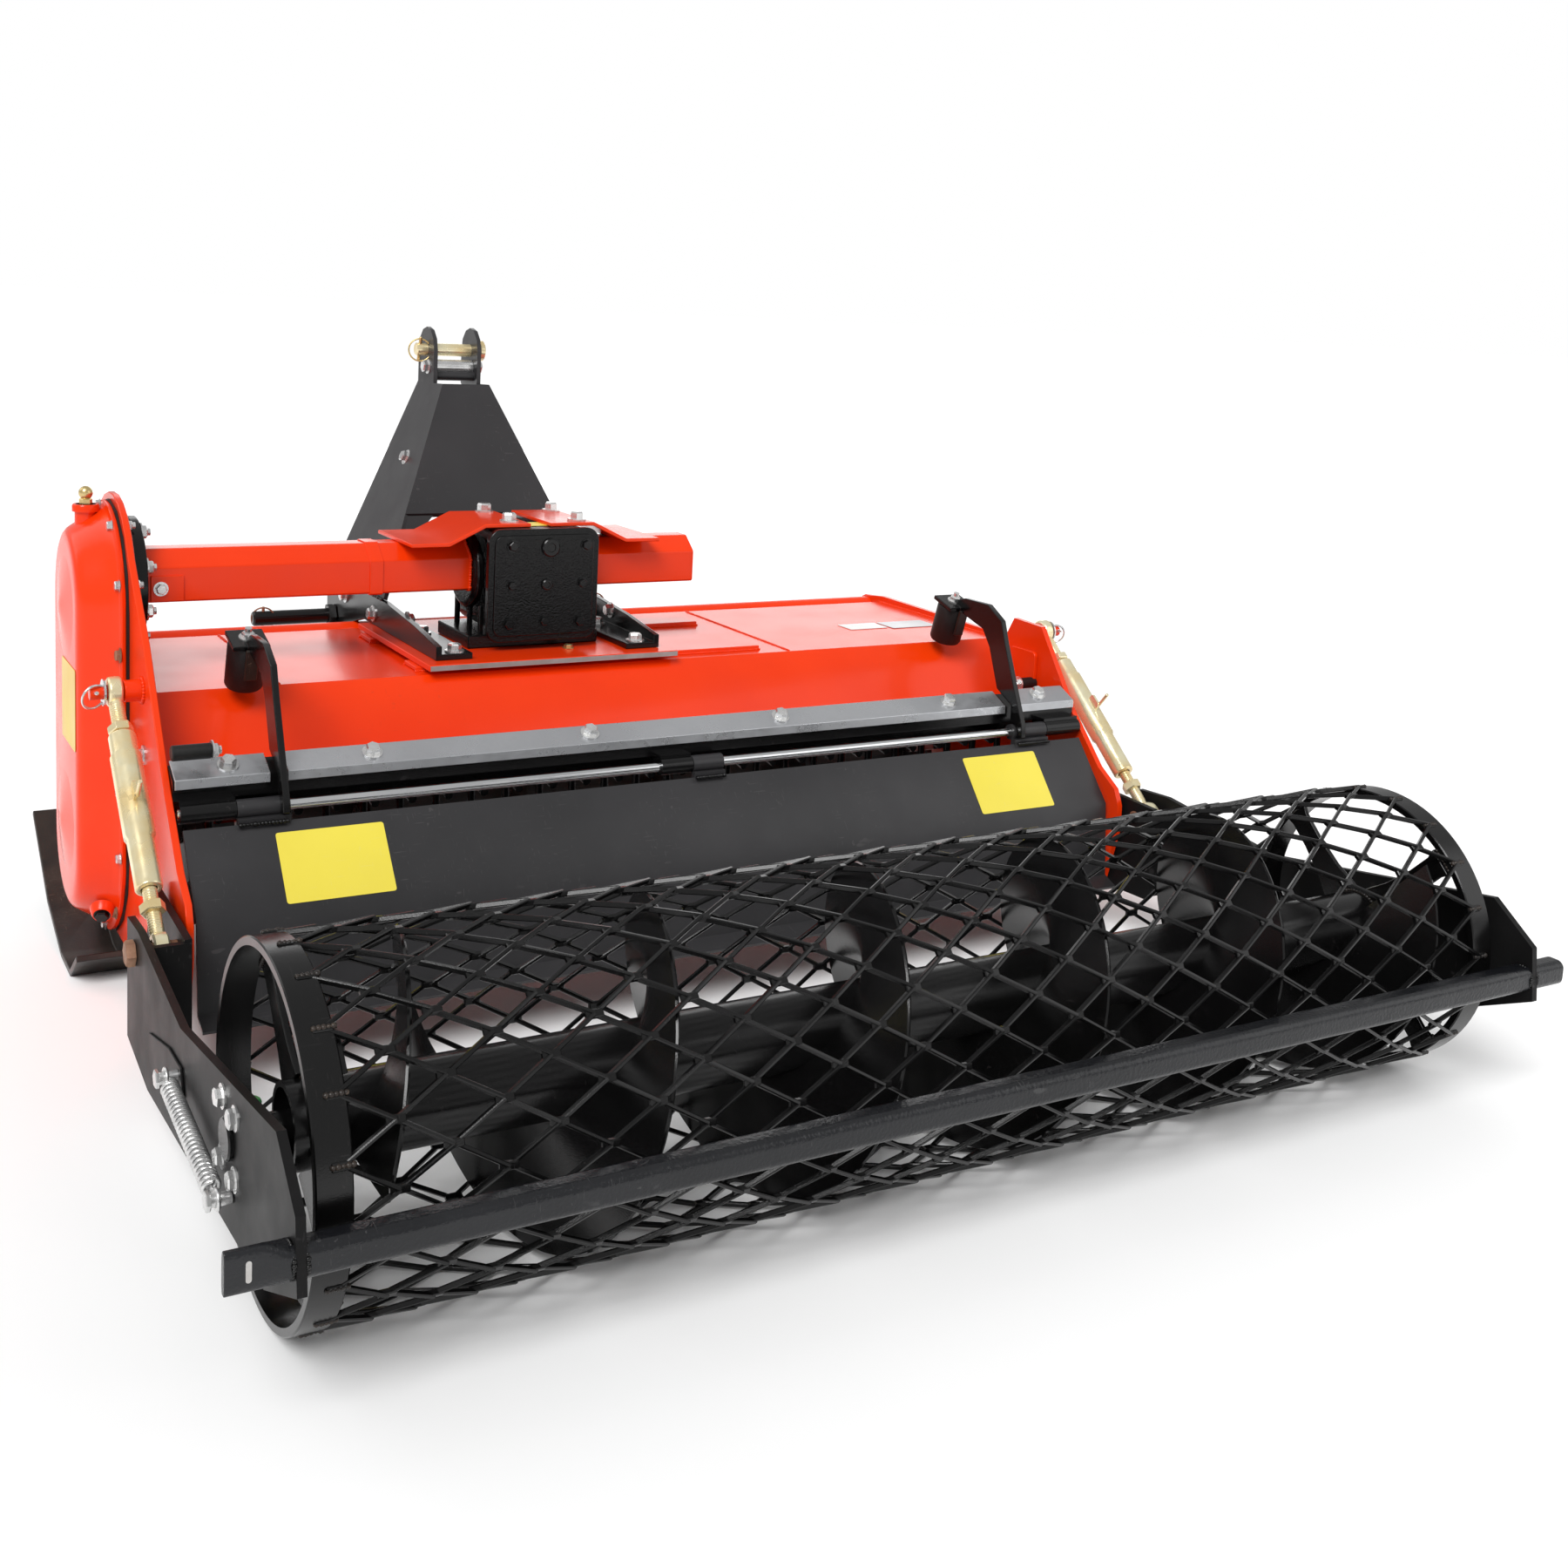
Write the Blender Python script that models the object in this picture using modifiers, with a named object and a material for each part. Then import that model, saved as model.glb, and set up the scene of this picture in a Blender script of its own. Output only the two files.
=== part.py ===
"""Three-point-linkage stone burier with an expanded-mesh cage roller.

Metres, +X to the machine's right, +Y towards the tractor, +Z up, floor at z = 0.
Sizes and places are in machine coordinates, whose y = 0 lies just behind the rotor.
The root empty shifts the whole machine so that the middle of its length is at y = 0.
"""

import math

import bmesh
import bpy
from mathutils import Matrix, Vector

# Clearances
SEAT = 0.0003  # gap between faces that touch
RUNNING = 0.0005  # radial gap round a pin, shaft or rod
SIDE_PLAY = 0.006  # gap beside a piece that swings
STEP_PLAY = 0.002  # gap between a pin's head or collar and what turns on it

# Side plates
INNER_HALF = 0.636
SIDE_THICK = 0.008
OUTER_HALF = INNER_HALF + SIDE_THICK
BOTTOM_EDGE_Z = 0.050

# Rotor
ROTOR_Y = 0.080
ROTOR_Z = 0.190
ROTOR_TIP_R = 0.158
ROTOR_TUBE_R = 0.045
ROTOR_END_PLAY = 0.036
ROTOR_TUBE_HALF = INNER_HALF - ROTOR_END_PLAY
ROTOR_STUB_R = 0.022
ROTOR_STUB_HALF = OUTER_HALF + 0.012
FLANGE_R = 0.105
FLANGE_THICK = 0.010
FLANGES = 6
END_FLANGE_X = ROTOR_TUBE_HALF - 0.045
FLANGE_X = [END_FLANGE_X * (2 * number / (FLANGES - 1) - 1) for number in range(FLANGES)]
BLADES_PER_FLANGE = 4
BLADE_REACH = 0.070
BLADE_WIDTH = 0.040
BLADE_THICK = 0.010
HOUSING_DEPTH = 0.034

# Hood, a folded sheet between the side plates
HOOD_THICK = 0.004
HOOD_TOP_Z = 0.377
HOOD_FRONT_Y = 0.292
HOOD_FOLD_Y = -0.072
HOOD_REAR_Y = -0.222
HOOD_LEDGE_Z = 0.296
FRONT_TUBE_Y = 0.290
FRONT_TUBE_Z = 0.363
FRONT_TUBE_R = 0.0165

# Drive tube between chain case and gearbox
DRIVE_Y = 0.060
DRIVE_Z = 0.490
DRIVE_HALF_WIDTH = 0.040
DRIVE_HALF_HEIGHT = 0.042
DRIVE_FLAT = 0.022  # half height of the upright flats
DRIVE_CROWN = 0.015  # half width of the flat on top and below
STUB_END_X = 0.147
DISC_R = 0.085
DISC_THICK = 0.020

# Chain case, a pill-shaped pressing on the left side plate
CASE_Y = 0.070
CASE_HALF_WIDTH = 0.125
CASE_LOW_Z = 0.045
CASE_HIGH_Z = 0.592
CASE_DEPTH = 0.050
GASKET_THICK = 0.003
NECK_R = 0.011

# Hitch, set off towards the chain case
HITCH_X = -0.105
TOP_PIN_Y = 0.354
TOP_PIN_Z = 0.776
TOP_PIN_R = 0.0095
TOP_PIN_HALF = 0.054
LOWER_PIN_Y = 0.385
LOWER_PIN_Z = 0.372
LOWER_PIN_R = 0.011
LOWER_PIN_REACH = 0.285
RAIL_OFFSET = 0.153
RAIL_THICK = 0.008
RAIL_TOP_Z = 0.432
RAIL_FRONT_Y = 0.425
MAST_THICK = 0.006
MAST_FOLD_Z = 0.727
MAST_REAR_TOP_Y = 0.285
MAST_REAR_LOW_Y = 0.160
MAST_FRONT_LOW_Y = 0.405
MAST_SPLIT_Z = 0.545
EAR_OFFSET = 0.034
EAR_R = 0.034

# Gearbox
GEARBOX_HALF = 0.070
GEARBOX_HUB_HALF = 0.085
GEARBOX_REAR_Y = -0.018
GEARBOX_FRONT_Y = 0.135
GEARBOX_LOW_Z = 0.408
GEARBOX_HIGH_Z = 0.556
COVER_HALF = 0.080
COVER_THICK = 0.014
PTO_R = 0.0175
PTO_LENGTH = 0.085

# Base plate and the stiffeners under it
STIFFENER_THICK = 0.006
BASE_THICK = 0.008
BASE_REAR_Y = -0.085
BASE_FRONT_Y = 0.215
BASE_HALF = 0.178
BASE_TOP_Z = HOOD_TOP_Z + 2 * SEAT + STIFFENER_THICK + BASE_THICK

# Rear cross tube, clamp strips and hinge
CROSS_FRONT_Y = -0.228
CROSS_REAR_Y = -0.254
CROSS_LOW_Z = HOOD_LEDGE_Z - 0.0003
STRIP_THICK = 0.003
HINGE_Y = -0.268
HINGE_Z = 0.285
HINGE_ROD_R = 0.006
SLEEVE_R = 0.011

# Gate with its stop arms
GATE_HALF = INNER_HALF - SIDE_PLAY
GATE_THICK = 0.004
GATE_FOLD_Y = -0.345
GATE_FOLD_Z = 0.190
GATE_LOW_Z = 0.088
STOP_X = INNER_HALF - 0.1165
STOP_THICK = 0.008
BUFFER_R = 0.023
BUFFER_LENGTH = 0.058
BUFFER_TILT = 16.7  # degrees forward of upright

# Depth frame: arms, rear bar, roller bearings and turnbuckles
PIVOT_Y = -0.270
PIVOT_Z = 0.105
PIVOT_PIN_R = 0.010
PIVOT_HEAD_R = 0.015
PIVOT_HEAD_THICK = 0.008
ARM_THICK = 0.008
FORK_GAP = 0.034  # between the two plates of an arm
ARM_INNER_X = OUTER_HALF + SIDE_PLAY  # inner face of the inner plate
ARM_OUTER_X = ARM_INNER_X + ARM_THICK + FORK_GAP  # inner face of the outer plate
BAR_Z = 0.158
BAR_R = 0.014
BAR_HALF = ARM_OUTER_X + ARM_THICK + 0.050
SPRING_R = 0.009
LINK_X = ARM_OUTER_X - FORK_GAP / 2
LINK_TOP_Y = -0.130
LINK_TOP_Z = 0.395
LINK_LOW_Y = -0.385
LINK_LOW_Z = 0.180
LINK_PIN_R = 0.008
EYE_R = 0.018
EYE_WIDTH = 0.016
EYE_DRIFT = 0.003  # room round the lower pin, where the linkage is open

# Roller, which stands on the floor, with the rear bar behind it
ROLLER_Y = -0.787
ROLLER_R = 0.165
ROLLER_Z = ROLLER_R
BAR_Y = ROLLER_Y - ROLLER_R - BAR_R - 0.0095
RING_OUTER_X = ARM_OUTER_X - 0.018
RING_WIDTH = 0.040
RING_THICK = 0.008
MESH_ROWS = 16
MESH_COLUMNS = 23
MESH_HALF = RING_OUTER_X - 0.029
MESH_DEPTH = 0.006
STRAND_WIDTH = 0.0062
CORE_R = 0.032
CORE_HALF = RING_OUTER_X - 0.019
CORE_STUB_R = 0.015
CORE_STUB_HALF = ARM_OUTER_X - STEP_PLAY
FLIGHT_R = 0.154
FLIGHT_HALF = MESH_HALF - 0.030
FLIGHT_PITCH = 0.240
FLIGHT_THICK = 0.004
SPOKES = 4

# Sorting grid behind the rotor
GRID_BARS = 27
GRID_HALF = INNER_HALF - 0.051
GRID_Y = -0.212
GRID_BAR_R = 0.005

# Skids
SKID_THICK = 0.008
SKID_OUTER_X = OUTER_HALF + 0.056

MIDDLE_Y = (RAIL_FRONT_Y + BAR_Y - BAR_R) / 2

# Finishes: colour, metallic, roughness
FINISHES = {
    "orange": ((0.80, 0.075, 0.010), 0.0, 0.28),
    "charcoal": ((0.055, 0.052, 0.056), 0.1, 0.45),
    "black": ((0.012, 0.012, 0.013), 0.1, 0.32),
    "zinc": ((0.56, 0.57, 0.58), 0.9, 0.38),
    "yellow_zinc": ((0.70, 0.56, 0.24), 0.8, 0.35),
    "chrome": ((0.75, 0.76, 0.78), 1.0, 0.12),
    "rubber": ((0.012, 0.012, 0.012), 0.0, 0.75),
    "casting": ((0.16, 0.17, 0.15), 0.4, 0.55),
    "brass": ((0.68, 0.52, 0.24), 0.9, 0.30),
}

# Turns local X, Y, Z to the machine's Y, Z, X
ACROSS = Matrix(((0, 0, 1, 0), (1, 0, 0, 0), (0, 1, 0, 0), (0, 0, 0, 1)))


# Scene, materials and bodies


def clear_scene():
    for obj in list(bpy.data.objects):
        bpy.data.objects.remove(obj, do_unlink=True)


def new_collection(name):
    collection = bpy.data.collections.new(name)
    bpy.context.scene.collection.children.link(collection)
    return collection


def new_material(name, finish):
    colour, metallic, roughness = FINISHES[finish]
    material = bpy.data.materials.new(f"{name}_{finish}")
    material.use_nodes = True
    shader = material.node_tree.nodes["Principled BSDF"]
    shader.inputs["Base Color"].default_value = (*colour, 1)
    shader.inputs["Metallic"].default_value = metallic
    shader.inputs["Roughness"].default_value = roughness
    return material


def add_piece(name, mesh, finish):
    """One visible piece, which becomes a node."""
    mesh.name = name
    mesh.materials.clear()
    mesh.materials.append(new_material(name, finish))
    mesh.shade_smooth()
    mesh.set_sharp_from_angle(angle=math.radians(35))
    piece = bpy.data.objects.new(name, mesh)
    bpy.data.collections["stone_burier"].objects.link(piece)
    return piece


def combine(piece, operation, *meshes):
    """Cuts meshes from a piece, or joins them to it."""
    for mesh in meshes:
        number = len(piece.modifiers)
        helper = bpy.data.objects.new(f"{piece.name}_{operation.lower()}_{number}", mesh)
        bpy.data.collections["helpers"].objects.link(helper)
        helper.hide_render = True
        helper.display_type = "WIRE"
        modifier = piece.modifiers.new(helper.name, "BOOLEAN")
        modifier.operation = operation
        modifier.solver = "EXACT"
        modifier.object = helper
    return piece


def cut(piece, *meshes):
    return combine(piece, "DIFFERENCE", *meshes)


def join(piece, *meshes):
    return combine(piece, "UNION", *meshes)


def new_empty(name, parent, y, z):
    """The origin of a body, on its joint's axis."""
    empty = bpy.data.objects.new(name, None)
    empty.location = (0, y, z)
    if parent:
        empty.parent = parent
        empty.location -= Vector(parent["axis_point"])
    empty["axis_point"] = (0.0, y, z)
    bpy.data.collections["stone_burier"].objects.link(empty)
    return empty


def hang(pieces, empty):
    """Hangs pieces and what cuts or joins them from a body's empty."""
    for piece in pieces:
        helpers = [m.object for m in piece.modifiers if m.type == "BOOLEAN"]
        for obj in [piece, *helpers]:
            obj.parent = empty
            obj.location = -Vector(empty["axis_point"])


# Meshes made with Blender's tools


def mesh_from(bm):
    bmesh.ops.recalc_face_normals(bm, faces=bm.faces)
    mesh = bpy.data.meshes.new("shape")
    bm.to_mesh(mesh)
    bm.free()
    return mesh


def evaluated(data, add_modifiers=None):
    """The mesh that an object with this data gives, its loose caps welded."""
    holder = bpy.data.objects.new("holder", data)
    bpy.context.scene.collection.objects.link(holder)
    if add_modifiers:
        add_modifiers(holder)
    bpy.context.view_layer.update()
    graph = bpy.context.evaluated_depsgraph_get()
    mesh = bpy.data.meshes.new_from_object(holder.evaluated_get(graph))
    bpy.data.objects.remove(holder)
    bm = bmesh.new()
    bm.from_mesh(mesh)
    bmesh.ops.remove_doubles(bm, verts=bm.verts, dist=1e-6)
    return mesh_from(bm)


def box_mesh(low, high):
    """A box between two corners."""
    bm = bmesh.new()
    bmesh.ops.create_cube(bm, size=1)
    bmesh.ops.scale(bm, vec=[b - a for a, b in zip(low, high)], verts=bm.verts)
    bmesh.ops.translate(bm, vec=[(a + b) / 2 for a, b in zip(low, high)], verts=bm.verts)
    return mesh_from(bm)


def mirrored_box(side, near_x, far_x, low_yz, high_yz):
    """A box at +X, or its mirror image at -X."""
    low_x, high_x = sorted((side * near_x, side * far_x))
    return box_mesh((low_x, *low_yz), (high_x, *high_yz))


def bar_mesh(start, end, radius, sides=12, end_radius=None):
    """A round bar, or a cone, from one point to another."""
    start, end = Vector(start), Vector(end)
    bm = bmesh.new()
    bmesh.ops.create_cone(
        bm,
        cap_ends=True,
        segments=sides,
        radius1=radius,
        radius2=radius if end_radius is None else end_radius,
        depth=(end - start).length,
    )
    turn = (end - start).to_track_quat("Z", "X").to_matrix().to_4x4()
    bmesh.ops.transform(bm, matrix=Matrix.Translation((start + end) / 2) @ turn, verts=bm.verts)
    return mesh_from(bm)


def cross_bar(low_x, high_x, y, z, radius, sides=12):
    """A round bar along X."""
    return bar_mesh((low_x, y, z), (high_x, y, z), radius, sides)


def arc(centre, radius, start, end, steps):
    """Points of an arc, from one angle in degrees to another."""
    angles = [math.radians(start + (end - start) * i / steps) for i in range(steps + 1)]
    return [(centre[0] + radius * math.cos(a), centre[1] + radius * math.sin(a)) for a in angles]


def flat_mesh(loops, thickness):
    """A plate on the local XY plane: its outline first, then its holes."""
    curve = bpy.data.curves.new("outline", "CURVE")
    curve.dimensions = "2D"
    curve.fill_mode = "BOTH"
    curve.extrude = thickness / 2
    for loop in loops:
        spline = curve.splines.new("POLY")
        spline.points.add(len(loop) - 1)
        for point, (a, b) in zip(spline.points, loop):
            point.co = (a, b, 0, 1)
        spline.use_cyclic_u = True
    return evaluated(curve)


def plate_mesh(outline, near_x, far_x, holes=()):
    """A plate across X with an outline in (y, z) and round holes (y, z, radius)."""
    loops = [outline] + [arc(hole[:2], hole[2], 0, 330, 11) for hole in holes]
    mesh = flat_mesh(loops, abs(far_x - near_x))
    mesh.transform(Matrix.Translation(((near_x + far_x) / 2, 0, 0)) @ ACROSS)
    return mesh


def rod_mesh(points, radius):
    """A bent round bar along a list of points."""
    curve = bpy.data.curves.new("rod", "CURVE")
    curve.dimensions = "3D"
    curve.bevel_depth = radius
    curve.bevel_resolution = 0
    curve.use_fill_caps = True
    spline = curve.splines.new("POLY")
    spline.points.add(len(points) - 1)
    for point, co in zip(spline.points, points):
        point.co = (*co, 1)
    return evaluated(curve)


def turned_mesh(profile, y, z, steps=16):
    """A turned shape on an axis along X: its profile is a run of (x, radius) points.

    A profile that starts and ends on the axis is solid, any other one is a ring.
    """
    bm = bmesh.new()
    verts = [bm.verts.new((radius, 0, x)) for x, radius in reversed(profile)]
    solid = profile[0][1] == 0 and profile[-1][1] == 0
    for a, b in zip(verts, verts[1:] + ([] if solid else verts[:1])):
        bm.edges.new((a, b))
    mesh = bpy.data.meshes.new("profile")
    bm.to_mesh(mesh)
    bm.free()

    def screw(holder):
        modifier = holder.modifiers.new("turn", "SCREW")
        modifier.steps = modifier.render_steps = steps
        modifier.use_merge_vertices = True
        modifier.merge_threshold = 1e-5

    turned = evaluated(mesh, screw)
    turned.transform(Matrix.Translation((0, y, z)) @ ACROSS)
    return turned


def swept_surface(profile, low, high, axis):
    """An open surface: a run of points swept along X, or along Y where axis is 1."""
    bm = bmesh.new()
    if axis:
        verts = [bm.verts.new((a, low, b)) for a, b in profile]
        move = (0, high - low, 0)
    else:
        verts = [bm.verts.new((low, a, b)) for a, b in profile]
        move = (high - low, 0, 0)
    edges = [bm.edges.new(pair) for pair in zip(verts, verts[1:])]
    swept = bmesh.ops.extrude_edge_only(bm, edges=edges)["geom"]
    moved = [item for item in swept if isinstance(item, bmesh.types.BMVert)]
    bmesh.ops.translate(bm, vec=move, verts=moved)
    return mesh_from(bm)


def sheet_mesh(surface, thickness, grow):
    """Makes an open surface a sheet that grows up (1), down (-1) or both ways (0)."""
    flattest = max(surface.polygons, key=lambda face: abs(face.normal.z))
    offset = grow if flattest.normal.z > 0 else -grow

    def solidify(holder):
        modifier = holder.modifiers.new("sheet", "SOLIDIFY")
        modifier.thickness = thickness
        modifier.offset = offset
        modifier.use_even_offset = True

    return evaluated(surface, solidify)


def loft_mesh(sections):
    """A solid through sections that have the same number of points."""
    bm = bmesh.new()
    loops = [[bm.verts.new(co) for co in section] for section in sections]
    for low, high in zip(loops, loops[1:]):
        for i in range(len(low)):
            j = (i + 1) % len(low)
            bm.faces.new((low[i], low[j], high[j], high[i]))
    bm.faces.new(loops[0])
    bm.faces.new(loops[-1])
    return mesh_from(bm)


# Side plates, hood and front tube


def side_outline(side):
    """Outline of a side plate: the left one reaches up behind the chain case."""
    rear = [(-0.345, 0.075), (-0.366, 0.156), (-0.365, 0.191), (-0.355, 0.213), (-0.318, 0.236)]
    rear.append((-0.252, 0.304))
    if side < 0:
        case_top = (CASE_Y, CASE_HIGH_Z - CASE_HALF_WIDTH)
        top = [(-0.209, 0.354), (-0.135, 0.447)] + arc(case_top, 0.133, 150, 18, 10)
        top += [(FRONT_TUBE_Y, FRONT_TUBE_Z + 0.030)]
    else:
        top = [(-0.172, 0.412), (-0.108, 0.414), (-0.090, 0.383), (0.245, 0.387)]
        top += arc((FRONT_TUBE_Y, FRONT_TUBE_Z - 0.006), 0.026, 100, 10, 4)
    low = [(FRONT_TUBE_Y + 0.022, FRONT_TUBE_Z - 0.018), (0.247, 0.102)]
    low += [(0.172, BOTTOM_EDGE_Z), (-0.020, BOTTOM_EDGE_Z)]
    return rear + top + low


def build_side_plates():
    """Side plates, each with the stud that carries its turnbuckle."""
    pieces = []
    holes = [
        (PIVOT_Y, PIVOT_Z, PIVOT_PIN_R + SEAT),
        (ROTOR_Y, ROTOR_Z, ROTOR_STUB_R + 0.006),
    ]
    for tag, side in (("left", -1), ("right", 1)):
        mesh = plate_mesh(side_outline(side), side * INNER_HALF, side * OUTER_HALF, holes)
        plate = add_piece(f"side_plate_{tag}", mesh, "orange")
        root_x = INNER_HALF + SIDE_THICK / 2
        collar_x = LINK_X - EYE_WIDTH / 2 - STEP_PLAY
        stud_x = LINK_X + EYE_WIDTH / 2 + 0.019
        stud = cross_bar(*sorted((side * root_x, side * stud_x)), LINK_TOP_Y, LINK_TOP_Z, LINK_PIN_R)
        collar = cross_bar(*sorted((side * root_x, side * collar_x)), LINK_TOP_Y, LINK_TOP_Z, 0.013)
        join(plate, collar, stud)
        pieces.append(plate)
    return pieces


def build_hood():
    """Folded top sheet, from the front drop back to the ledge under the hinge."""
    reach = INNER_HALF - SEAT
    profile = [
        (HOOD_FRONT_Y, 0.245),
        (HOOD_FRONT_Y - 0.006, HOOD_TOP_Z - 0.034),
        (HOOD_FRONT_Y - 0.040, HOOD_TOP_Z),
        (HOOD_FOLD_Y, HOOD_TOP_Z),
        (HOOD_FOLD_Y - 0.031, HOOD_TOP_Z - 0.031),
        (HOOD_FOLD_Y - 0.054, HOOD_LEDGE_Z),
        (HOOD_REAR_Y, HOOD_LEDGE_Z),
    ]
    sheet = sheet_mesh(swept_surface(profile, -reach, reach, 0), HOOD_THICK, -1)
    tube = cross_bar(-reach, reach, FRONT_TUBE_Y, FRONT_TUBE_Z, FRONT_TUBE_R)
    return [add_piece("hood", sheet, "orange"), add_piece("front_tube", tube, "orange")]


# Hinge of the gate

# Spans of the hinge sleeves along X, from the ends of the rod inwards
SLEEVE_END = INNER_HALF - 0.004
SLEEVE_SPLIT = SLEEVE_END - 0.061
SLEEVE_GAP = 0.0005
GATE_SLEEVE_END = SLEEVE_SPLIT - 0.059
MIDDLE_SLEEVE = 0.044
FIXED_SLEEVES = (
    (-SLEEVE_END, -SLEEVE_SPLIT - SLEEVE_GAP),
    (-MIDDLE_SLEEVE, -SLEEVE_GAP),
    (SLEEVE_SPLIT + SLEEVE_GAP, SLEEVE_END),
)
GATE_SLEEVES = (
    (SLEEVE_GAP - SLEEVE_SPLIT, -GATE_SLEEVE_END),
    (SLEEVE_GAP, MIDDLE_SLEEVE),
    (GATE_SLEEVE_END, SLEEVE_SPLIT - SLEEVE_GAP),
)


def build_cross_tube():
    """Tube along the hood's rear edge with the fixed hinge sleeves on it."""
    reach = INNER_HALF - SEAT
    section = [
        (CROSS_FRONT_Y, 0.3307),
        (CROSS_REAR_Y, 0.3183),
        (CROSS_REAR_Y, CROSS_LOW_Z),
        (CROSS_FRONT_Y, CROSS_LOW_Z),
    ]
    tube = add_piece("rear_cross_tube", plate_mesh(section, -reach, reach), "black")
    for low, high in FIXED_SLEEVES:
        web = box_mesh((low, HINGE_Y - 0.002, HINGE_Z), (high, CROSS_REAR_Y + 0.010, CROSS_LOW_Z + 0.004))
        join(tube, web, cross_bar(low, high, HINGE_Y, HINGE_Z, SLEEVE_R, 12))
    cut(tube, cross_bar(-OUTER_HALF, OUTER_HALF, HINGE_Y, HINGE_Z, HINGE_ROD_R + RUNNING, 10))
    rod_end = INNER_HALF - STEP_PLAY
    rod = cross_bar(-rod_end, rod_end, HINGE_Y, HINGE_Z, HINGE_ROD_R, 10)
    return [tube, add_piece("hinge_rod", rod, "chrome")]


def build_clamp_strips():
    """Three lengths of galvanised angle with gaps for the gate's stop arms."""
    gap = STOP_THICK / 2 + SIDE_PLAY
    profile = [(-0.226, 0.3355), (-0.2575, 0.3205), (-0.2585, 0.3095)]
    spans = (
        ("clamp_strip_left", STEP_PLAY - INNER_HALF, -STOP_X - gap),
        ("clamp_strip_middle", -STOP_X + gap, STOP_X - gap),
        ("clamp_strip_right", STOP_X + gap, INNER_HALF - STEP_PLAY),
    )
    return [
        add_piece(name, sheet_mesh(swept_surface(profile, low, high, 0), STRIP_THICK, -1), "zinc")
        for name, low, high in spans
    ]


# Chain case and drive


def pill(inset, steps=8):
    """Outline of the chain case in (y, z): straight sides with round ends."""
    radius = CASE_HALF_WIDTH - inset
    upper = arc((CASE_Y, CASE_HIGH_Z - CASE_HALF_WIDTH), radius, 0, 180, steps)
    lower = arc((CASE_Y, CASE_LOW_Z + CASE_HALF_WIDTH), radius, 180, 360, steps)
    return upper + lower


def build_chain_case():
    gasket_x = -OUTER_HALF - SEAT
    bore = (ROTOR_Y, ROTOR_Z, ROTOR_STUB_R + 0.006)
    gasket = plate_mesh(pill(0), gasket_x, gasket_x - GASKET_THICK, [bore])
    start = gasket_x - GASKET_THICK - SEAT
    # Distance out from the gasket, and how far the section has drawn in
    steps = ((0.000, 0.002), (0.005, 0.002), (0.006, 0.010), (0.040, 0.032), (CASE_DEPTH, 0.046))
    sections = [[(start - out, y, z) for y, z in pill(inset)] for out, inset in steps]
    case = add_piece("chain_case", loft_mesh(sections), "orange")
    face_x = start - CASE_DEPTH
    for z in (ROTOR_Z, DRIVE_Z - 0.030):
        join(case, bar_mesh((face_x + 0.004, CASE_Y, z), (face_x - 0.007, CASE_Y, z), 0.062, 20, 0.006))
    neck_x = start - CASE_DEPTH / 2
    neck_top = CASE_HIGH_Z + 0.004
    join(case, bar_mesh((neck_x, CASE_Y, CASE_HIGH_Z - 0.060), (neck_x, CASE_Y, neck_top), NECK_R, 12))
    bore_r = ROTOR_STUB_R + RUNNING
    cut(case, cross_bar(-ROTOR_STUB_HALF - 0.006, start + 0.010, ROTOR_Y, ROTOR_Z, bore_r, 16))
    low_z = neck_top + SEAT
    breather = add_piece(
        "case_breather", bar_mesh((neck_x, CASE_Y, low_z), (neck_x, CASE_Y, low_z + 0.010), 0.007, 6), "brass"
    )
    ball = bmesh.new()
    bmesh.ops.create_icosphere(ball, subdivisions=2, radius=0.0075)
    bmesh.ops.translate(ball, vec=(neck_x, CASE_Y, low_z + 0.015), verts=ball.verts)
    join(breather, mesh_from(ball))
    return [add_piece("case_gasket", gasket, "rubber"), case, breather]


def drive_section(x):
    """Section of the drive tube: flat floor, upright sides, sloping roof and a narrow crown."""
    quarter = [(DRIVE_HALF_WIDTH, DRIVE_FLAT), (DRIVE_CROWN, DRIVE_HALF_HEIGHT)]
    half = quarter + [(-y, z) for y, z in reversed(quarter)]
    floor = [(-DRIVE_HALF_WIDTH, -DRIVE_FLAT), (DRIVE_HALF_WIDTH, -DRIVE_FLAT)]
    return [(x, DRIVE_Y + y, DRIVE_Z + z) for y, z in half + floor]


def build_drive():
    disc_x = SEAT - INNER_HALF
    disc = cross_bar(disc_x, disc_x + DISC_THICK, DRIVE_Y, DRIVE_Z, DISC_R, 28)
    left = [disc_x + DISC_THICK + SEAT, HITCH_X - GEARBOX_HUB_HALF - SEAT]
    right = [HITCH_X + GEARBOX_HUB_HALF + SEAT, STUB_END_X]
    return [
        add_piece("drive_flange", disc, "black"),
        add_piece("drive_tube", loft_mesh([drive_section(x) for x in left]), "orange"),
        add_piece("drive_tube_stub", loft_mesh([drive_section(x) for x in right]), "orange"),
    ]


def rounded(piece, width):
    bevel = piece.modifiers.new("round", "BEVEL")
    bevel.width = width
    bevel.segments = 2
    return piece


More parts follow.
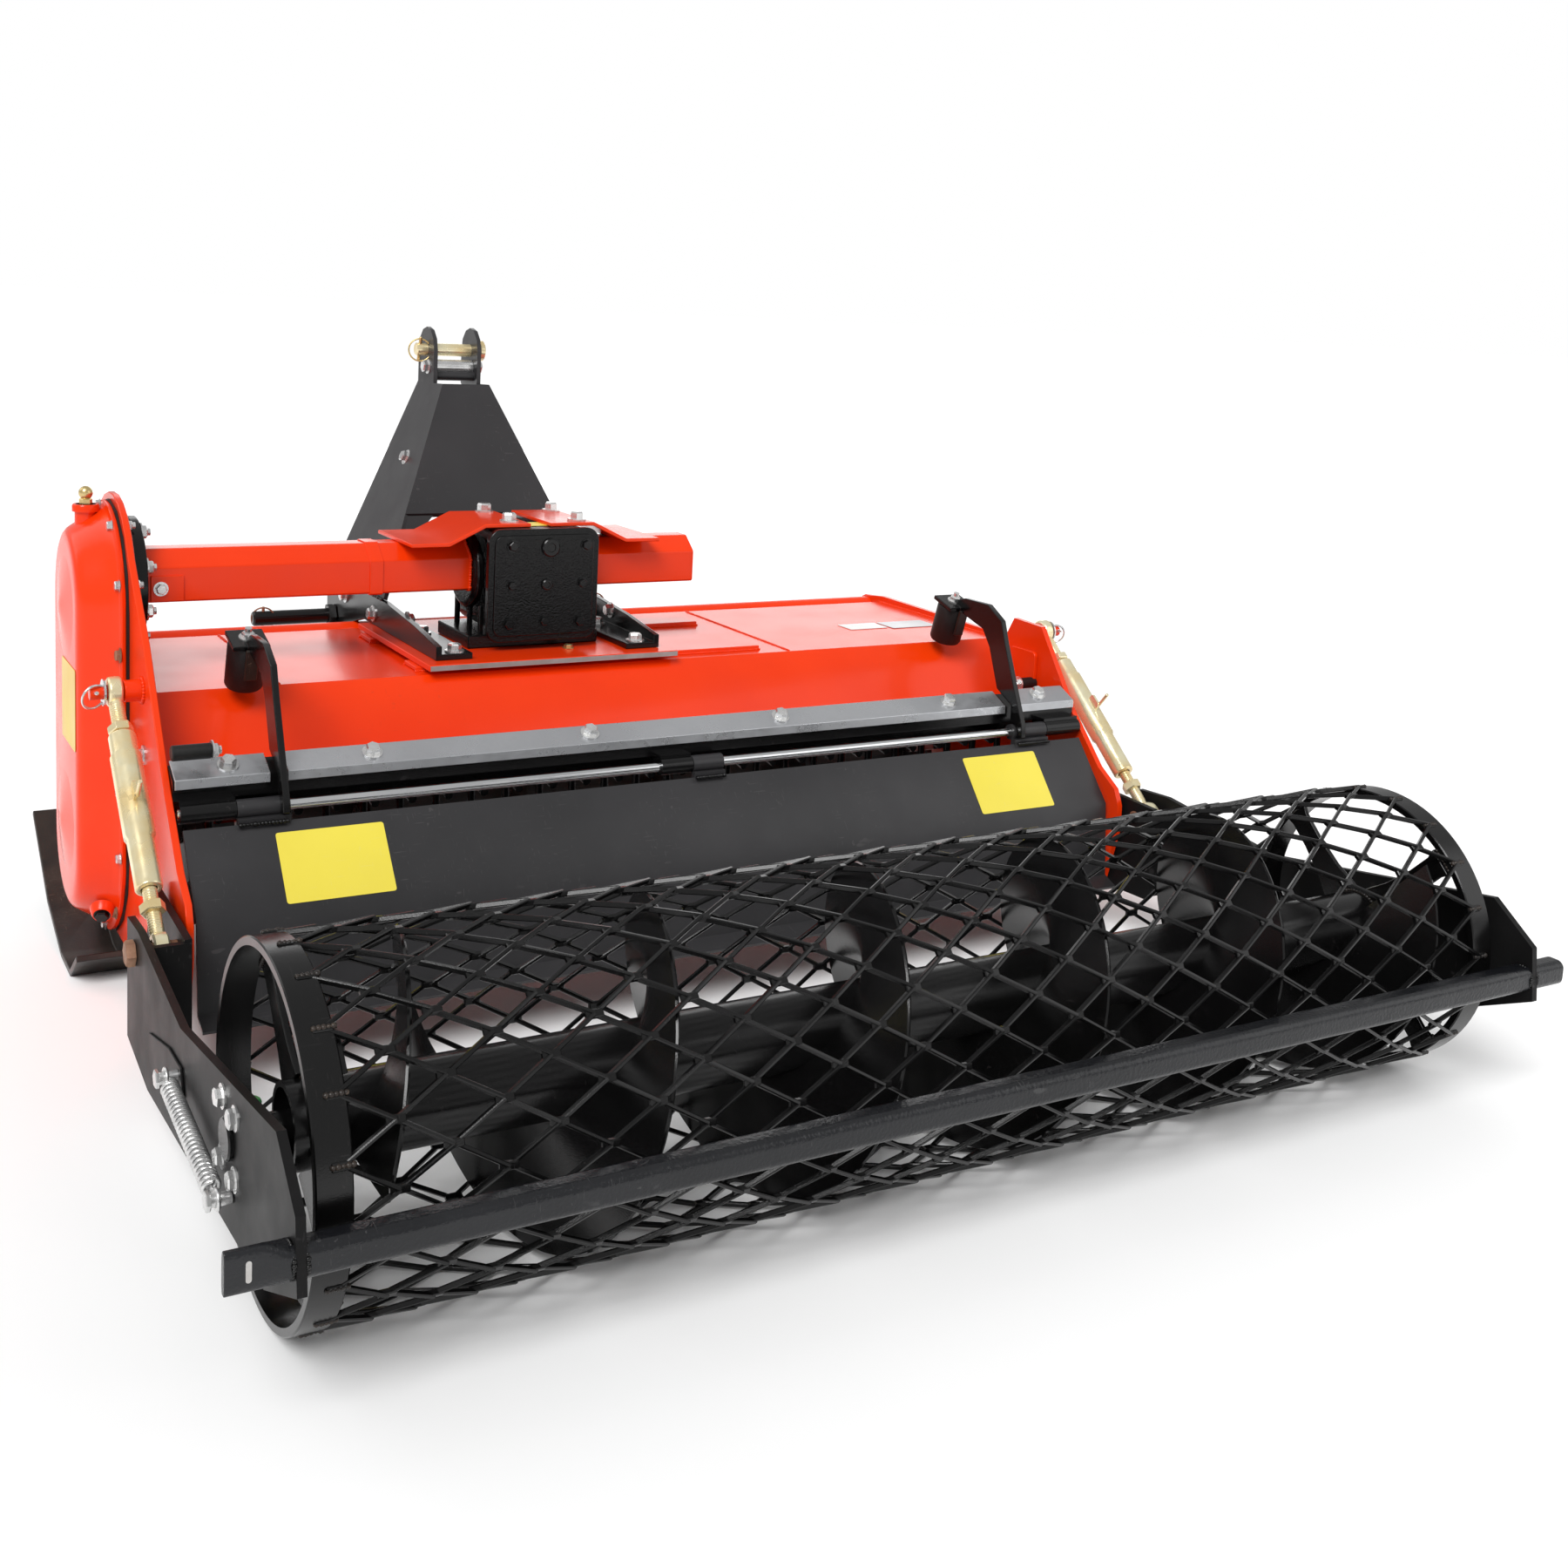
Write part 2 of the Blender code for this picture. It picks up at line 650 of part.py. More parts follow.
def build_gearbox():
    low_x, high_x = HITCH_X - GEARBOX_HALF, HITCH_X + GEARBOX_HALF
    body = box_mesh((low_x, GEARBOX_REAR_Y, GEARBOX_LOW_Z), (high_x, GEARBOX_FRONT_Y, GEARBOX_HIGH_Z))
    gearbox = rounded(add_piece("gearbox", body, "black"), 0.012)
    nose_y = GEARBOX_FRONT_Y + 0.025
    foot_z = BASE_TOP_Z + SEAT
    join(
        gearbox,
        cross_bar(HITCH_X - GEARBOX_HUB_HALF, HITCH_X + GEARBOX_HUB_HALF, DRIVE_Y, DRIVE_Z, 0.050, 20),
        bar_mesh((HITCH_X, GEARBOX_FRONT_Y - 0.02, DRIVE_Z), (HITCH_X, nose_y, DRIVE_Z), 0.042, 20),
        box_mesh((HITCH_X - 0.095, 0.0, foot_z), (HITCH_X + 0.095, 0.118, GEARBOX_LOW_Z + 0.016)),
    )
    cover_y = GEARBOX_REAR_Y - SEAT
    cover = box_mesh(
        (HITCH_X - COVER_HALF, cover_y - COVER_THICK, GEARBOX_LOW_Z - 0.004),
        (HITCH_X + COVER_HALF, cover_y, GEARBOX_HIGH_Z),
    )
    shaft_y = nose_y + SEAT
    shaft = bar_mesh((HITCH_X, shaft_y, DRIVE_Z), (HITCH_X, shaft_y + PTO_LENGTH, DRIVE_Z), PTO_R, 18)
    return [
        gearbox,
        rounded(add_piece("gearbox_cover", cover, "black"), 0.006),
        add_piece("pto_shaft", shaft, "zinc"),
    ]


def build_saddles():
    """Two gull-wing brackets from the gearbox top down onto the drive tube."""
    pieces = []
    pad_z = GEARBOX_HIGH_Z + SEAT
    seat_z = DRIVE_Z + DRIVE_HALF_HEIGHT + SEAT
    for tag, side in (("left", -1), ("right", 1)):
        run = ((0.014, pad_z), (0.078, pad_z), (0.128, seat_z), (0.180, seat_z))
        profile = [(HITCH_X + side * reach, z) for reach, z in run]
        sheet = sheet_mesh(swept_surface(profile, -0.012, 0.128, 1), 0.005, 1)
        pieces.append(add_piece(f"saddle_{tag}", sheet, "orange"))
    return pieces


# Hitch


def build_base():
    """Base plate of the hitch on two flat stiffeners across the hood."""
    low_z = HOOD_TOP_Z + SEAT
    pieces = []
    for tag, rear_y, front_y in (("rear", -0.050, -0.004), ("front", 0.140, 0.186)):
        mesh = box_mesh(
            (HITCH_X - BASE_HALF - 0.006, rear_y, low_z),
            (HITCH_X + BASE_HALF + 0.150, front_y, low_z + STIFFENER_THICK),
        )
        pieces.append(add_piece(f"hood_stiffener_{tag}", mesh, "orange"))
    plate = box_mesh(
        (HITCH_X - BASE_HALF, BASE_REAR_Y, BASE_TOP_Z - BASE_THICK),
        (HITCH_X + BASE_HALF, BASE_FRONT_Y, BASE_TOP_Z),
    )
    return pieces + [add_piece("base_plate", plate, "orange")]


def build_rails():
    """Hitch rails: an upright web over the front tube, with a foot and a pin hole."""
    foot_z = BASE_TOP_Z + SEAT
    outline = [
        (-0.060, foot_z),
        (-0.060, foot_z + 0.018),
        (0.030, RAIL_TOP_Z - 0.010),
        (0.150, RAIL_TOP_Z),
        (RAIL_FRONT_Y - 0.012, RAIL_TOP_Z),
        (RAIL_FRONT_Y, RAIL_TOP_Z - 0.014),
        (RAIL_FRONT_Y, LOWER_PIN_Z - 0.020),
        (RAIL_FRONT_Y - 0.016, LOWER_PIN_Z - 0.034),
        (LOWER_PIN_Y - 0.026, LOWER_PIN_Z - 0.034),
        (LOWER_PIN_Y - 0.050, LOWER_PIN_Z - 0.004),
        (BASE_FRONT_Y + 0.030, foot_z),
    ]
    pin_hole = (LOWER_PIN_Y, LOWER_PIN_Z, LOWER_PIN_R + SEAT)
    pieces = []
    for tag, side in (("left", -1), ("right", 1)):
        near_x = HITCH_X + side * RAIL_OFFSET
        far_x = near_x + side * RAIL_THICK
        rail = add_piece(f"hitch_rail_{tag}", plate_mesh(outline, near_x, far_x, [pin_hole]), "black")
        low_x, high_x = sorted((near_x - side * 0.042, near_x + side * 0.004))
        join(rail, box_mesh((low_x, -0.060, foot_z), (high_x, 0.200, foot_z + RAIL_THICK)))
        cut(rail, cross_bar(-0.5, 0.5, FRONT_TUBE_Y, FRONT_TUBE_Z, FRONT_TUBE_R + SEAT))
        pieces.append(rail)
    return pieces


def mast_flank(bm, side):
    """One flank of the mast, with its ear above the fold; returns its rear edge."""
    low_z = RAIL_TOP_Z + 0.0016
    low_offset = RAIL_OFFSET + RAIL_THICK / 2

    def at(y, z):
        share = max(0, (MAST_FOLD_Z - z) / (MAST_FOLD_Z - low_z))
        return bm.verts.new((HITCH_X + side * (EAR_OFFSET + share * (low_offset - EAR_OFFSET)), y, z))

    share = (MAST_FOLD_Z - MAST_SPLIT_Z) / (MAST_FOLD_Z - low_z)
    split_y = MAST_REAR_TOP_Y + share * (MAST_REAR_LOW_Y - MAST_REAR_TOP_Y)
    ear_rear = at(TOP_PIN_Y - EAR_R, MAST_FOLD_Z)
    ear_front = at(TOP_PIN_Y + EAR_R, MAST_FOLD_Z)
    top = at(MAST_REAR_TOP_Y, MAST_FOLD_Z)
    split = at(split_y, MAST_SPLIT_Z)
    low = [at(MAST_REAR_LOW_Y, low_z), at(MAST_FRONT_LOW_Y, low_z)]
    bm.faces.new([top, split, *low, ear_front, ear_rear])
    crown = [at(y, z) for y, z in arc((TOP_PIN_Y, TOP_PIN_Z), EAR_R, 0, 180, 6)]
    bm.faces.new([ear_rear, ear_front, *crown])
    return top, split


def build_mast():
    bm = bmesh.new()
    left_top, left_split = mast_flank(bm, -1)
    right_top, right_split = mast_flank(bm, 1)
    bm.faces.new((left_top, right_top, right_split, left_split))
    mast = add_piece("mast", sheet_mesh(mesh_from(bm), MAST_THICK, 0), "charcoal")
    spacer = (HITCH_X - EAR_OFFSET, HITCH_X + EAR_OFFSET, TOP_PIN_Y - 0.018, TOP_PIN_Z - 0.038, 0.007)
    join(mast, cross_bar(*spacer, 12))
    cut(mast, cross_bar(HITCH_X - 0.06, HITCH_X + 0.06, TOP_PIN_Y, TOP_PIN_Z, TOP_PIN_R + SEAT))
    pin = cross_bar(HITCH_X - TOP_PIN_HALF, HITCH_X + TOP_PIN_HALF, TOP_PIN_Y, TOP_PIN_Z, TOP_PIN_R)
    pieces = [mast, add_piece("top_link_pin", pin, "yellow_zinc")]
    for tag, side in (("left", -1), ("right", 1)):
        ends = sorted((HITCH_X + side * (RAIL_OFFSET - 0.030), HITCH_X + side * LOWER_PIN_REACH))
        pin = cross_bar(*ends, LOWER_PIN_Y, LOWER_PIN_Z, LOWER_PIN_R)
        pieces.append(add_piece(f"lower_pin_{tag}", pin, "black"))
    return pieces


# Skids and sorting grid


def build_skids():
    """Bent runner under each side, with a web inside the side plate."""
    profile = [(0.345, 0.118), (0.215, 0.034), (0.100, 0.0), (0.030, 0.0), (-0.022, 0.037)]
    web = [(0.030, 0.004), (0.100, 0.004), (0.190, 0.0305), (0.190, 0.120), (-0.012, 0.120), (-0.012, 0.034)]
    inner_x = INNER_HALF - SEAT
    pieces = []
    for tag, side in (("left", -1), ("right", 1)):
        low, high = sorted((side * SKID_OUTER_X, side * (inner_x - SKID_THICK)))
        sheet = sheet_mesh(swept_surface(profile, low, high, 0), SKID_THICK, 1)
        skid = add_piece(f"skid_{tag}", sheet, "black")
        join(skid, plate_mesh(web, side * inner_x, side * (inner_x - SKID_THICK)))
        pieces.append(skid)
    return pieces


def build_grid():
    """Comb of bent bars that holds the stones back behind the rotor."""
    reach = INNER_HALF - SEAT
    high_z = HOOD_LEDGE_Z - HOOD_THICK - SEAT
    carrier = box_mesh((-reach, GRID_Y - 0.010, high_z - 0.020), (reach, GRID_Y + 0.010, high_z))
    grid = add_piece("sorting_grid", carrier, "black")
    bars = bmesh.new()
    for number in range(GRID_BARS):
        x = GRID_HALF * (2 * number / (GRID_BARS - 1) - 1)
        points = ((GRID_Y - 0.038, 0.270), (GRID_Y + 0.006, 0.276), (GRID_Y, 0.070))
        bars.from_mesh(rod_mesh([(x, y, z) for y, z in points], GRID_BAR_R))
    return [join(grid, mesh_from(bars))]


# Rotor


def rotor_profile():
    """Tube with stub ends and a disc at each flange, as (x, radius)."""
    half = [(-ROTOR_STUB_HALF, 0), (-ROTOR_STUB_HALF, ROTOR_STUB_R), (-ROTOR_TUBE_HALF, ROTOR_STUB_R)]
    half.append((-ROTOR_TUBE_HALF, ROTOR_TUBE_R))
    discs = []
    for x in FLANGE_X:
        low, high = x - FLANGE_THICK / 2, x + FLANGE_THICK / 2
        discs += [(low, ROTOR_TUBE_R), (low, FLANGE_R), (high, FLANGE_R), (high, ROTOR_TUBE_R)]
    return half + discs + [(-x, radius) for x, radius in reversed(half)]


def blade_mesh(x, angle, hand):
    """A hoe blade: a shank bolted on the flange, its tip bent along X."""
    tip = ROTOR_TIP_R - 0.003
    reach = hand * BLADE_REACH
    outline = [
        (0, FLANGE_R - 0.035),
        (hand * BLADE_THICK, FLANGE_R - 0.035),
        (hand * BLADE_THICK, tip - 0.027),
        (reach, tip - BLADE_THICK),
        (reach, tip),
        (0, tip),
    ]
    mesh = flat_mesh([outline], BLADE_WIDTH)
    stand = Matrix(((1, 0, 0, 0), (0, 0, -1, 0), (0, 1, 0, 0), (0, 0, 0, 1)))
    foot_x = x + hand * (FLANGE_THICK / 2 - 0.001)
    place = Matrix.Translation((foot_x, ROTOR_Y, ROTOR_Z)) @ Matrix.Rotation(angle, 4, "X")
    mesh.transform(place @ stand)
    return mesh


def build_rotor():
    rotor = add_piece("rotor", turned_mesh(rotor_profile(), ROTOR_Y, ROTOR_Z), "black")
    blades = bmesh.new()
    for number, x in enumerate(FLANGE_X):
        for step in range(BLADES_PER_FLANGE):
            angle = math.tau * (step + number / len(FLANGE_X)) / BLADES_PER_FLANGE
            hand = 1 if (step + number) % 2 else -1
            if number in (0, len(FLANGE_X) - 1):
                hand = 1 if x < 0 else -1
            blades.from_mesh(blade_mesh(x, angle, hand))
    return [join(rotor, mesh_from(blades))]


def build_rotor_bearing():
    """Flanged housing on the right side plate, hollow for the rotor's stub."""
    low_x = OUTER_HALF + SEAT
    mouth = ROTOR_STUB_R + RUNNING
    profile = [
        (low_x, mouth),
        (low_x, 0.060),
        (low_x + 0.012, 0.060),
        (low_x + 0.018, 0.044),
        (low_x + HOUSING_DEPTH, 0.040),
        (low_x + HOUSING_DEPTH, 0.0),
        (low_x + HOUSING_DEPTH - 0.010, 0.0),
        (low_x + HOUSING_DEPTH - 0.010, mouth),
    ]
    mesh = turned_mesh(profile, ROTOR_Y, ROTOR_Z)
    return [add_piece("rotor_bearing_right", mesh, "casting")]


# Gate


def build_gate():
    """Levelling gate: sloping panel, upright panel and a turned-out lip."""
    profile = [
        (HINGE_Y - 0.010, HINGE_Z - 0.016),
        (GATE_FOLD_Y, GATE_FOLD_Z),
        (GATE_FOLD_Y - 0.010, GATE_LOW_Z),
        (GATE_FOLD_Y - 0.034, GATE_LOW_Z - 0.010),
    ]
    sheet = sheet_mesh(swept_surface(profile, -GATE_HALF, GATE_HALF, 0), GATE_THICK, 0)
    gate = add_piece("gate", sheet, "charcoal")
    for low, high in GATE_SLEEVES:
        web = box_mesh((low, HINGE_Y - 0.014, HINGE_Z - 0.024), (high, HINGE_Y - 0.004, HINGE_Z - 0.008))
        join(gate, web, cross_bar(low, high, HINGE_Y, HINGE_Z, SLEEVE_R, 12))
    return [cut(gate, cross_bar(-OUTER_HALF, OUTER_HALF, HINGE_Y, HINGE_Z, HINGE_ROD_R + RUNNING, 10))]


def build_stop_arms():
    """Arms from the gate's sleeves up through the strip's gaps to rubber buffers."""
    seat = arc((HINGE_Y, HINGE_Z), SLEEVE_R + SEAT, 215, 95, 5)
    front = [(-0.2625, 0.3010), (-0.2620, 0.3220), (-0.2275, 0.3390), (-0.204, 0.395), (-0.186, 0.418)]
    tip = [(-0.140, 0.4305), (-0.112, 0.4415), (-0.113, 0.4470), (-0.140, 0.4550)]
    rear = [(-0.195, 0.455), (-0.228, 0.437), (-0.240, 0.405), (-0.274, 0.330), (-0.288, 0.300)]
    rear.append((-0.290, 0.281))
    tilt = math.radians(BUFFER_TILT)
    down = Vector((0, math.sin(tilt), -math.cos(tilt)))
    crown = Vector((0, -0.1086, 0.4396))
    pieces = []
    for tag, side in (("left", -1), ("right", 1)):
        x = side * STOP_X
        mesh = plate_mesh(seat + front + tip + rear, x - STOP_THICK / 2, x + STOP_THICK / 2)
        arm = add_piece(f"stop_arm_{tag}", mesh, "black")
        top = crown + Vector((x, 0, 0))
        pad = box_mesh((-0.022, -0.022, SEAT), (0.022, 0.022, 0.006 + SEAT))
        pad.transform(Matrix.Translation(top) @ Matrix.Rotation(tilt, 4, "X"))
        join(arm, pad)
        buffer = bar_mesh(top, top + down * BUFFER_LENGTH, BUFFER_R, 18)
        pieces += [arm, add_piece(f"buffer_{tag}", buffer, "rubber")]
    return pieces


# Depth frame


def build_depth_frame():
    """Arms with turnbuckle brackets, rear bar, roller bearings and springs."""
    outer = [
        (-0.345, 0.075),
        (-0.345, 0.205),
        (-0.402, 0.208),
        (-0.600, 0.185),
        (BAR_Y + 0.0455, 0.236),
        (BAR_Y - 0.0095, 0.195),
        (BAR_Y - 0.0165, 0.135),
        (BAR_Y + 0.0755, 0.092),
        (-0.450, 0.060),
    ]
    inner = [(-0.234, 0.078), (-0.230, 0.140), (-0.252, 0.205), (-0.420, 0.200)]
    inner += [(-0.420, 0.070), (-0.300, 0.066)]
    link_hole = (LINK_LOW_Y, LINK_LOW_Z, LINK_PIN_R + SEAT)
    holes = [(BAR_Y, BAR_Z, BAR_R + SEAT), (ROLLER_Y, ROLLER_Z, CORE_STUB_R + 0.004), link_hole]
    pieces = []
    for tag, side in (("left", -1), ("right", 1)):
        outer_ends = (side * ARM_OUTER_X, side * (ARM_OUTER_X + ARM_THICK))
        inner_ends = (side * ARM_INNER_X, side * (ARM_INNER_X + ARM_THICK))
        arm = add_piece(f"depth_arm_{tag}", plate_mesh(outer, *outer_ends, holes), "charcoal")
        inner_holes = [(PIVOT_Y, PIVOT_Z, PIVOT_PIN_R + RUNNING), link_hole]
        join(
            arm,
            plate_mesh(inner, *inner_ends, inner_holes),
            mirrored_box(side, ARM_INNER_X + 0.001, ARM_OUTER_X + 0.004, (-0.421, 0.074), (-0.413, 0.196)),
        )
        tip_x, head_x = ARM_INNER_X - 0.003, ARM_OUTER_X + ARM_THICK + 2 * SEAT
        pin = turned_mesh(
            [(side * x, radius) for x, radius in (
                (tip_x, 0), (tip_x, LINK_PIN_R), (head_x, LINK_PIN_R),
                (head_x, 0.014), (head_x + 0.0094, 0.014), (head_x + 0.0094, 0),
            )],
            LINK_LOW_Y,
            LINK_LOW_Z,
            12,
        )
        bearing_x = ARM_OUTER_X - SEAT
        bore = CORE_STUB_R + RUNNING
        bearing = turned_mesh(
            [(side * x, radius) for x, radius in (
                (bearing_x, bore), (bearing_x, 0.038), (bearing_x - 0.007, 0.038),
                (bearing_x - 0.012, 0.025), (bearing_x - 0.015, 0.025), (bearing_x - 0.015, bore),
            )],
            ROLLER_Y,
            ROLLER_Z,
        )
        pieces += [
            arm,
            add_piece(f"turnbuckle_pin_{tag}", pin, "yellow_zinc"),
            add_piece(f"roller_bearing_{tag}", bearing, "casting"),
            build_spring(tag, side),
        ]
    bar = add_piece("rear_bar", cross_bar(-BAR_HALF, BAR_HALF, BAR_Y, BAR_Z, BAR_R, 12), "black")
    flat = box_mesh(
        (-BAR_HALF + 0.0005, BAR_Y - 0.005, BAR_Z - 0.018),
        (-BAR_HALF + 0.0380, BAR_Y + 0.005, BAR_Z + 0.018),
    )
    join(bar, flat)
    return pieces + [bar]


def build_spring(tag, side):
    """Scraper spring: the outer form of its coils, on two studs on the arm."""
    x = side * (ARM_OUTER_X + ARM_THICK + 0.013)
    ends = [Vector((x, ROLLER_Y + 0.187, 0.140)), Vector((x, ROLLER_Y - 0.013, 0.120))]
    coil = add_piece(f"scraper_spring_{tag}", bar_mesh(*ends, SPRING_R, 12), "zinc")
    for end in ends:
        root_x = side * (ARM_OUTER_X + ARM_THICK + SEAT)
        join(coil, cross_bar(*sorted((root_x, x + side * 0.010)), end.y, end.z, 0.0065, 12))
    return coil


def build_pivot_pins():
    """Pins on the side plates that carry the depth frame."""
    head_x = ARM_INNER_X + ARM_THICK + STEP_PLAY
    profile = (
        (INNER_HALF, 0),
        (INNER_HALF, PIVOT_PIN_R),
        (head_x, PIVOT_PIN_R),
        (head_x, PIVOT_HEAD_R),
        (head_x + PIVOT_HEAD_THICK, PIVOT_HEAD_R),
        (head_x + PIVOT_HEAD_THICK, 0),
    )
    return [
        add_piece(
            f"pivot_pin_{tag}",
            turned_mesh([(side * x, radius) for x, radius in profile], PIVOT_Y, PIVOT_Z, 12),
            "zinc",
        )
        for tag, side in (("left", -1), ("right", 1))
    ]


# Turnbuckles: places along the line from the upper pin to the lower one
BARREL_START, BARREL_END = 0.062, 0.262
BORE_START = 0.132
ROD_START = 0.150
LOCK_NUT_START = 0.279


def build_turnbuckle(tag, side):
    """Barrel with its upper eye, and the lower rod that screws into it."""
    top = Vector((side * LINK_X, LINK_TOP_Y, LINK_TOP_Z))
    low = Vector((side * LINK_X, LINK_LOW_Y, LINK_LOW_Z))
    along = (low - top).normalized()
    length = (low - top).length
    half = EYE_WIDTH / 2

    def stretch(start, end, radius, sides=12):
        return bar_mesh(top + along * start, top + along * end, radius, sides)

    def across(point, radius, width):
        return cross_bar(point.x - width, point.x + width, point.y, point.z, radius, 14)

    barrel = add_piece(f"turnbuckle_barrel_{tag}", stretch(BARREL_START, BARREL_END, 0.0145), "yellow_zinc")
    join(
        barrel,
        stretch(0.010, BARREL_START + 0.01, 0.009),
        stretch(BARREL_START - 0.012, BARREL_START + 0.001, 0.0155, 6),
        across(top, EYE_R, half),
    )
    cut(barrel, stretch(BORE_START, BARREL_END + 0.01, 0.0085), across(top, LINK_PIN_R + RUNNING, 0.02))
    rod = add_piece(f"turnbuckle_rod_{tag}", stretch(ROD_START, length - 0.010, 0.008), "yellow_zinc")
    join(rod, stretch(LOCK_NUT_START, LOCK_NUT_START + 0.012, 0.0135, 6), across(low, EYE_R, half))
    cut(rod, across(low, LINK_PIN_R + EYE_DRIFT, 0.02))
    return barrel, rod


# Roller


def mesh_lattice():
    """Expanded mesh rolled to a cylinder.

    At each knot a rhombus faces the axis and a point stands out from its middle. Each strand
    runs from a knot to the next column's knots and has a triangular section.
    """
    pitch = math.tau / MESH_ROWS
    step = 2 * MESH_HALF / (MESH_COLUMNS - 1)
    outer_r = ROLLER_R - 0.0008
    inner_r = outer_r - MESH_DEPTH
    rise = outer_r * pitch / 2
    scale = STRAND_WIDTH * math.hypot(step, rise) / (2 * step * rise)
    bm = bmesh.new()

    def vert(x, angle, radius):
        return bm.verts.new((x, ROLLER_Y + radius * math.cos(angle), ROLLER_Z + radius * math.sin(angle)))

    knots = []
    for column in range(MESH_COLUMNS):
        x = column * step - MESH_HALF
        knots.append([])
        for row in range(MESH_ROWS):
            angle = (row + column % 2 / 2) * pitch
            reach, turn = scale * step, scale * pitch / 2
            knots[-1].append({
                "out": vert(x, angle, outer_r),
                "north": vert(x, angle + turn, inner_r),
                "south": vert(x, angle - turn, inner_r),
                "east": vert(x + reach, angle, inner_r),
                "west": vert(x - reach, angle, inner_r),
            })
    for column, ring in enumerate(knots):
        for row, a in enumerate(ring):
            bm.faces.new((a["north"], a["east"], a["south"], a["west"]))
            for at_end, end in ((column == 0, "west"), (column == MESH_COLUMNS - 1, "east")):
                if at_end:
                    bm.faces.new((a["out"], a["north"], a[end]))
                    bm.faces.new((a["out"], a[end], a["south"]))
            if column == MESH_COLUMNS - 1:
                continue
            up = row + column % 2
            strands = ((up, "north", "south"), (up - 1, "south", "north"))
            for target, near, far in strands:
                b = knots[column + 1][target % MESH_ROWS]
                bm.faces.new((a[near], a["east"], b[far], b["west"]))
                bm.faces.new((a[near], b["west"], b["out"], a["out"]))
                bm.faces.new((a["east"], a["out"], b["out"], b[far]))
    return mesh_from(bm)


def flight_mesh():
    """Continuous helical flight: a ribbon wound round the core."""
    turns = 2 * FLIGHT_HALF / FLIGHT_PITCH
    count = round(turns * 16)
    bm = bmesh.new()
    pairs = []
    for i in range(count + 1):
        angle = math.tau * turns * i / count
        x = 2 * FLIGHT_HALF * i / count - FLIGHT_HALF
        y, z = -math.cos(angle), math.sin(angle)
        pairs.append([
            bm.verts.new((x, ROLLER_Y + y * radius, ROLLER_Z + z * radius))
            for radius in (CORE_R - 0.006, FLIGHT_R)
        ])
    for (a, b), (d, c) in zip(pairs, pairs[1:]):
        bm.faces.new((a, b, c, d))
    return sheet_mesh(mesh_from(bm), FLIGHT_THICK, 0)


def build_roller():
    """Cage of expanded mesh on two rings, and the core with flight and spokes."""
    cage = add_piece("roller_cage", mesh_lattice(), "black")
    for side in (-1, 1):
        ends = [side * (RING_OUTER_X - RING_WIDTH), side * RING_OUTER_X]
        inner_r = ROLLER_R - RING_THICK
        profile = [(ends[0], inner_r), (ends[0], ROLLER_R), (ends[1], ROLLER_R), (ends[1], inner_r)]
        join(cage, turned_mesh(profile, ROLLER_Y, ROLLER_Z, 2 * MESH_ROWS))
    half = [(-CORE_STUB_HALF, 0), (-CORE_STUB_HALF, CORE_STUB_R), (-CORE_HALF, CORE_STUB_R)]
    half.append((-CORE_HALF, CORE_R))
    profile = half + [(-x, radius) for x, radius in reversed(half)]
    core = add_piece("roller_core", turned_mesh(profile, ROLLER_Y, ROLLER_Z), "black")
    spokes = bmesh.new()
    for side in (-1, 1):
        for number in range(SPOKES):
            near_x = RING_OUTER_X - 0.036
            low_yz, high_yz = (-0.015, CORE_R - 0.008), (0.015, ROLLER_R - RING_THICK - 0.0015)
            bar = mirrored_box(side, near_x, near_x + 0.006, low_yz, high_yz)
            turn = Matrix.Rotation(math.tau * (number + 0.5) / SPOKES, 4, "X")
            bar.transform(Matrix.Translation((0, ROLLER_Y, ROLLER_Z)) @ turn)
            spokes.from_mesh(bar)
    join(core, flight_mesh(), mesh_from(spokes))
    return [cage, core]


# Assembly


def main():
    clear_scene()
    new_collection("stone_burier")
    new_collection("helpers")
    root = new_empty("machine", None, 0, 0)
    root.location = (0, -MIDDLE_Y, 0)
    fixed = (
        build_side_plates()
        + build_hood()
        + build_cross_tube()
        + build_clamp_strips()
        + build_chain_case()
        + build_drive()
        + build_gearbox()
        + build_saddles()
        + build_base()
        + build_rails()
        + build_mast()
        + build_skids()
        + build_grid()
        + build_rotor_bearing()
        + build_pivot_pins()
    )
    hang(fixed, root)
    hang(build_rotor(), new_empty("rotor_axis", root, ROTOR_Y, ROTOR_Z))
    hang(build_gate() + build_stop_arms(), new_empty("gate_axis", root, HINGE_Y, HINGE_Z))
    depth_axis = new_empty("depth_axis", root, PIVOT_Y, PIVOT_Z)
    hang(build_depth_frame(), depth_axis)
    hang(build_roller(), new_empty("roller_axis", depth_axis, ROLLER_Y, ROLLER_Z))
    for tag, side in (("left", -1), ("right", 1)):
        barrel, rod = build_turnbuckle(tag, side)
        link_axis = new_empty(f"link_axis_{tag}", root, LINK_TOP_Y, LINK_TOP_Z)
        hang([barrel], link_axis)
        hang([rod], new_empty(f"rod_axis_{tag}", link_axis, LINK_TOP_Y, LINK_TOP_Z))


if __name__ == "__main__":
    main()
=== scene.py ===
"""Looks of a three-point-linkage stone burier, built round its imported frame.

Sizes and places are in the machine's own coordinates, in metres: +X to the machine's right,
+Y towards the tractor, +Z up, with y = 0 just behind the rotor. A finished piece is shifted by
MACHINE_Y to the frame's place.
"""

import enum
import logging
import math
from collections.abc import Iterable, Sequence
from dataclasses import dataclass, field

import bmesh
import bpy
from mathutils import Euler, Matrix, Vector


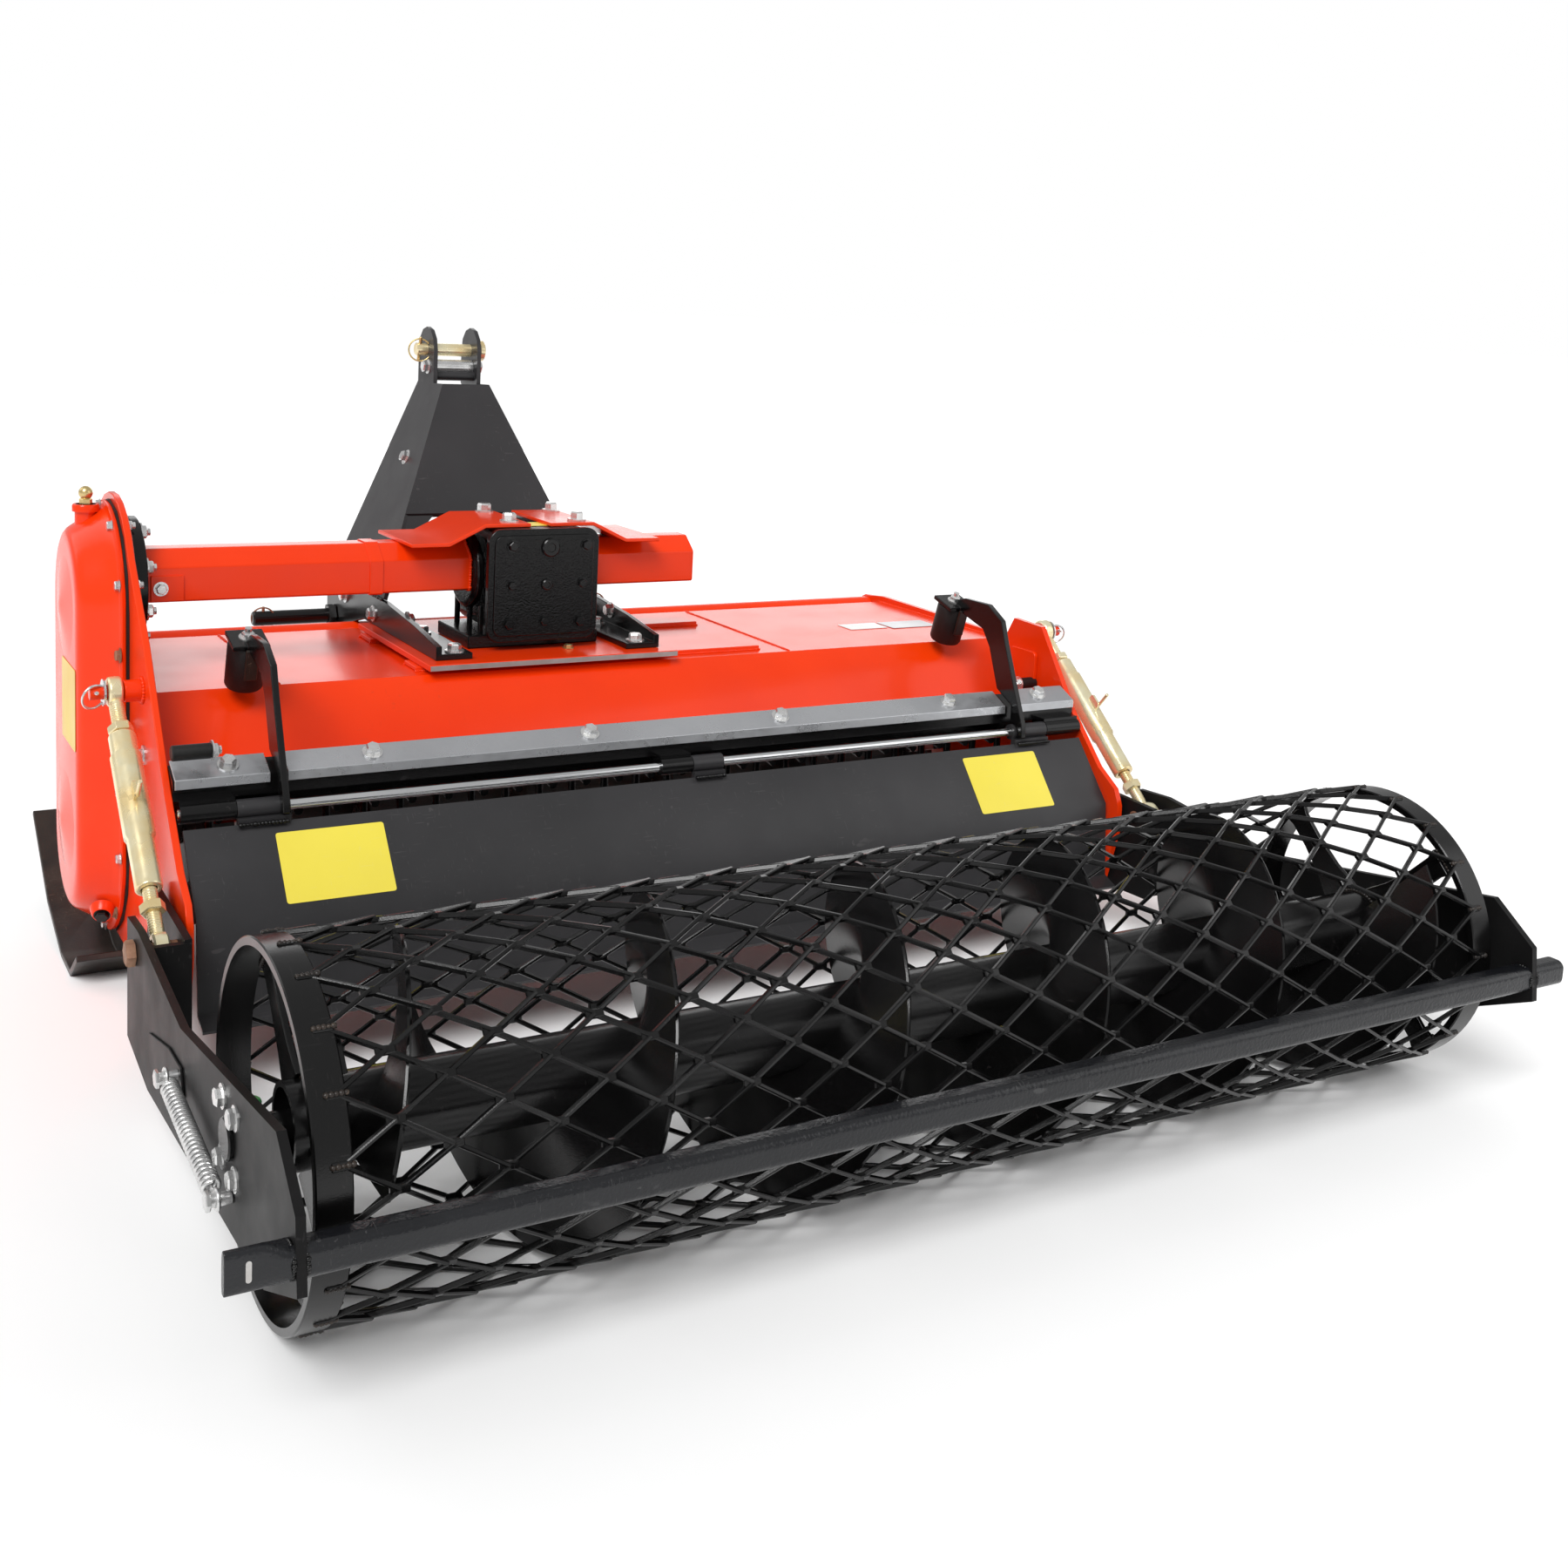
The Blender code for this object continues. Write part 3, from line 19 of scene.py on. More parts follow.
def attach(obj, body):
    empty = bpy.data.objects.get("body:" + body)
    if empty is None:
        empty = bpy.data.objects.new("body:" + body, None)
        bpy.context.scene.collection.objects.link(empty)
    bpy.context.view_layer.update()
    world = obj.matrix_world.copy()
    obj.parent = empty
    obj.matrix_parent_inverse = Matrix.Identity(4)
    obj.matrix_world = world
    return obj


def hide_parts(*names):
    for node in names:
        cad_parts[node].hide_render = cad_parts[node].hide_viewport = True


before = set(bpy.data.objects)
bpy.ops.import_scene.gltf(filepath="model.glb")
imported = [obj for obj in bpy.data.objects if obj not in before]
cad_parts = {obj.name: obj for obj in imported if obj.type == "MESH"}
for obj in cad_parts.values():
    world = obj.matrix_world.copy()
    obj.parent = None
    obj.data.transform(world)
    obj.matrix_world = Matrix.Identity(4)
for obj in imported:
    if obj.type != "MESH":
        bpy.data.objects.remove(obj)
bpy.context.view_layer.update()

log = logging.getLogger("stone_burier")

MACHINE_Y = 0.28225  # the frame's y of the machine's y = 0
FULL_TURN = math.tau
SMOOTH_ANGLE = math.radians(38)
FLAT_ANGLE = math.radians(0.5)
JOIN_DISTANCE = 0.00001
SEED = 7

Point = tuple[float, float, float]
Pair = tuple[float, float]
Colour = tuple[float, float, float]


class Side(enum.Enum):
    """The machine's left and right, with the sign of X."""

    LEFT = -1
    RIGHT = 1

    @property
    def tag(self) -> str:
        """The word in the names of pieces and CAD nodes."""
        return self.name.lower()


class Surface(enum.Enum):
    """What a finish is made of, which picks its texture."""

    ENAMEL = "enamel"
    CAST = "cast"
    PLATED = "plated"
    GALVANISED = "galvanised"
    RUBBER = "rubber"
    PRINTED = "printed"


# Nodes


def put_node(
    tree: bpy.types.NodeTree, kind: str, inputs: dict | None = None, **settings: object
) -> bpy.types.Node:
    """Adds a node to a shader tree or a geometry tree.

    Args:
        tree: The tree.
        kind: The node's type.
        inputs: A value or another node's output for an input's name or number.
        **settings: The node's own settings.

    Returns:
        The node.
    """
    node = tree.nodes.new(kind)
    for key, value in settings.items():
        setattr(node, key, value)
    for key, value in (inputs or {}).items():
        if isinstance(value, bpy.types.NodeSocket):
            tree.links.new(value, node.inputs[key])
        else:
            node.inputs[key].default_value = value
    return node


class EffectGroup:
    """A shader node group that several finishes share."""

    def __init__(self, name: str, inputs: dict[str, object], outputs: Sequence[str]) -> None:
        """Makes the group with its sockets.

        Args:
            name: The group's name.
            inputs: Each input's value: a colour, a number, or None for a vector.
            outputs: The outputs, of which one named Color is a colour and the others are numbers.
        """
        self.tree = bpy.data.node_groups.new(name, "ShaderNodeTree")
        for label, value in inputs.items():
            kind = "Vector" if value is None else "Float" if isinstance(value, float) else "Color"
            socket = self.tree.interface.new_socket(
                label, in_out="INPUT", socket_type=f"NodeSocket{kind}"
            )
            if kind == "Color":
                socket.default_value = (*value, 1.0)
            elif kind == "Float":
                socket.default_value = value
        for label in outputs:
            kind = "Color" if label == "Color" else "Float"
            self.tree.interface.new_socket(label, in_out="OUTPUT", socket_type=f"NodeSocket{kind}")
        self.given = self.tree.nodes.new("NodeGroupInput").outputs
        self.end = self.tree.nodes.new("NodeGroupOutput")

    def put(self, kind: str, inputs: dict | None = None, **settings: object) -> bpy.types.Node:
        """Adds a node to the group, as put_node does."""
        return put_node(self.tree, kind, inputs, **settings)

    def noise(self, scale: object, detail: float = 3.0, vector: object = None) -> object:
        """A noise texture's value.

        Args:
            scale: The texture's scale, or a socket that gives it.
            detail: The number of finer layers.
            vector: The place it is read at, or None for the group's own vector.

        Returns:
            The output socket.
        """
        place = self.given["Vector"] if vector is None else vector
        node = self.put("ShaderNodeTexNoise", {"Vector": place, "Scale": scale, "Detail": detail})
        return node.outputs["Fac"]

    def spread(self, value: object, low: float, high: float, to: Pair = (0.0, 1.0)) -> object:
        """Maps the range from low to high of a value to another range.

        Args:
            value: The value.
            low: The low end of its range.
            high: The high end of its range.
            to: The range it is mapped to.

        Returns:
            The mapped value.
        """
        node = self.put(
            "ShaderNodeMapRange",
            {"Value": value, "From Min": low, "From Max": high, "To Min": to[0], "To Max": to[1]},
        )
        return node.outputs["Result"]

    def reckon(self, kind: str, first: object, second: object) -> object:
        """A Math node's result for two numbers or sockets."""
        return self.put("ShaderNodeMath", {0: first, 1: second}, operation=kind).outputs[0]

    def blend(self, share: object, first: object, second: object) -> object:
        """A mix of two colours.

        Args:
            share: The share of the second colour.
            first: The first colour's socket.
            second: The second colour's socket.

        Returns:
            The output socket.
        """
        node = self.put("ShaderNodeMix", data_type="RGBA")
        sockets = [socket for socket in node.inputs if socket.enabled]
        for socket, value in zip(sockets, (share, first, second)):
            if isinstance(value, bpy.types.NodeSocket):
                self.tree.links.new(value, socket)
            else:
                socket.default_value = value
        return next(socket for socket in node.outputs if socket.enabled)

    def give(self, label: str, socket: object) -> None:
        """Links a socket to one of the group's outputs."""
        self.tree.links.new(socket, self.end.inputs[label])


def tone_group() -> EffectGroup:
    """A slow drift between two tones of one colour.

    Returns:
        The group.
    """
    group = EffectGroup(
        "uneven_tone",
        {"Vector": None, "Tone": (0.5, 0.5, 0.5), "Second Tone": (0.4, 0.4, 0.4), "Scale": 5.0},
        ["Color", "Mask"],
    )
    mask = group.spread(group.noise(group.given["Scale"], 5.0), 0.36, 0.66)
    group.give("Color", group.blend(mask, group.given["Tone"], group.given["Second Tone"]))
    group.give("Mask", mask)
    return group


def grain_group() -> EffectGroup:
    """The skin of a painted, cast or plated surface, as a height and a roughness.

    Returns:
        The group.
    """
    group = EffectGroup(
        "surface_grain",
        {
            "Vector": None, "Fine Scale": 900.0, "Broad Scale": 60.0, "Broad Share": 0.5,
            "Roughness": 0.3, "Spread": 0.08,
        },
        ["Height", "Roughness"],
    )
    fine = group.noise(group.given["Fine Scale"], 2.0)
    broad = group.noise(group.given["Broad Scale"], 2.0)
    waves = group.reckon("MULTIPLY", broad, group.given["Broad Share"])
    group.give("Height", group.reckon("ADD", fine, waves))
    smear = group.spread(group.noise(14.0, 6.0), 0.3, 0.7, (-0.5, 0.5))
    change = group.reckon("MULTIPLY", smear, group.given["Spread"])
    group.give("Roughness", group.reckon("ADD", change, group.given["Roughness"]))
    return group


def dust_group() -> EffectGroup:
    """Pale dust that gathers towards the ground.

    Returns:
        The group.
    """
    group = EffectGroup(
        "settled_dust",
        {
            "Vector": None, "Color": (0.5, 0.5, 0.5), "Dust": (0.42, 0.38, 0.33), "Amount": 0.2,
            "Reach": 0.35,
        },
        ["Color", "Mask"],
    )
    height = group.put("ShaderNodeSeparateXYZ", {0: group.given["Vector"]}).outputs["Z"]
    share = group.reckon("DIVIDE", height, group.given["Reach"])
    low = group.spread(share, 0.0, 1.0, (1.0, 0.15))
    patches = group.spread(group.noise(22.0, 8.0), 0.45, 0.75)
    specks = group.spread(group.noise(260.0, 3.0), 0.5, 0.75, (0.35, 1.0))
    mask = group.reckon("MULTIPLY", group.reckon("MULTIPLY", low, patches), specks)
    mask = group.reckon("MULTIPLY", mask, group.given["Amount"])
    group.give("Color", group.blend(mask, group.given["Color"], group.given["Dust"]))
    group.give("Mask", mask)
    return group


def scratch_group() -> EffectGroup:
    """Short scratches and chips that show what lies under the finish.

    Returns:
        The group.
    """
    group = EffectGroup(
        "scratches",
        {"Vector": None, "Color": (0.5, 0.5, 0.5), "Under": (0.3, 0.3, 0.3), "Amount": 0.1},
        ["Color", "Mask"],
    )
    masks = []
    for stretch, turn in (((40.0, 900.0, 60.0), 0.5), ((700.0, 50.0, 90.0), 0.9)):
        place = group.put(
            "ShaderNodeMapping",
            {"Vector": group.given["Vector"], "Rotation": (0.3, turn, 0.7), "Scale": stretch},
        ).outputs[0]
        masks.append(group.spread(group.noise(1.0, 1.0, place), 0.7, 0.74))
    chips = group.spread(group.noise(130.0, 2.0), 0.71, 0.73)
    marks = group.reckon("MAXIMUM", group.reckon("MAXIMUM", *masks), chips)
    where = group.spread(group.noise(9.0, 2.0), 0.48, 0.62)
    mask = group.reckon("MULTIPLY", group.reckon("MULTIPLY", marks, where), group.given["Amount"])
    group.give("Color", group.blend(mask, group.given["Color"], group.given["Under"]))
    group.give("Mask", mask)
    return group


def spangle_group() -> EffectGroup:
    """The crystals and soft stripes of a zinc coat.

    Returns:
        The group.
    """
    group = EffectGroup(
        "zinc_spangle",
        {
            "Vector": None, "Color": (0.6, 0.6, 0.6), "Dark": (0.4, 0.4, 0.4), "Scale": 160.0,
            "Share": 0.5, "Roughness": 0.35,
        },
        ["Color", "Roughness"],
    )
    cells = group.put(
        "ShaderNodeTexVoronoi", {"Vector": group.given["Vector"], "Scale": group.given["Scale"]}
    )
    value = group.put("ShaderNodeSeparateColor", {0: cells.outputs["Color"]}).outputs[0]
    cloud = group.spread(group.noise(30.0, 5.0), 0.35, 0.65)
    mixed = group.reckon("MULTIPLY", group.reckon("ADD", value, cloud), 0.5)
    share = group.reckon("MULTIPLY", mixed, group.given["Share"])
    group.give("Color", group.blend(share, group.given["Color"], group.given["Dark"]))
    change = group.spread(mixed, 0.0, 1.0, (-0.1, 0.12))
    group.give("Roughness", group.reckon("ADD", change, group.given["Roughness"]))
    return group


EFFECTS = {
    "tone": tone_group(), "grain": grain_group(), "dust": dust_group(), "scratch": scratch_group(),
    "spangle": spangle_group(),
}


# Finishes

SPANGLE_SCALE = {Surface.GALVANISED: 150.0, Surface.PLATED: 90.0}
SPANGLE_SHARE = 0.3
COAT_ROUGHNESS = 0.06
GRAIN_HEIGHT = 0.001


@dataclass(frozen=True)
class Finish:
    """One finish of the machine: its colours, its gloss and how worn it is."""

    name: str
    slot: str | None
    surface: Surface
    tone: Colour
    second: Colour
    metallic: float = 0.0
    roughness: float = 0.3
    coat: float = 0.0
    grain_depth: float = 0.1
    fine_scale: float = 800.0
    broad_scale: float = 70.0
    dust: float = 0.12
    dust_tone: Colour = (0.4, 0.36, 0.31)
    wear: float = 0.2
    specular: float = 0.5
    under: Colour = (0.2, 0.19, 0.18)
    tone_scale: float = 5.0

    def material(self) -> bpy.types.Material:
        """The finish's material, made the first time it is asked for."""
        found = bpy.data.materials.get(self.name)
        return found or self._make()

    def _group(
        self, tree: bpy.types.NodeTree, effect: str, inputs: dict[str, object]
    ) -> bpy.types.Node:
        """Places an effect group in the material.

        Args:
            tree: The material's tree.
            effect: The group's key in EFFECTS.
            inputs: Values and sockets for the group's inputs.

        Returns:
            The group's node.
        """
        node = tree.nodes.new("ShaderNodeGroup")
        node.node_tree = EFFECTS[effect].tree
        for label, value in inputs.items():
            if isinstance(value, bpy.types.NodeSocket):
                tree.links.new(value, node.inputs[label])
            elif isinstance(value, tuple):
                node.inputs[label].default_value = (*value, 1.0)
            else:
                node.inputs[label].default_value = value
        return node

    def _make(self) -> bpy.types.Material:
        """Builds the material's nodes.

        Returns:
            The material.
        """
        material = bpy.data.materials.new(self.name)
        material.use_nodes = True
        material.diffuse_color = (*self.tone, 1.0)
        tree = material.node_tree
        shader = tree.nodes["Principled BSDF"]
        place = tree.nodes.new("ShaderNodeTexCoord").outputs["Object"]
        tones = {"Vector": place, "Tone": self.tone, "Second Tone": self.second}
        tone = self._group(tree, "tone", tones | {"Scale": self.tone_scale})
        colour = tone.outputs["Color"]
        skin = self._group(
            tree, "grain",
            {
                "Vector": place, "Fine Scale": self.fine_scale, "Broad Scale": self.broad_scale,
                "Roughness": self.roughness, "Spread": 0.25 * self.roughness + 0.04,
            },
        )
        gloss = skin.outputs["Roughness"]
        scale = SPANGLE_SCALE.get(self.surface)
        if scale:
            coat = {"Vector": place, "Color": colour, "Dark": self.second, "Scale": scale}
            coat |= {"Share": SPANGLE_SHARE, "Roughness": self.roughness}
            spangle = self._group(tree, "spangle", coat)
            colour, gloss = spangle.outputs["Color"], spangle.outputs["Roughness"]
        if self.wear:
            marks = {"Vector": place, "Color": colour, "Under": self.under, "Amount": self.wear}
            colour = self._group(tree, "scratch", marks).outputs["Color"]
        if self.dust:
            dirt = {"Vector": place, "Color": colour, "Dust": self.dust_tone}
            colour = self._group(tree, "dust", dirt | {"Amount": self.dust}).outputs["Color"]
        tree.links.new(colour, shader.inputs["Base Color"])
        tree.links.new(gloss, shader.inputs["Roughness"])
        shader.inputs["Metallic"].default_value = self.metallic
        shader.inputs["Specular IOR Level"].default_value = self.specular
        shader.inputs["Coat Weight"].default_value = self.coat
        shader.inputs["Coat Roughness"].default_value = COAT_ROUGHNESS
        bump = put_node(
            tree, "ShaderNodeBump",
            {
                "Height": skin.outputs["Height"], "Strength": self.grain_depth,
                "Distance": GRAIN_HEIGHT
            },
        )
        tree.links.new(bump.outputs["Normal"], shader.inputs["Normal"])
        return material


ORANGE = Finish(
    "orange_enamel", "orange_paint", Surface.ENAMEL, (0.84, 0.043, 0.002), (0.78, 0.036, 0.002),
    roughness=0.21, coat=0.06, specular=0.26, dust=0.04, wear=0.1, under=(0.3, 0.06, 0.03),
    grain_depth=0.04,
)
CHARCOAL = Finish(
    "charcoal_satin", "charcoal_paint", Surface.ENAMEL, (0.03, 0.029, 0.031),
    (0.023, 0.0225, 0.024), roughness=0.36, specular=0.38, dust=0.07, wear=0.22,
    under=(0.13, 0.12, 0.12), fine_scale=1100.0, dust_tone=(0.2, 0.19, 0.18),
)
CHARCOAL_ARM = Finish(
    "charcoal_arm", "charcoal_paint", Surface.ENAMEL, (0.009, 0.0088, 0.009),
    (0.007, 0.0068, 0.007), roughness=0.42, specular=0.12, dust=0.06, wear=0.22,
    under=(0.13, 0.12, 0.12), fine_scale=1100.0, dust_tone=(0.16, 0.15, 0.14),
)
BLACK = Finish(
    "black_enamel", "black_paint", Surface.ENAMEL, (0.0038, 0.0036, 0.0038), (0.003, 0.003, 0.003),
    roughness=0.19, specular=0.36, dust=0.02, wear=0.12, under=(0.08, 0.07, 0.07),
    dust_tone=(0.16, 0.15, 0.14),
)
BLACK_WORN = Finish(
    "black_worn", "black_paint", Surface.ENAMEL, (0.01, 0.0085, 0.008), (0.026, 0.017, 0.012),
    roughness=0.36, specular=0.4, dust=0.25, wear=0.6, under=(0.15, 0.11, 0.08), grain_depth=0.22,
    tone_scale=14.0, dust_tone=(0.2, 0.17, 0.14),
)
BLACK_CAST = Finish(
    "black_casting", "cast_black", Surface.CAST, (0.003, 0.003, 0.0033), (0.004, 0.004, 0.004),
    roughness=0.2, specular=0.3, fine_scale=420.0, broad_scale=110.0, grain_depth=0.4, dust=0.04,
    wear=0.08,
)
BLACK_SCUFFED = Finish(
    "black_scuffed", "black_paint", Surface.ENAMEL, (0.0045, 0.005, 0.0065), (0.0075, 0.008, 0.01),
    roughness=0.27, specular=0.45, fine_scale=300.0, broad_scale=90.0, grain_depth=0.6, dust=0.05,
    wear=0.3, under=(0.1, 0.1, 0.1), dust_tone=(0.16, 0.16, 0.16), tone_scale=12.0,
)
CASTING = Finish(
    "grey_casting", "casting", Surface.CAST, (0.15, 0.165, 0.13), (0.1, 0.105, 0.088),
    metallic=0.35, roughness=0.5, fine_scale=380.0, broad_scale=120.0, grain_depth=0.45, dust=0.35,
    wear=0.3, under=(0.3, 0.27, 0.22), tone_scale=22.0,
)
ZINC = Finish(
    "zinc_sheet", "zinc", Surface.GALVANISED, (0.56, 0.57, 0.59), (0.44, 0.45, 0.47), metallic=0.82,
    roughness=0.32, grain_depth=0.06, dust=0.08, wear=0.12,
)
ZINC_BOLT = Finish(
    "zinc_bolts", "zinc", Surface.PLATED, (0.84, 0.84, 0.83), (0.6, 0.6, 0.6), metallic=0.85,
    roughness=0.22, grain_depth=0.05, dust=0.05, wear=0.1, tone_scale=40.0,
)
RUSTY_BOLT = Finish(
    "rusty_bolts", "zinc", Surface.PLATED, (0.36, 0.2, 0.12), (0.2, 0.09, 0.05), metallic=0.4,
    roughness=0.6, grain_depth=0.4, fine_scale=500.0, tone_scale=60.0,
)
YELLOW_ZINC = Finish(
    "yellow_zinc_steel", "yellow_zinc", Surface.PLATED, (0.92, 0.88, 0.64), (0.84, 0.66, 0.34),
    metallic=0.66, roughness=0.22, grain_depth=0.02, dust=0.04, wear=0.08, under=(0.62, 0.62, 0.6),
    tone_scale=22.0, dust_tone=(0.46, 0.26, 0.12),
)
CHROME = Finish(
    "bright_rod", "chrome", Surface.PLATED, (0.8, 0.81, 0.82), (0.62, 0.63, 0.64), metallic=1.0,
    roughness=0.14, grain_depth=0.02, dust=0.05, wear=0.1,
)
RUBBER = Finish(
    "black_rubber", "rubber", Surface.RUBBER, (0.005, 0.005, 0.005), (0.009, 0.009, 0.009),
    roughness=0.5, specular=0.35, fine_scale=650.0, grain_depth=0.3, dust=0.2, wear=0.1,
    under=(0.05, 0.05, 0.05),
)
BRASS = Finish(
    "brass", "brass", Surface.PLATED, (0.78, 0.56, 0.24), (0.62, 0.42, 0.16), metallic=0.95,
    roughness=0.24, grain_depth=0.04, dust=0.05, wear=0.1,
)
BARE_STEEL = Finish(
    "bare_steel", None, Surface.PLATED, (0.62, 0.61, 0.6), (0.44, 0.42, 0.4), metallic=0.75,
    roughness=0.4, grain_depth=0.12, dust=0.15, wear=0.3, tone_scale=30.0,
)
YELLOW_LABEL = Finish(
    "yellow_label", None, Surface.PRINTED, (0.86, 0.72, 0.07), (0.8, 0.66, 0.06), roughness=0.4,
    coat=0.2, grain_depth=0.03, dust=0.06, wear=0.1, under=(0.7, 0.66, 0.5),
)
FADED_LABEL = Finish(
    "faded_label", None, Surface.PRINTED, (0.8, 0.66, 0.16), (0.74, 0.46, 0.14), roughness=0.45,
    grain_depth=0.03, dust=0.1, wear=0.3, under=(0.75, 0.45, 0.25),
)
PALE_LABEL = Finish(
    "pale_label", None, Surface.PRINTED, (0.78, 0.78, 0.76), (0.7, 0.7, 0.68), roughness=0.38,
    grain_depth=0.03, dust=0.06, wear=0.05,
)
PLATE_BLANK = Finish(
    "blank_plate", None, Surface.PRINTED, (0.52, 0.53, 0.54), (0.44, 0.45, 0.46), metallic=0.8,
    roughness=0.34, grain_depth=0.04, dust=0.05, wear=0.15,
)
GREEN_CAP = Finish(
    "green_cap", None, Surface.RUBBER, (0.05, 0.33, 0.1), (0.04, 0.25, 0.08), roughness=0.4,
    grain_depth=0.05, dust=0.2, wear=0.05, under=(0.2, 0.3, 0.2),
)


# Geometry Nodes


class GrowTree:
    """A Geometry Nodes tree with named inputs that makes what repeats."""

    def __init__(self, name: str, inputs: dict[str, object]) -> None:
        """Starts the tree.

        Args:
            name: The tree's name.
            inputs: The named inputs with their values: a float or an int. A Material input
                named Finish is added to them.
        """
        self.tree = bpy.data.node_groups.new(name, "GeometryNodeTree")
        face = self.tree.interface
        face.new_socket("Geometry", in_out="INPUT", socket_type="NodeSocketGeometry")
        face.new_socket("Geometry", in_out="OUTPUT", socket_type="NodeSocketGeometry")
        for label, value in inputs.items():
            kind = "NodeSocketInt" if isinstance(value, int) else "NodeSocketFloat"
            face.new_socket(label, in_out="INPUT", socket_type=kind).default_value = value
        face.new_socket("Finish", in_out="INPUT", socket_type="NodeSocketMaterial")
        self.given = self.tree.nodes.new("NodeGroupInput").outputs
        self.end = self.tree.nodes.new("NodeGroupOutput")

    def put(self, kind: str, inputs: dict | None = None, **settings: object) -> object:
        """Adds a node and returns its first output that is in use.

        Args:
            kind: The node's type without its "GeometryNode" start, or its whole type.
            inputs: Values and sockets for the node's inputs.
            **settings: The node's own settings.

        Returns:
            The output socket.
        """
        whole = kind if kind.startswith(("FunctionNode", "ShaderNode")) else f"GeometryNode{kind}"
        node = put_node(self.tree, whole, inputs, **settings)
        return next(socket for socket in node.outputs if socket.enabled)

    def math(self, kind: str, first: object, second: object = 0.0) -> object:
        """A Math node's result for two numbers or sockets."""
        return self.put("ShaderNodeMath", {0: first, 1: second}, operation=kind)

    def vector(self, x: object = 0.0, y: object = 0.0, z: object = 0.0) -> object:
        """A vector of three numbers or sockets."""
        return self.put("ShaderNodeCombineXYZ", {0: x, 1: y, 2: z})

    def join(self, *parts: object) -> object:
        """Joins several geometries.

        Args:
            *parts: The geometries.

        Returns:
            The joined geometry.
        """
        node = self.tree.nodes.new("GeometryNodeJoinGeometry")
        for part in parts:
            self.tree.links.new(part, node.inputs[0])
        return node.outputs[0]

    def close(self, geometry: object, smooth: bool) -> None:
        """Ends the tree with Realize Instances, shading and Set Material.

        Args:
            geometry: What the tree has made.
            smooth: Whether its faces shade smoothly.
        """
        real = self.put("RealizeInstances", {0: geometry})
        shaded = self.put("SetShadeSmooth", {"Geometry": real, "Shade Smooth": smooth})
        done = self.put("SetMaterial", {"Geometry": shaded, "Material": self.given["Finish"]})
        self.tree.links.new(done, self.end.inputs[0])

    def grow(
        self, base: bpy.types.Mesh, values: dict[str, object], finish: Finish
    ) -> bpy.types.Mesh:
        """Runs the tree on a mesh.

        Args:
            base: The mesh whose points or edges the tree uses.
            values: The named inputs that differ from the tree's own values.
            finish: The finish of what it makes.

        Returns:
            A plain mesh.
        """
        holder = bpy.data.objects.new("holder", base)
        bpy.context.scene.collection.objects.link(holder)
        modifier = holder.modifiers.new("grow", "NODES")
        modifier.node_group = self.tree
        sockets = {
            item.name: item.identifier
            for item in self.tree.interface.items_tree if item.in_out == "INPUT"
        }
        for label, value in {**values, "Finish": finish.material()}.items():
            modifier[sockets[label]] = value
        bpy.context.view_layer.update()
        graph = bpy.context.evaluated_depsgraph_get()
        mesh = bpy.data.meshes.new_from_object(holder.evaluated_get(graph))
        bpy.data.objects.remove(holder)
        return mesh


def screw_tree() -> GrowTree:
    """Hex heads with washers on points, each turned to its point's facing.

    Returns:
        The tree.
    """
    grow = GrowTree(
        "hex_screws",
        {
            "Head Radius": 0.008, "Head Height": 0.006, "Washer Radius": 0.01,
            "Washer Height": 0.0016, "Stud Radius": 0.0045, "Stud Height": 0.0, "Seed": SEED,
        },
    )
    given = grow.given

    def drum(sides: int, radius: object, top: object, height: object, low: object) -> object:
        """A cone frustum that stands at a height.

        Args:
            sides: The number of faces round it.
            radius: The radius of its foot.
            top: The radius of its top.
            height: Its height.
            low: The height that it stands at.

        Returns:
            The mesh.
        """
        cone = grow.put(
            "MeshCone",
            {"Vertices": sides, "Radius Top": top, "Radius Bottom": radius, "Depth": height},
        )
        return grow.put("Transform", {"Geometry": cone, "Translation": grow.vector(z=low)})

    washer = drum(20, given["Washer Radius"], given["Washer Radius"], given["Washer Height"], 0.0)
    body_height = grow.math("MULTIPLY", given["Head Height"], 0.78)
    body = drum(6, given["Head Radius"], given["Head Radius"], body_height, given["Washer Height"])
    crown_low = grow.math("ADD", given["Washer Height"], body_height)
    crown_top = grow.math("MULTIPLY", given["Head Radius"], 0.84)
    crown_height = grow.math("MULTIPLY", given["Head Height"], 0.22)
    crown = drum(6, given["Head Radius"], crown_top, crown_height, crown_low)
    stud_height = grow.math("MULTIPLY", given["Head Height"], 0.92)
    stud_height = grow.math("ADD", given["Stud Height"], stud_height)
    stud = drum(12, given["Stud Radius"], given["Stud Radius"], stud_height, given["Washer Height"])
    whole = grow.join(washer, body, crown, stud)
    facing = grow.put("InputNamedAttribute", {"Name": "facing"}, data_type="FLOAT_VECTOR")
    size = grow.put("InputNamedAttribute", {"Name": "size"}, data_type="FLOAT")
    turn = grow.put("FunctionNodeAlignRotationToVector", {"Vector": facing}, axis="Z")
    placed = grow.put(
        "InstanceOnPoints",
        {"Points": given["Geometry"], "Instance": whole, "Rotation": turn, "Scale": size},
    )
    spin = grow.put("FunctionNodeRandomValue", {3: 1.05, "Seed": given["Seed"]}, data_type="FLOAT")
    spun = grow.put("RotateInstances", {"Instances": placed, "Rotation": grow.vector(z=spin)})
    grow.close(spun, smooth=False)
    return grow


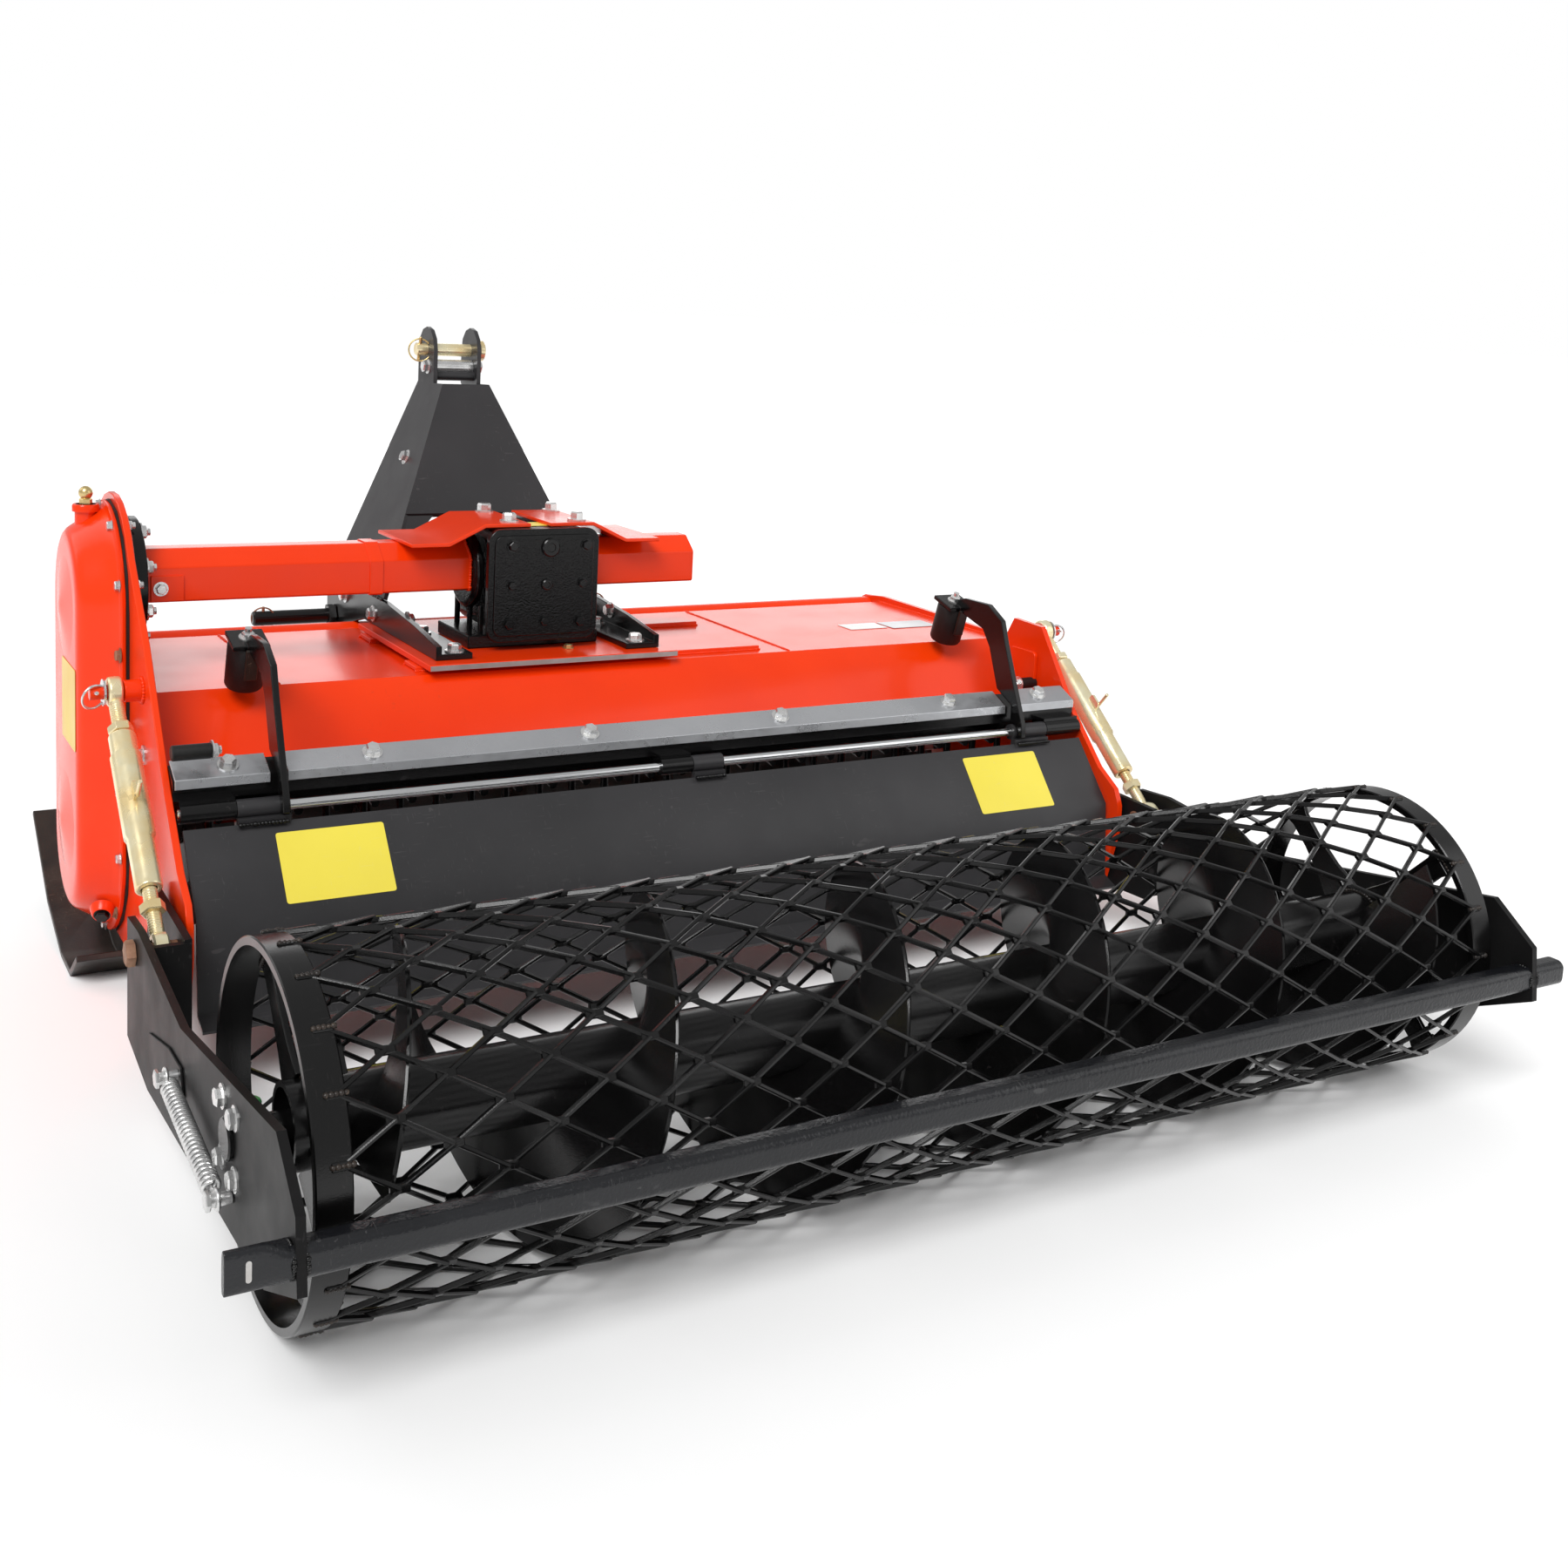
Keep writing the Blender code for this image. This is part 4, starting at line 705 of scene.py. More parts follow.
def bead_tree() -> GrowTree:
    """A weld bead: drops of uneven size along edges.

    Returns:
        The tree.
    """
    grow = GrowTree("weld_bead", {"Drop Radius": 0.0035, "Spacing": 0.0042, "Seed": SEED})
    given = grow.given
    line = grow.put("MeshToCurve", {0: given["Geometry"]})
    line = grow.put("ResampleCurve", {"Curve": line, "Length": given["Spacing"]}, mode="LENGTH")
    drop = grow.put("MeshIcoSphere", {"Radius": given["Drop Radius"], "Subdivisions": 1})
    size = grow.put(
        "FunctionNodeRandomValue", {2: 0.78, 3: 1.12, "Seed": given["Seed"]}, data_type="FLOAT"
    )
    drops = grow.put("InstanceOnPoints", {"Points": line, "Instance": drop, "Scale": size})
    grow.close(drops, smooth=True)
    return grow


def lattice_tree() -> GrowTree:
    """Expanded mesh rolled round X: knots, each with two strands to the next column.

    Returns:
        The tree.
    """
    grow = GrowTree(
        "expanded_mesh",
        {
            "Rows": 19, "Columns": 30, "Step": 0.04, "Radius": 0.16, "Depth": 0.005,
            "Knot Length": 0.014, "Knot Width": 0.009, "Strand Width": 0.005, "Strand Length": 0.05,
            "Strand Turn": 0.5, "Strand Twist": 0.35,
        },
    )
    given = grow.given
    count = grow.math("MULTIPLY", given["Rows"], given["Columns"])
    points = grow.put("Points", {"Count": count})
    index = grow.put("InputIndex")
    column = grow.math("FLOOR", grow.math("DIVIDE", index, given["Rows"]))
    row = grow.math("MODULO", index, given["Rows"])
    odd = grow.math("MULTIPLY", grow.math("MODULO", column, 2.0), 0.5)
    pitch = grow.math("DIVIDE", FULL_TURN, given["Rows"])
    angle = grow.math("MULTIPLY", grow.math("ADD", row, odd), pitch)
    middle = grow.math("MULTIPLY", grow.math("SUBTRACT", given["Columns"], 1.0), 0.5)
    along = grow.math("MULTIPLY", grow.math("SUBTRACT", column, middle), given["Step"])
    points = grow.put("SetPosition", {"Geometry": points, "Position": grow.vector(x=along)})
    rise = grow.math("SUBTRACT", given["Radius"], grow.math("MULTIPLY", given["Depth"], 0.5))

    def slab(length: object, width: object, place: object, turn: object) -> object:
        """A flat bar, moved to a place and turned."""
        cube = grow.put("MeshCube", {"Size": grow.vector(length, width, given["Depth"])})
        return grow.put("Transform", {"Geometry": cube, "Translation": place, "Rotation": turn})

    knot = slab(given["Knot Length"], given["Knot Width"], grow.vector(z=rise), grow.vector())
    parts = [knot]
    half_step = grow.math("MULTIPLY", given["Step"], 0.5)
    quarter = grow.math("MULTIPLY", pitch, 0.25)
    for hand in (1.0, -1.0):
        lean = grow.math("MULTIPLY", quarter, hand)
        side = grow.math("MULTIPLY", grow.math("SINE", lean), rise)
        high = grow.math("MULTIPLY", grow.math("COSINE", lean), rise)
        yaw = grow.math("MULTIPLY", given["Strand Turn"], hand)
        twist = grow.math("SUBTRACT", grow.math("MULTIPLY", given["Strand Twist"], hand), lean)
        place = grow.vector(half_step, side, high)
        turn = grow.vector(x=twist, z=yaw)
        parts.append(slab(given["Strand Length"], given["Strand Width"], place, turn))
    cell = grow.join(*parts)
    turned = grow.put("FunctionNodeEulerToRotation", {0: grow.vector(x=angle)})
    placed = grow.put("InstanceOnPoints", {"Points": points, "Instance": cell, "Rotation": turned})
    last = grow.math("SUBTRACT", given["Columns"], 1.0)
    end = grow.put("InstanceOnPoints", {"Points": points, "Instance": knot, "Rotation": turned})
    before_last = grow.put("FunctionNodeCompare", {0: column, 1: last}, operation="LESS_THAN")
    at_last = grow.put("FunctionNodeCompare", {0: column, 1: last}, operation="GREATER_EQUAL")
    for geometry, choice in ((placed, before_last), (end, at_last)):
        node = geometry.node
        grow.tree.links.new(choice, node.inputs["Selection"])
    grow.close(grow.join(placed, end), smooth=False)
    return grow


def coil_tree() -> GrowTree:
    """A wire wound round Z, for springs and threads.

    Returns:
        The tree.
    """
    grow = GrowTree(
        "coil",
        {
            "Turns": 20.0, "Steps": 20, "Start Radius": 0.009, "End Radius": 0.009, "Height": 0.2,
            "Wire Width": 0.004, "Wire Height": 0.004, "Wire Sides": 8,
        },
    )
    given = grow.given
    winding = grow.put(
        "CurveSpiral",
        {
            "Resolution": given["Steps"], "Rotations": given["Turns"],
            "Start Radius": given["Start Radius"], "End Radius": given["End Radius"],
            "Height": given["Height"],
        },
    )
    winding = grow.put("SetCurveNormal", {"Curve": winding}, mode="Z_UP")
    wire = grow.put("CurvePrimitiveCircle", {"Resolution": given["Wire Sides"], "Radius": 0.5})
    size = grow.vector(given["Wire Width"], given["Wire Height"], 1.0)
    wire = grow.put("Transform", {"Geometry": wire, "Scale": size})
    tube = grow.put("CurveToMesh", {"Curve": winding, "Profile Curve": wire, "Fill Caps": True})
    grow.close(tube, smooth=True)
    return grow


def comb_tree() -> GrowTree:
    """A bent bar, given by edges, repeated along X.

    Returns:
        The tree.
    """
    grow = GrowTree("comb", {"Count": 27, "Reach": 0.585, "Bar Radius": 0.005, "Bend": 0.012})
    given = grow.given
    path = grow.put("MeshToCurve", {0: given["Geometry"]})
    path = grow.put(
        "FilletCurve", {"Curve": path, "Radius": given["Bend"], "Count": 4}, mode="POLY"
    )
    ring = grow.put("CurvePrimitiveCircle", {"Resolution": 12, "Radius": given["Bar Radius"]})
    bar = grow.put("CurveToMesh", {"Curve": path, "Profile Curve": ring, "Fill Caps": True})
    row = grow.put(
        "MeshLine",
        {
            "Count": given["Count"],
            "Start Location": grow.vector(x=grow.math("MULTIPLY", given["Reach"], -1.0)),
            "Offset": grow.vector(x=given["Reach"]),
        },
        mode="END_POINTS",
    )
    bars = grow.put("InstanceOnPoints", {"Points": row, "Instance": bar})
    grow.close(bars, smooth=True)
    return grow


def weld_tree() -> bpy.types.NodeTree:
    """Joins a CAD node's loose triangles and shades its curved faces smoothly.

    Returns:
        The tree, for a live modifier.
    """
    tree = bpy.data.node_groups.new("joined_faces", "GeometryNodeTree")
    for way in ("INPUT", "OUTPUT"):
        tree.interface.new_socket("Geometry", in_out=way, socket_type="NodeSocketGeometry")
    limit = tree.interface.new_socket("Edge Angle", in_out="INPUT", socket_type="NodeSocketFloat")
    limit.default_value = SMOOTH_ANGLE
    given = tree.nodes.new("NodeGroupInput").outputs
    end = tree.nodes.new("NodeGroupOutput")
    merged = put_node(
        tree, "GeometryNodeMergeByDistance", {"Geometry": given[0], "Distance": JOIN_DISTANCE}
    )
    bare = put_node(
        tree, "GeometryNodeRemoveAttribute",
        {"Geometry": merged.outputs[0], "Name": "custom_normal"},
    )
    soft = put_node(
        tree, "GeometryNodeSetShadeSmooth", {"Geometry": bare.outputs[0], "Shade Smooth": True}
    )
    edge = put_node(tree, "GeometryNodeInputMeshEdgeAngle")
    sharp = put_node(
        tree, "FunctionNodeCompare", {0: edge.outputs["Unsigned Angle"], 1: given["Edge Angle"]},
        operation="GREATER_THAN",
    )
    parted = put_node(
        tree, "GeometryNodeSetShadeSmooth",
        {"Geometry": soft.outputs[0], "Selection": sharp.outputs[0], "Shade Smooth": False},
        domain="EDGE",
    )
    tree.links.new(parted.outputs[0], end.inputs[0])
    return tree


SCREWS = screw_tree()
BEADS = bead_tree()
LATTICE = lattice_tree()
COIL = coil_tree()
COMB = comb_tree()
JOINED_FACES = weld_tree()


# Pieces


def finish_piece(
    mesh: bpy.types.Mesh, name: str, body: str, finish: Finish, replaces: Sequence[str] = (),
    bevel: float = 0.0,
) -> bpy.types.Object:
    """Makes a mesh in machine coordinates a piece of the visual model.

    Args:
        mesh: The mesh.
        name: The piece's name.
        body: The CAD body it rides on.
        finish: Its finish.
        replaces: CAD nodes that it stands for.
        bevel: Width of the bevel on its edges, or 0.

    Returns:
        The piece.
    """
    mesh.transform(Matrix.Translation((0, MACHINE_Y, 0)))
    mesh.name = name
    mesh.materials.clear()
    mesh.materials.append(finish.material())
    piece = bpy.data.objects.new(name, mesh)
    bpy.context.scene.collection.objects.link(piece)
    if bevel:
        add_bevel(piece, bevel)
    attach(piece, body)
    if replaces:
        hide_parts(*replaces)
    log.info("%s: %d faces, on %s", name, len(mesh.polygons), body)
    return piece


def add_bevel(piece: bpy.types.Object, width: float, segments: int = 2) -> None:
    """Rounds an object's sharp edges a little, and weighs its normals.

    Args:
        piece: The object.
        width: The bevel's width.
        segments: The number of steps across it.
    """
    bevel = piece.modifiers.new("rounded edges", "BEVEL")
    bevel.width = width
    bevel.segments = segments
    bevel.limit_method = "ANGLE"
    bevel.angle_limit = SMOOTH_ANGLE
    weighted = piece.modifiers.new("even shading", "WEIGHTED_NORMAL")
    weighted.keep_sharp = True


def dress_node(name: str, finish: Finish, bevel: float = 0.0008) -> None:
    """Gives a CAD node its finish, joined faces and rounded edges.

    Args:
        name: The node's name.
        finish: Its finish.
        bevel: Width of the bevel on its edges, or 0.
    """
    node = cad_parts[name]
    if not node.data.materials:
        node.data.materials.append(None)
    for index in range(len(node.data.materials)):
        node.data.materials[index] = finish.material()
    joined = node.modifiers.new("joined faces", "NODES")
    joined.node_group = JOINED_FACES
    if bevel:
        flat = node.modifiers.new("flat faces", "DECIMATE")
        flat.decimate_type = "DISSOLVE"
        flat.angle_limit = FLAT_ANGLE
        add_bevel(node, bevel)
    log.info("%s dressed in %s", name, finish.name)


def dress_sides(stem: str, finish: Finish, bevel: float) -> None:
    """Dresses the left and the right CAD node of one name."""
    for side in Side:
        dress_node(f"{stem}_{side.tag}", finish, bevel)


def arc(centre: Pair, radius: float, start: float, end: float, steps: int) -> list[Pair]:
    """Points of an arc from a start angle to an end angle, both in degrees."""
    angles = [math.radians(start + (end - start) * i / steps) for i in range(steps + 1)]
    return [(centre[0] + radius * math.cos(a), centre[1] + radius * math.sin(a)) for a in angles]


def on_circle(centre: Pair, radius: float, count: int) -> list[Pair]:
    """Points spread evenly round a circle, half a step on from its start."""
    angles = [FULL_TURN * (number + 0.5) / count for number in range(count)]
    return [(centre[0] + radius * math.cos(a), centre[1] + radius * math.sin(a)) for a in angles]


def rounded_rect(
    half_width: float, half_height: float, radius: float, steps: int = 5
) -> list[Pair]:
    """Outline of a rectangle with round corners, centred on the origin.

    Args:
        half_width: Half its width.
        half_height: Half its height.
        radius: The radius of its corners.
        steps: The number of steps in each corner.

    Returns:
        The outline's points.
    """
    outline: list[Pair] = []
    corners = ((1, 1, 0), (-1, 1, 90), (-1, -1, 180), (1, -1, 270))
    for across, up, start in corners:
        centre = (across * (half_width - radius), up * (half_height - radius))
        outline += arc(centre, radius, start, start + 90, steps)
    return outline


def capped(*profile: Pair) -> list[Pair]:
    """A profile closed to its axis at both ends, for a solid turned shape."""
    return [(profile[0][0], 0.0), *profile, (profile[-1][0], 0.0)]


def moved(place: Sequence[float], x: float = 0.0, y: float = 0.0, z: float = 0.0) -> Point:
    """A point shifted along the three axes."""
    return (place[0] + x, place[1] + y, place[2] + z)


class Shape:
    """A mesh in the making, in machine coordinates."""

    def __init__(self) -> None:
        """Starts with nothing."""
        self.bm = bmesh.new()

    def take(self, part: bmesh.types.BMesh, place: Matrix | None = None) -> "Shape":
        """Adds another bmesh and frees it.

        Args:
            part: What is added.
            place: A matrix that it is moved by first.

        Returns:
            This shape.
        """
        bmesh.ops.remove_doubles(part, verts=part.verts, dist=1e-6)
        bmesh.ops.recalc_face_normals(part, faces=part.faces)
        mesh = bpy.data.meshes.new("part")
        part.to_mesh(mesh)
        part.free()
        if place is not None:
            mesh.transform(place)
        self.bm.from_mesh(mesh)
        bpy.data.meshes.remove(mesh)
        return self

    def box(self, low: Point, high: Point) -> "Shape":
        """Adds a box between two corners.

        Args:
            low: Its lowest corner.
            high: Its highest corner.

        Returns:
            This shape.
        """
        size = [b - a for a, b in zip(low, high)]
        middle = [(a + b) / 2 for a, b in zip(low, high)]
        return self.block(size, Matrix.Translation(middle))

    def block(self, size: Sequence[float], place: Matrix) -> "Shape":
        """Adds a box of a size, centred at a place.

        Args:
            size: Its length along X, Y and Z.
            place: The matrix that turns and moves it.

        Returns:
            This shape.
        """
        part = bmesh.new()
        bmesh.ops.create_cube(part, size=1)
        bmesh.ops.scale(part, vec=[abs(value) for value in size], verts=part.verts)
        return self.take(part, place)

    def turned(
        self, profile: Sequence[Pair], start: Sequence[float], along: Sequence[float],
        steps: int = 32
    ) -> "Shape":
        """Adds a turned shape.

        Args:
            profile: Points (distance along the axis, radius). One that starts and ends at
                radius 0 is solid, and any other one closes on itself as a ring.
            start: The axis's first point.
            along: The axis's direction.
            steps: The number of faces round it.

        Returns:
            This shape.
        """
        part = bmesh.new()
        rings = []
        for height, radius in profile:
            if radius == 0:
                rings.append([part.verts.new((0, 0, height))] * steps)
                continue
            angles = [FULL_TURN * i / steps for i in range(steps)]
            rings.append([
                part.verts.new((radius * math.cos(a), radius * math.sin(a), height)) for a in angles
            ])
        solid = profile[0][1] == 0 and profile[-1][1] == 0
        pairs = list(zip(rings, rings[1:])) + ([] if solid else [(rings[-1], rings[0])])
        for near, far in pairs:
            for i in range(steps):
                j = (i + 1) % steps
                corners = [near[i], near[j], far[j], far[i]]
                distinct = [c for k, c in enumerate(corners) if c is not corners[k - 1]]
                if len(distinct) > 2:
                    part.faces.new(distinct)
        turn = Vector(along).to_track_quat("Z", "Y").to_matrix().to_4x4()
        return self.take(part, Matrix.Translation(start) @ turn)

    def bar(
        self, start: Sequence[float], end: Sequence[float], radius: float, soft: float = 0.0,
        steps: int = 28,
    ) -> "Shape":
        """Adds a round bar with softened ends.

        Args:
            start: One end of its axis.
            end: The other end.
            radius: Its radius.
            soft: Width of the chamfer at both ends.
            steps: The number of faces round it.

        Returns:
            This shape.
        """
        axis = Vector(end) - Vector(start)
        profile = [(0.0, 0.0), (0.0, radius - soft), (soft, radius)]
        profile += [(axis.length - soft, radius), (axis.length, radius - soft), (axis.length, 0.0)]
        if not soft:
            profile = [profile[0], profile[1], profile[4], profile[5]]
        return self.turned(profile, start, axis, steps)

    def hoop(
        self, centre: Sequence[float], axis: Sequence[float], radius: float, wire: float
    ) -> "Shape":
        """Adds a ring of round wire, turned about an axis.

        Args:
            centre: The ring's centre.
            axis: Its axis's direction.
            radius: The radius of the wire's middle.
            wire: The wire's radius.

        Returns:
            This shape.
        """
        profile = [
            (wire * math.sin(a), radius + wire * math.cos(a))
            for a in (FULL_TURN * i / 10 for i in range(10))
        ]
        return self.turned(profile, centre, axis)

    def lathe(
        self, profile: Sequence[Pair], place: Sequence[float], sign: float = 1, steps: int = 32
    ) -> "Shape":
        """Adds a shape turned about X, outwards on the side of the sign."""
        return self.turned(profile, place, (sign, 0, 0), steps)

    def rod(
        self, near_x: float, far_x: float, y_z: Pair, radius: float, soft: float = 0.0,
        steps: int = 28,
    ) -> "Shape":
        """Adds a round bar along X at one (y, z)."""
        return self.bar((near_x, *y_z), (far_x, *y_z), radius, soft, steps=steps)

    def prism(self, outline: Sequence[Pair], thickness: float, place: Matrix) -> "Shape":
        """Adds a plate with an outline on its own XY plane.

        Args:
            outline: The outline's points.
            thickness: The plate's thickness, from its XY plane along Z.
            place: The matrix that puts it in place.

        Returns:
            This shape.
        """
        part = bmesh.new()
        verts = [part.verts.new((x, y, 0)) for x, y in outline]
        face = part.faces.new(verts)
        pushed = bmesh.ops.extrude_face_region(part, geom=[face])["geom"]
        moved = [item for item in pushed if isinstance(item, bmesh.types.BMVert)]
        bmesh.ops.translate(part, vec=(0, 0, thickness), verts=moved)
        return self.take(part, place)

    def plate(self, outline: Sequence[Pair], near_x: float, far_x: float) -> "Shape":
        """Adds a plate across X with an outline in (y, z)."""
        place = Matrix.Translation((min(near_x, far_x), 0, 0)) @ ACROSS
        return self.prism(outline, abs(far_x - near_x), place)

    def loft(self, sections: Sequence[Sequence[Sequence[float]]]) -> "Shape":
        """Adds a solid through sections that have the same number of points.

        Args:
            sections: The points of each section, from end to end.

        Returns:
            This shape.
        """
        part = bmesh.new()
        loops = [[part.verts.new(co) for co in section] for section in sections]
        for low, high in zip(loops, loops[1:]):
            for i in range(len(low)):
                j = (i + 1) % len(low)
                part.faces.new((low[i], low[j], high[j], high[i]))
        part.faces.new(loops[0])
        part.faces.new(loops[-1])
        return self.take(part)

    def piece(
        self, name: str, body: str, finish: Finish, replaces: Sequence[str] = (),
        bevel: float = 0.0,
    ) -> bpy.types.Object:
        """Makes the shape a piece, shaded smoothly up to SMOOTH_ANGLE.

        Args:
            name: The piece's name.
            body: The CAD body it rides on.
            finish: Its finish.
            replaces: CAD nodes that it stands for.
            bevel: Width of the bevel on its edges, or 0.

        Returns:
            The piece.
        """
        mesh = bpy.data.meshes.new(name)
        self.bm.to_mesh(mesh)
        self.bm.free()
        mesh.shade_smooth()
        mesh.set_sharp_from_angle(angle=SMOOTH_ANGLE)
        return finish_piece(mesh, name, body, finish, replaces, bevel)


UP: Point = (0, 0, 1)
# Turns local X, Y, Z to the machine's Y, Z, X
ACROSS = Matrix(((0, 0, 1, 0), (1, 0, 0, 0), (0, 1, 0, 0), (0, 0, 0, 1)))
# Turns local X, Y, Z to the machine's X, Z, -Y, so that a plate faces the rear
REARWARD = Matrix(((1, 0, 0, 0), (0, 0, -1, 0), (0, 1, 0, 0), (0, 0, 0, 1)))


@dataclass
class ScrewSet:
    """Screws or nuts of one size and finish on one body."""

    name: str
    body: str
    finish: Finish = ZINC_BOLT
    head_radius: float = 0.0085
    head_height: float = 0.0065
    washer_radius: float = 0.0115
    washer_height: float = 0.0018
    stud_radius: float = 0.0045
    stud_height: float = 0.0
    places: list[tuple[Point, Point, float]] = field(default_factory=list)

    def add(self, place: Point, facing: Point, size: float = 1.0) -> "ScrewSet":
        """Adds a screw at a place, facing a direction."""
        self.places.append((place, facing, size))
        return self

    def build(self) -> bpy.types.Object:
        """Grows the screws as one piece.

        Returns:
            The piece.
        """
        base = bpy.data.meshes.new(self.name)
        base.from_pydata([place for place, _, _ in self.places], [], [])
        facings = [value for _, facing, _ in self.places for value in facing]
        sizes = [size for _, _, size in self.places]
        base.attributes.new("facing", "FLOAT_VECTOR", "POINT").data.foreach_set("vector", facings)
        base.attributes.new("size", "FLOAT", "POINT").data.foreach_set("value", sizes)
        values = {
            "Head Radius": self.head_radius, "Head Height": self.head_height,
            "Washer Radius": self.washer_radius, "Washer Height": self.washer_height,
            "Stud Radius": self.stud_radius, "Stud Height": self.stud_height,
        }
        mesh = SCREWS.grow(base, values, self.finish)
        return finish_piece(mesh, self.name, self.body, self.finish)


def weld_beads(
    name: str, body: str, finish: Finish, lines: Iterable[Sequence[Point]], radius: float = 0.0032
) -> bpy.types.Object:
    """Lays weld beads along lines.

    Args:
        name: The piece's name.
        body: The CAD body it rides on.
        finish: Its finish.
        lines: Runs of points.
        radius: A drop's radius.

    Returns:
        The piece.
    """
    points: list[Point] = []
    edges: list[tuple[int, int]] = []
    for line in lines:
        first = len(points)
        points += [tuple(point) for point in line]
        edges += [(first + i, first + i + 1) for i in range(len(line) - 1)]
    base = bpy.data.meshes.new(name)
    base.from_pydata(points, edges, [])
    mesh = BEADS.grow(base, {"Drop Radius": radius, "Spacing": radius * 1.3}, finish)
    return finish_piece(mesh, name, body, finish)


def ring_points(centre: Point, axis: str, radius: float, steps: int = 24) -> list[Point]:
    """Points of a closed circle round an axis.

    Args:
        centre: Its centre.
        axis: "X", "Y" or "Z".
        radius: Its radius.
        steps: The number of points.

    Returns:
        The points, of which the last is the first one again.
    """
    turn = {"X": ACROSS, "Y": REARWARD, "Z": Matrix.Identity(4)}[axis]
    circle = arc((0, 0), radius, 0, 360, steps)
    return [tuple(Vector(centre) + turn @ Vector((a, b, 0))) for a, b in circle]


def wound(
    start: Vector, along: Vector, turns: float, radius: float, length: float, wire: float,
    sides: int, finish: Finish,
) -> bpy.types.Mesh:
    """Winds a round wire, for a spring or the ridge of a thread.

    Args:
        start: Where it starts on its axis.
        along: The axis's direction.
        turns: The number of turns.
        radius: The radius of the wire's middle.
        length: The length along the axis.
        wire: The wire's thickness.
        sides: The number of the wire's sides.
        finish: Its finish.

    Returns:
        The mesh in place.
    """
    values = {
        "Turns": turns, "Steps": 18, "Start Radius": radius, "End Radius": radius, "Height": length,
        "Wire Width": wire, "Wire Height": wire, "Wire Sides": sides,
    }
    mesh = COIL.grow(bpy.data.meshes.new("wire_base"), values, finish)
    turn = along.to_track_quat("Z", "X").to_matrix().to_4x4()
    mesh.transform(Matrix.Translation(start) @ turn)
    return mesh


# Fixed frame


@dataclass
class SidePlates:
    """Side plates with their turnbuckle studs, pivot pins and gusset."""

    inner_half: float = 0.636
    outer_half: float = 0.644
    stud: Pair = (-0.13, 0.395)
    pivot: Pair = (-0.27, 0.105)
    pin_radius: float = 0.01

    def build(self) -> None:
        """Makes pins, washers, rings, bolts and weld beads of both plates."""
        washer = [(0.0, 0.0084), (0.0, 0.0155), (0.0022, 0.0155), (0.0022, 0.0084)]
        shank = [(0.0, self.pin_radius), (0.024, self.pin_radius)]
        head = capped(*shank, (0.024, 0.015), (0.0305, 0.015), (0.032, 0.0135))
        for side in Side:
            sign = side.value
            ring = (sign * 0.6965, *self.stud)
            lynch = Shape().lathe(washer, (sign * 0.6855, *self.stud), sign)
            lynch.bar(
                moved(ring, y=-0.019, z=0.004), moved(ring, y=0.019, z=-0.004), 0.0022, 0.0006
            )
            ring_at = moved(ring, sign * 0.0005, -0.002, -0.004)
            lynch.hoop(ring_at, (0.4 * sign, 1, 0.3), 0.0145, 0.0014)
            lynch.piece(f"stud_lynch_pin_{side.tag}", "frame", ZINC_BOLT)
            pin = Shape().lathe(head, (sign * self.inner_half, *self.pivot), sign, 40)
            pin.piece(f"pivot_pin_bolt_{side.tag}", "frame", ZINC_BOLT, [f"pivot_pin_{side.tag}"])
            collar = ring_points((sign * (self.outer_half + 0.001), *self.stud), "X", 0.014)
            weld_beads(f"stud_weld_{side.tag}", "frame", ORANGE, [collar], 0.0028)
        place = Matrix.Translation((self.inner_half - 0.0065, -0.14, 0.345)) @ ACROSS
        gusset = Shape().prism(rounded_rect(0.03, 0.028, 0.008), 0.006, place)
        gusset.piece("side_gusset_right", "frame", ORANGE, bevel=0.001)
        bolts = ScrewSet("side_plate_bolts", "frame")
        bolts.add((-self.outer_half, -0.141, 0.321), (-1, 0, 0))
        for y_z in ((0.205, 0.33), (0.232, 0.2)):
            bolts.add((self.outer_half, *y_z), (1, 0, 0))
        bolts.build()

    def dress(self) -> None:
        """Paints the plates."""
        dress_sides("side_plate", ORANGE, 0.001)


@dataclass
class Hood:
    """Top sheet with front tube, stiffeners, blank plates and seams."""

    half: float = 0.6357
    top_z: float = 0.377
    front_y: float = 0.252
    fold_y: float = -0.072
    tube: Pair = (0.29, 0.363)
    tube_radius: float = 0.0165
    seam_x: Pair = (-0.47, 0.262)
    base_seam_x: Pair = (-0.289, 0.223)
    base_seam_y: tuple[float, ...] = (-0.05, -0.004, 0.14, 0.186)

    def build(self) -> None:
        """Makes the front tube, the blank plates and the weld seams."""
        tube = Shape().rod(-self.half, self.half, self.tube, self.tube_radius, steps=40)
        tube.piece("front_tube_round", "frame", ORANGE, ["front_tube"])
        top, label_z = self.top_z, self.top_z + 0.0003
        for name, finish, place, size in (
            ("hood_label_pale", PALE_LABEL, (0.475, 0.062), (0.034, 0.02)),
            ("hood_plate_blank", PLATE_BLANK, (0.556, 0.058), (0.042, 0.024)),
        ):
            plate = rounded_rect(*size, 0.002, 2)
            at = Matrix.Translation((*place, label_z))
            Shape().prism(plate, 0.0007, at).piece(name, "frame", finish)
        lines = [[(x, y, label_z + 0.0005) for x in self.base_seam_x] for y in self.base_seam_y]
        ends = (self.fold_y + 0.004, self.front_y - 0.004)
        lines += [[(x, y, top) for y in ends] for x in self.seam_x]
        reach = self.half - 0.0008
        rims = (self.fold_y, self.front_y)
        lines += [[(x, y, top + 0.0002) for y in rims] for x in (-reach, reach)]
        weld_beads("hood_seams", "frame", ORANGE, lines, 0.0021)

    def dress(self) -> None:
        """Paints the sheet and its stiffeners."""
        for name in ("hood", "hood_stiffener_rear", "hood_stiffener_front"):
            dress_node(name, ORANGE, 0.0012)


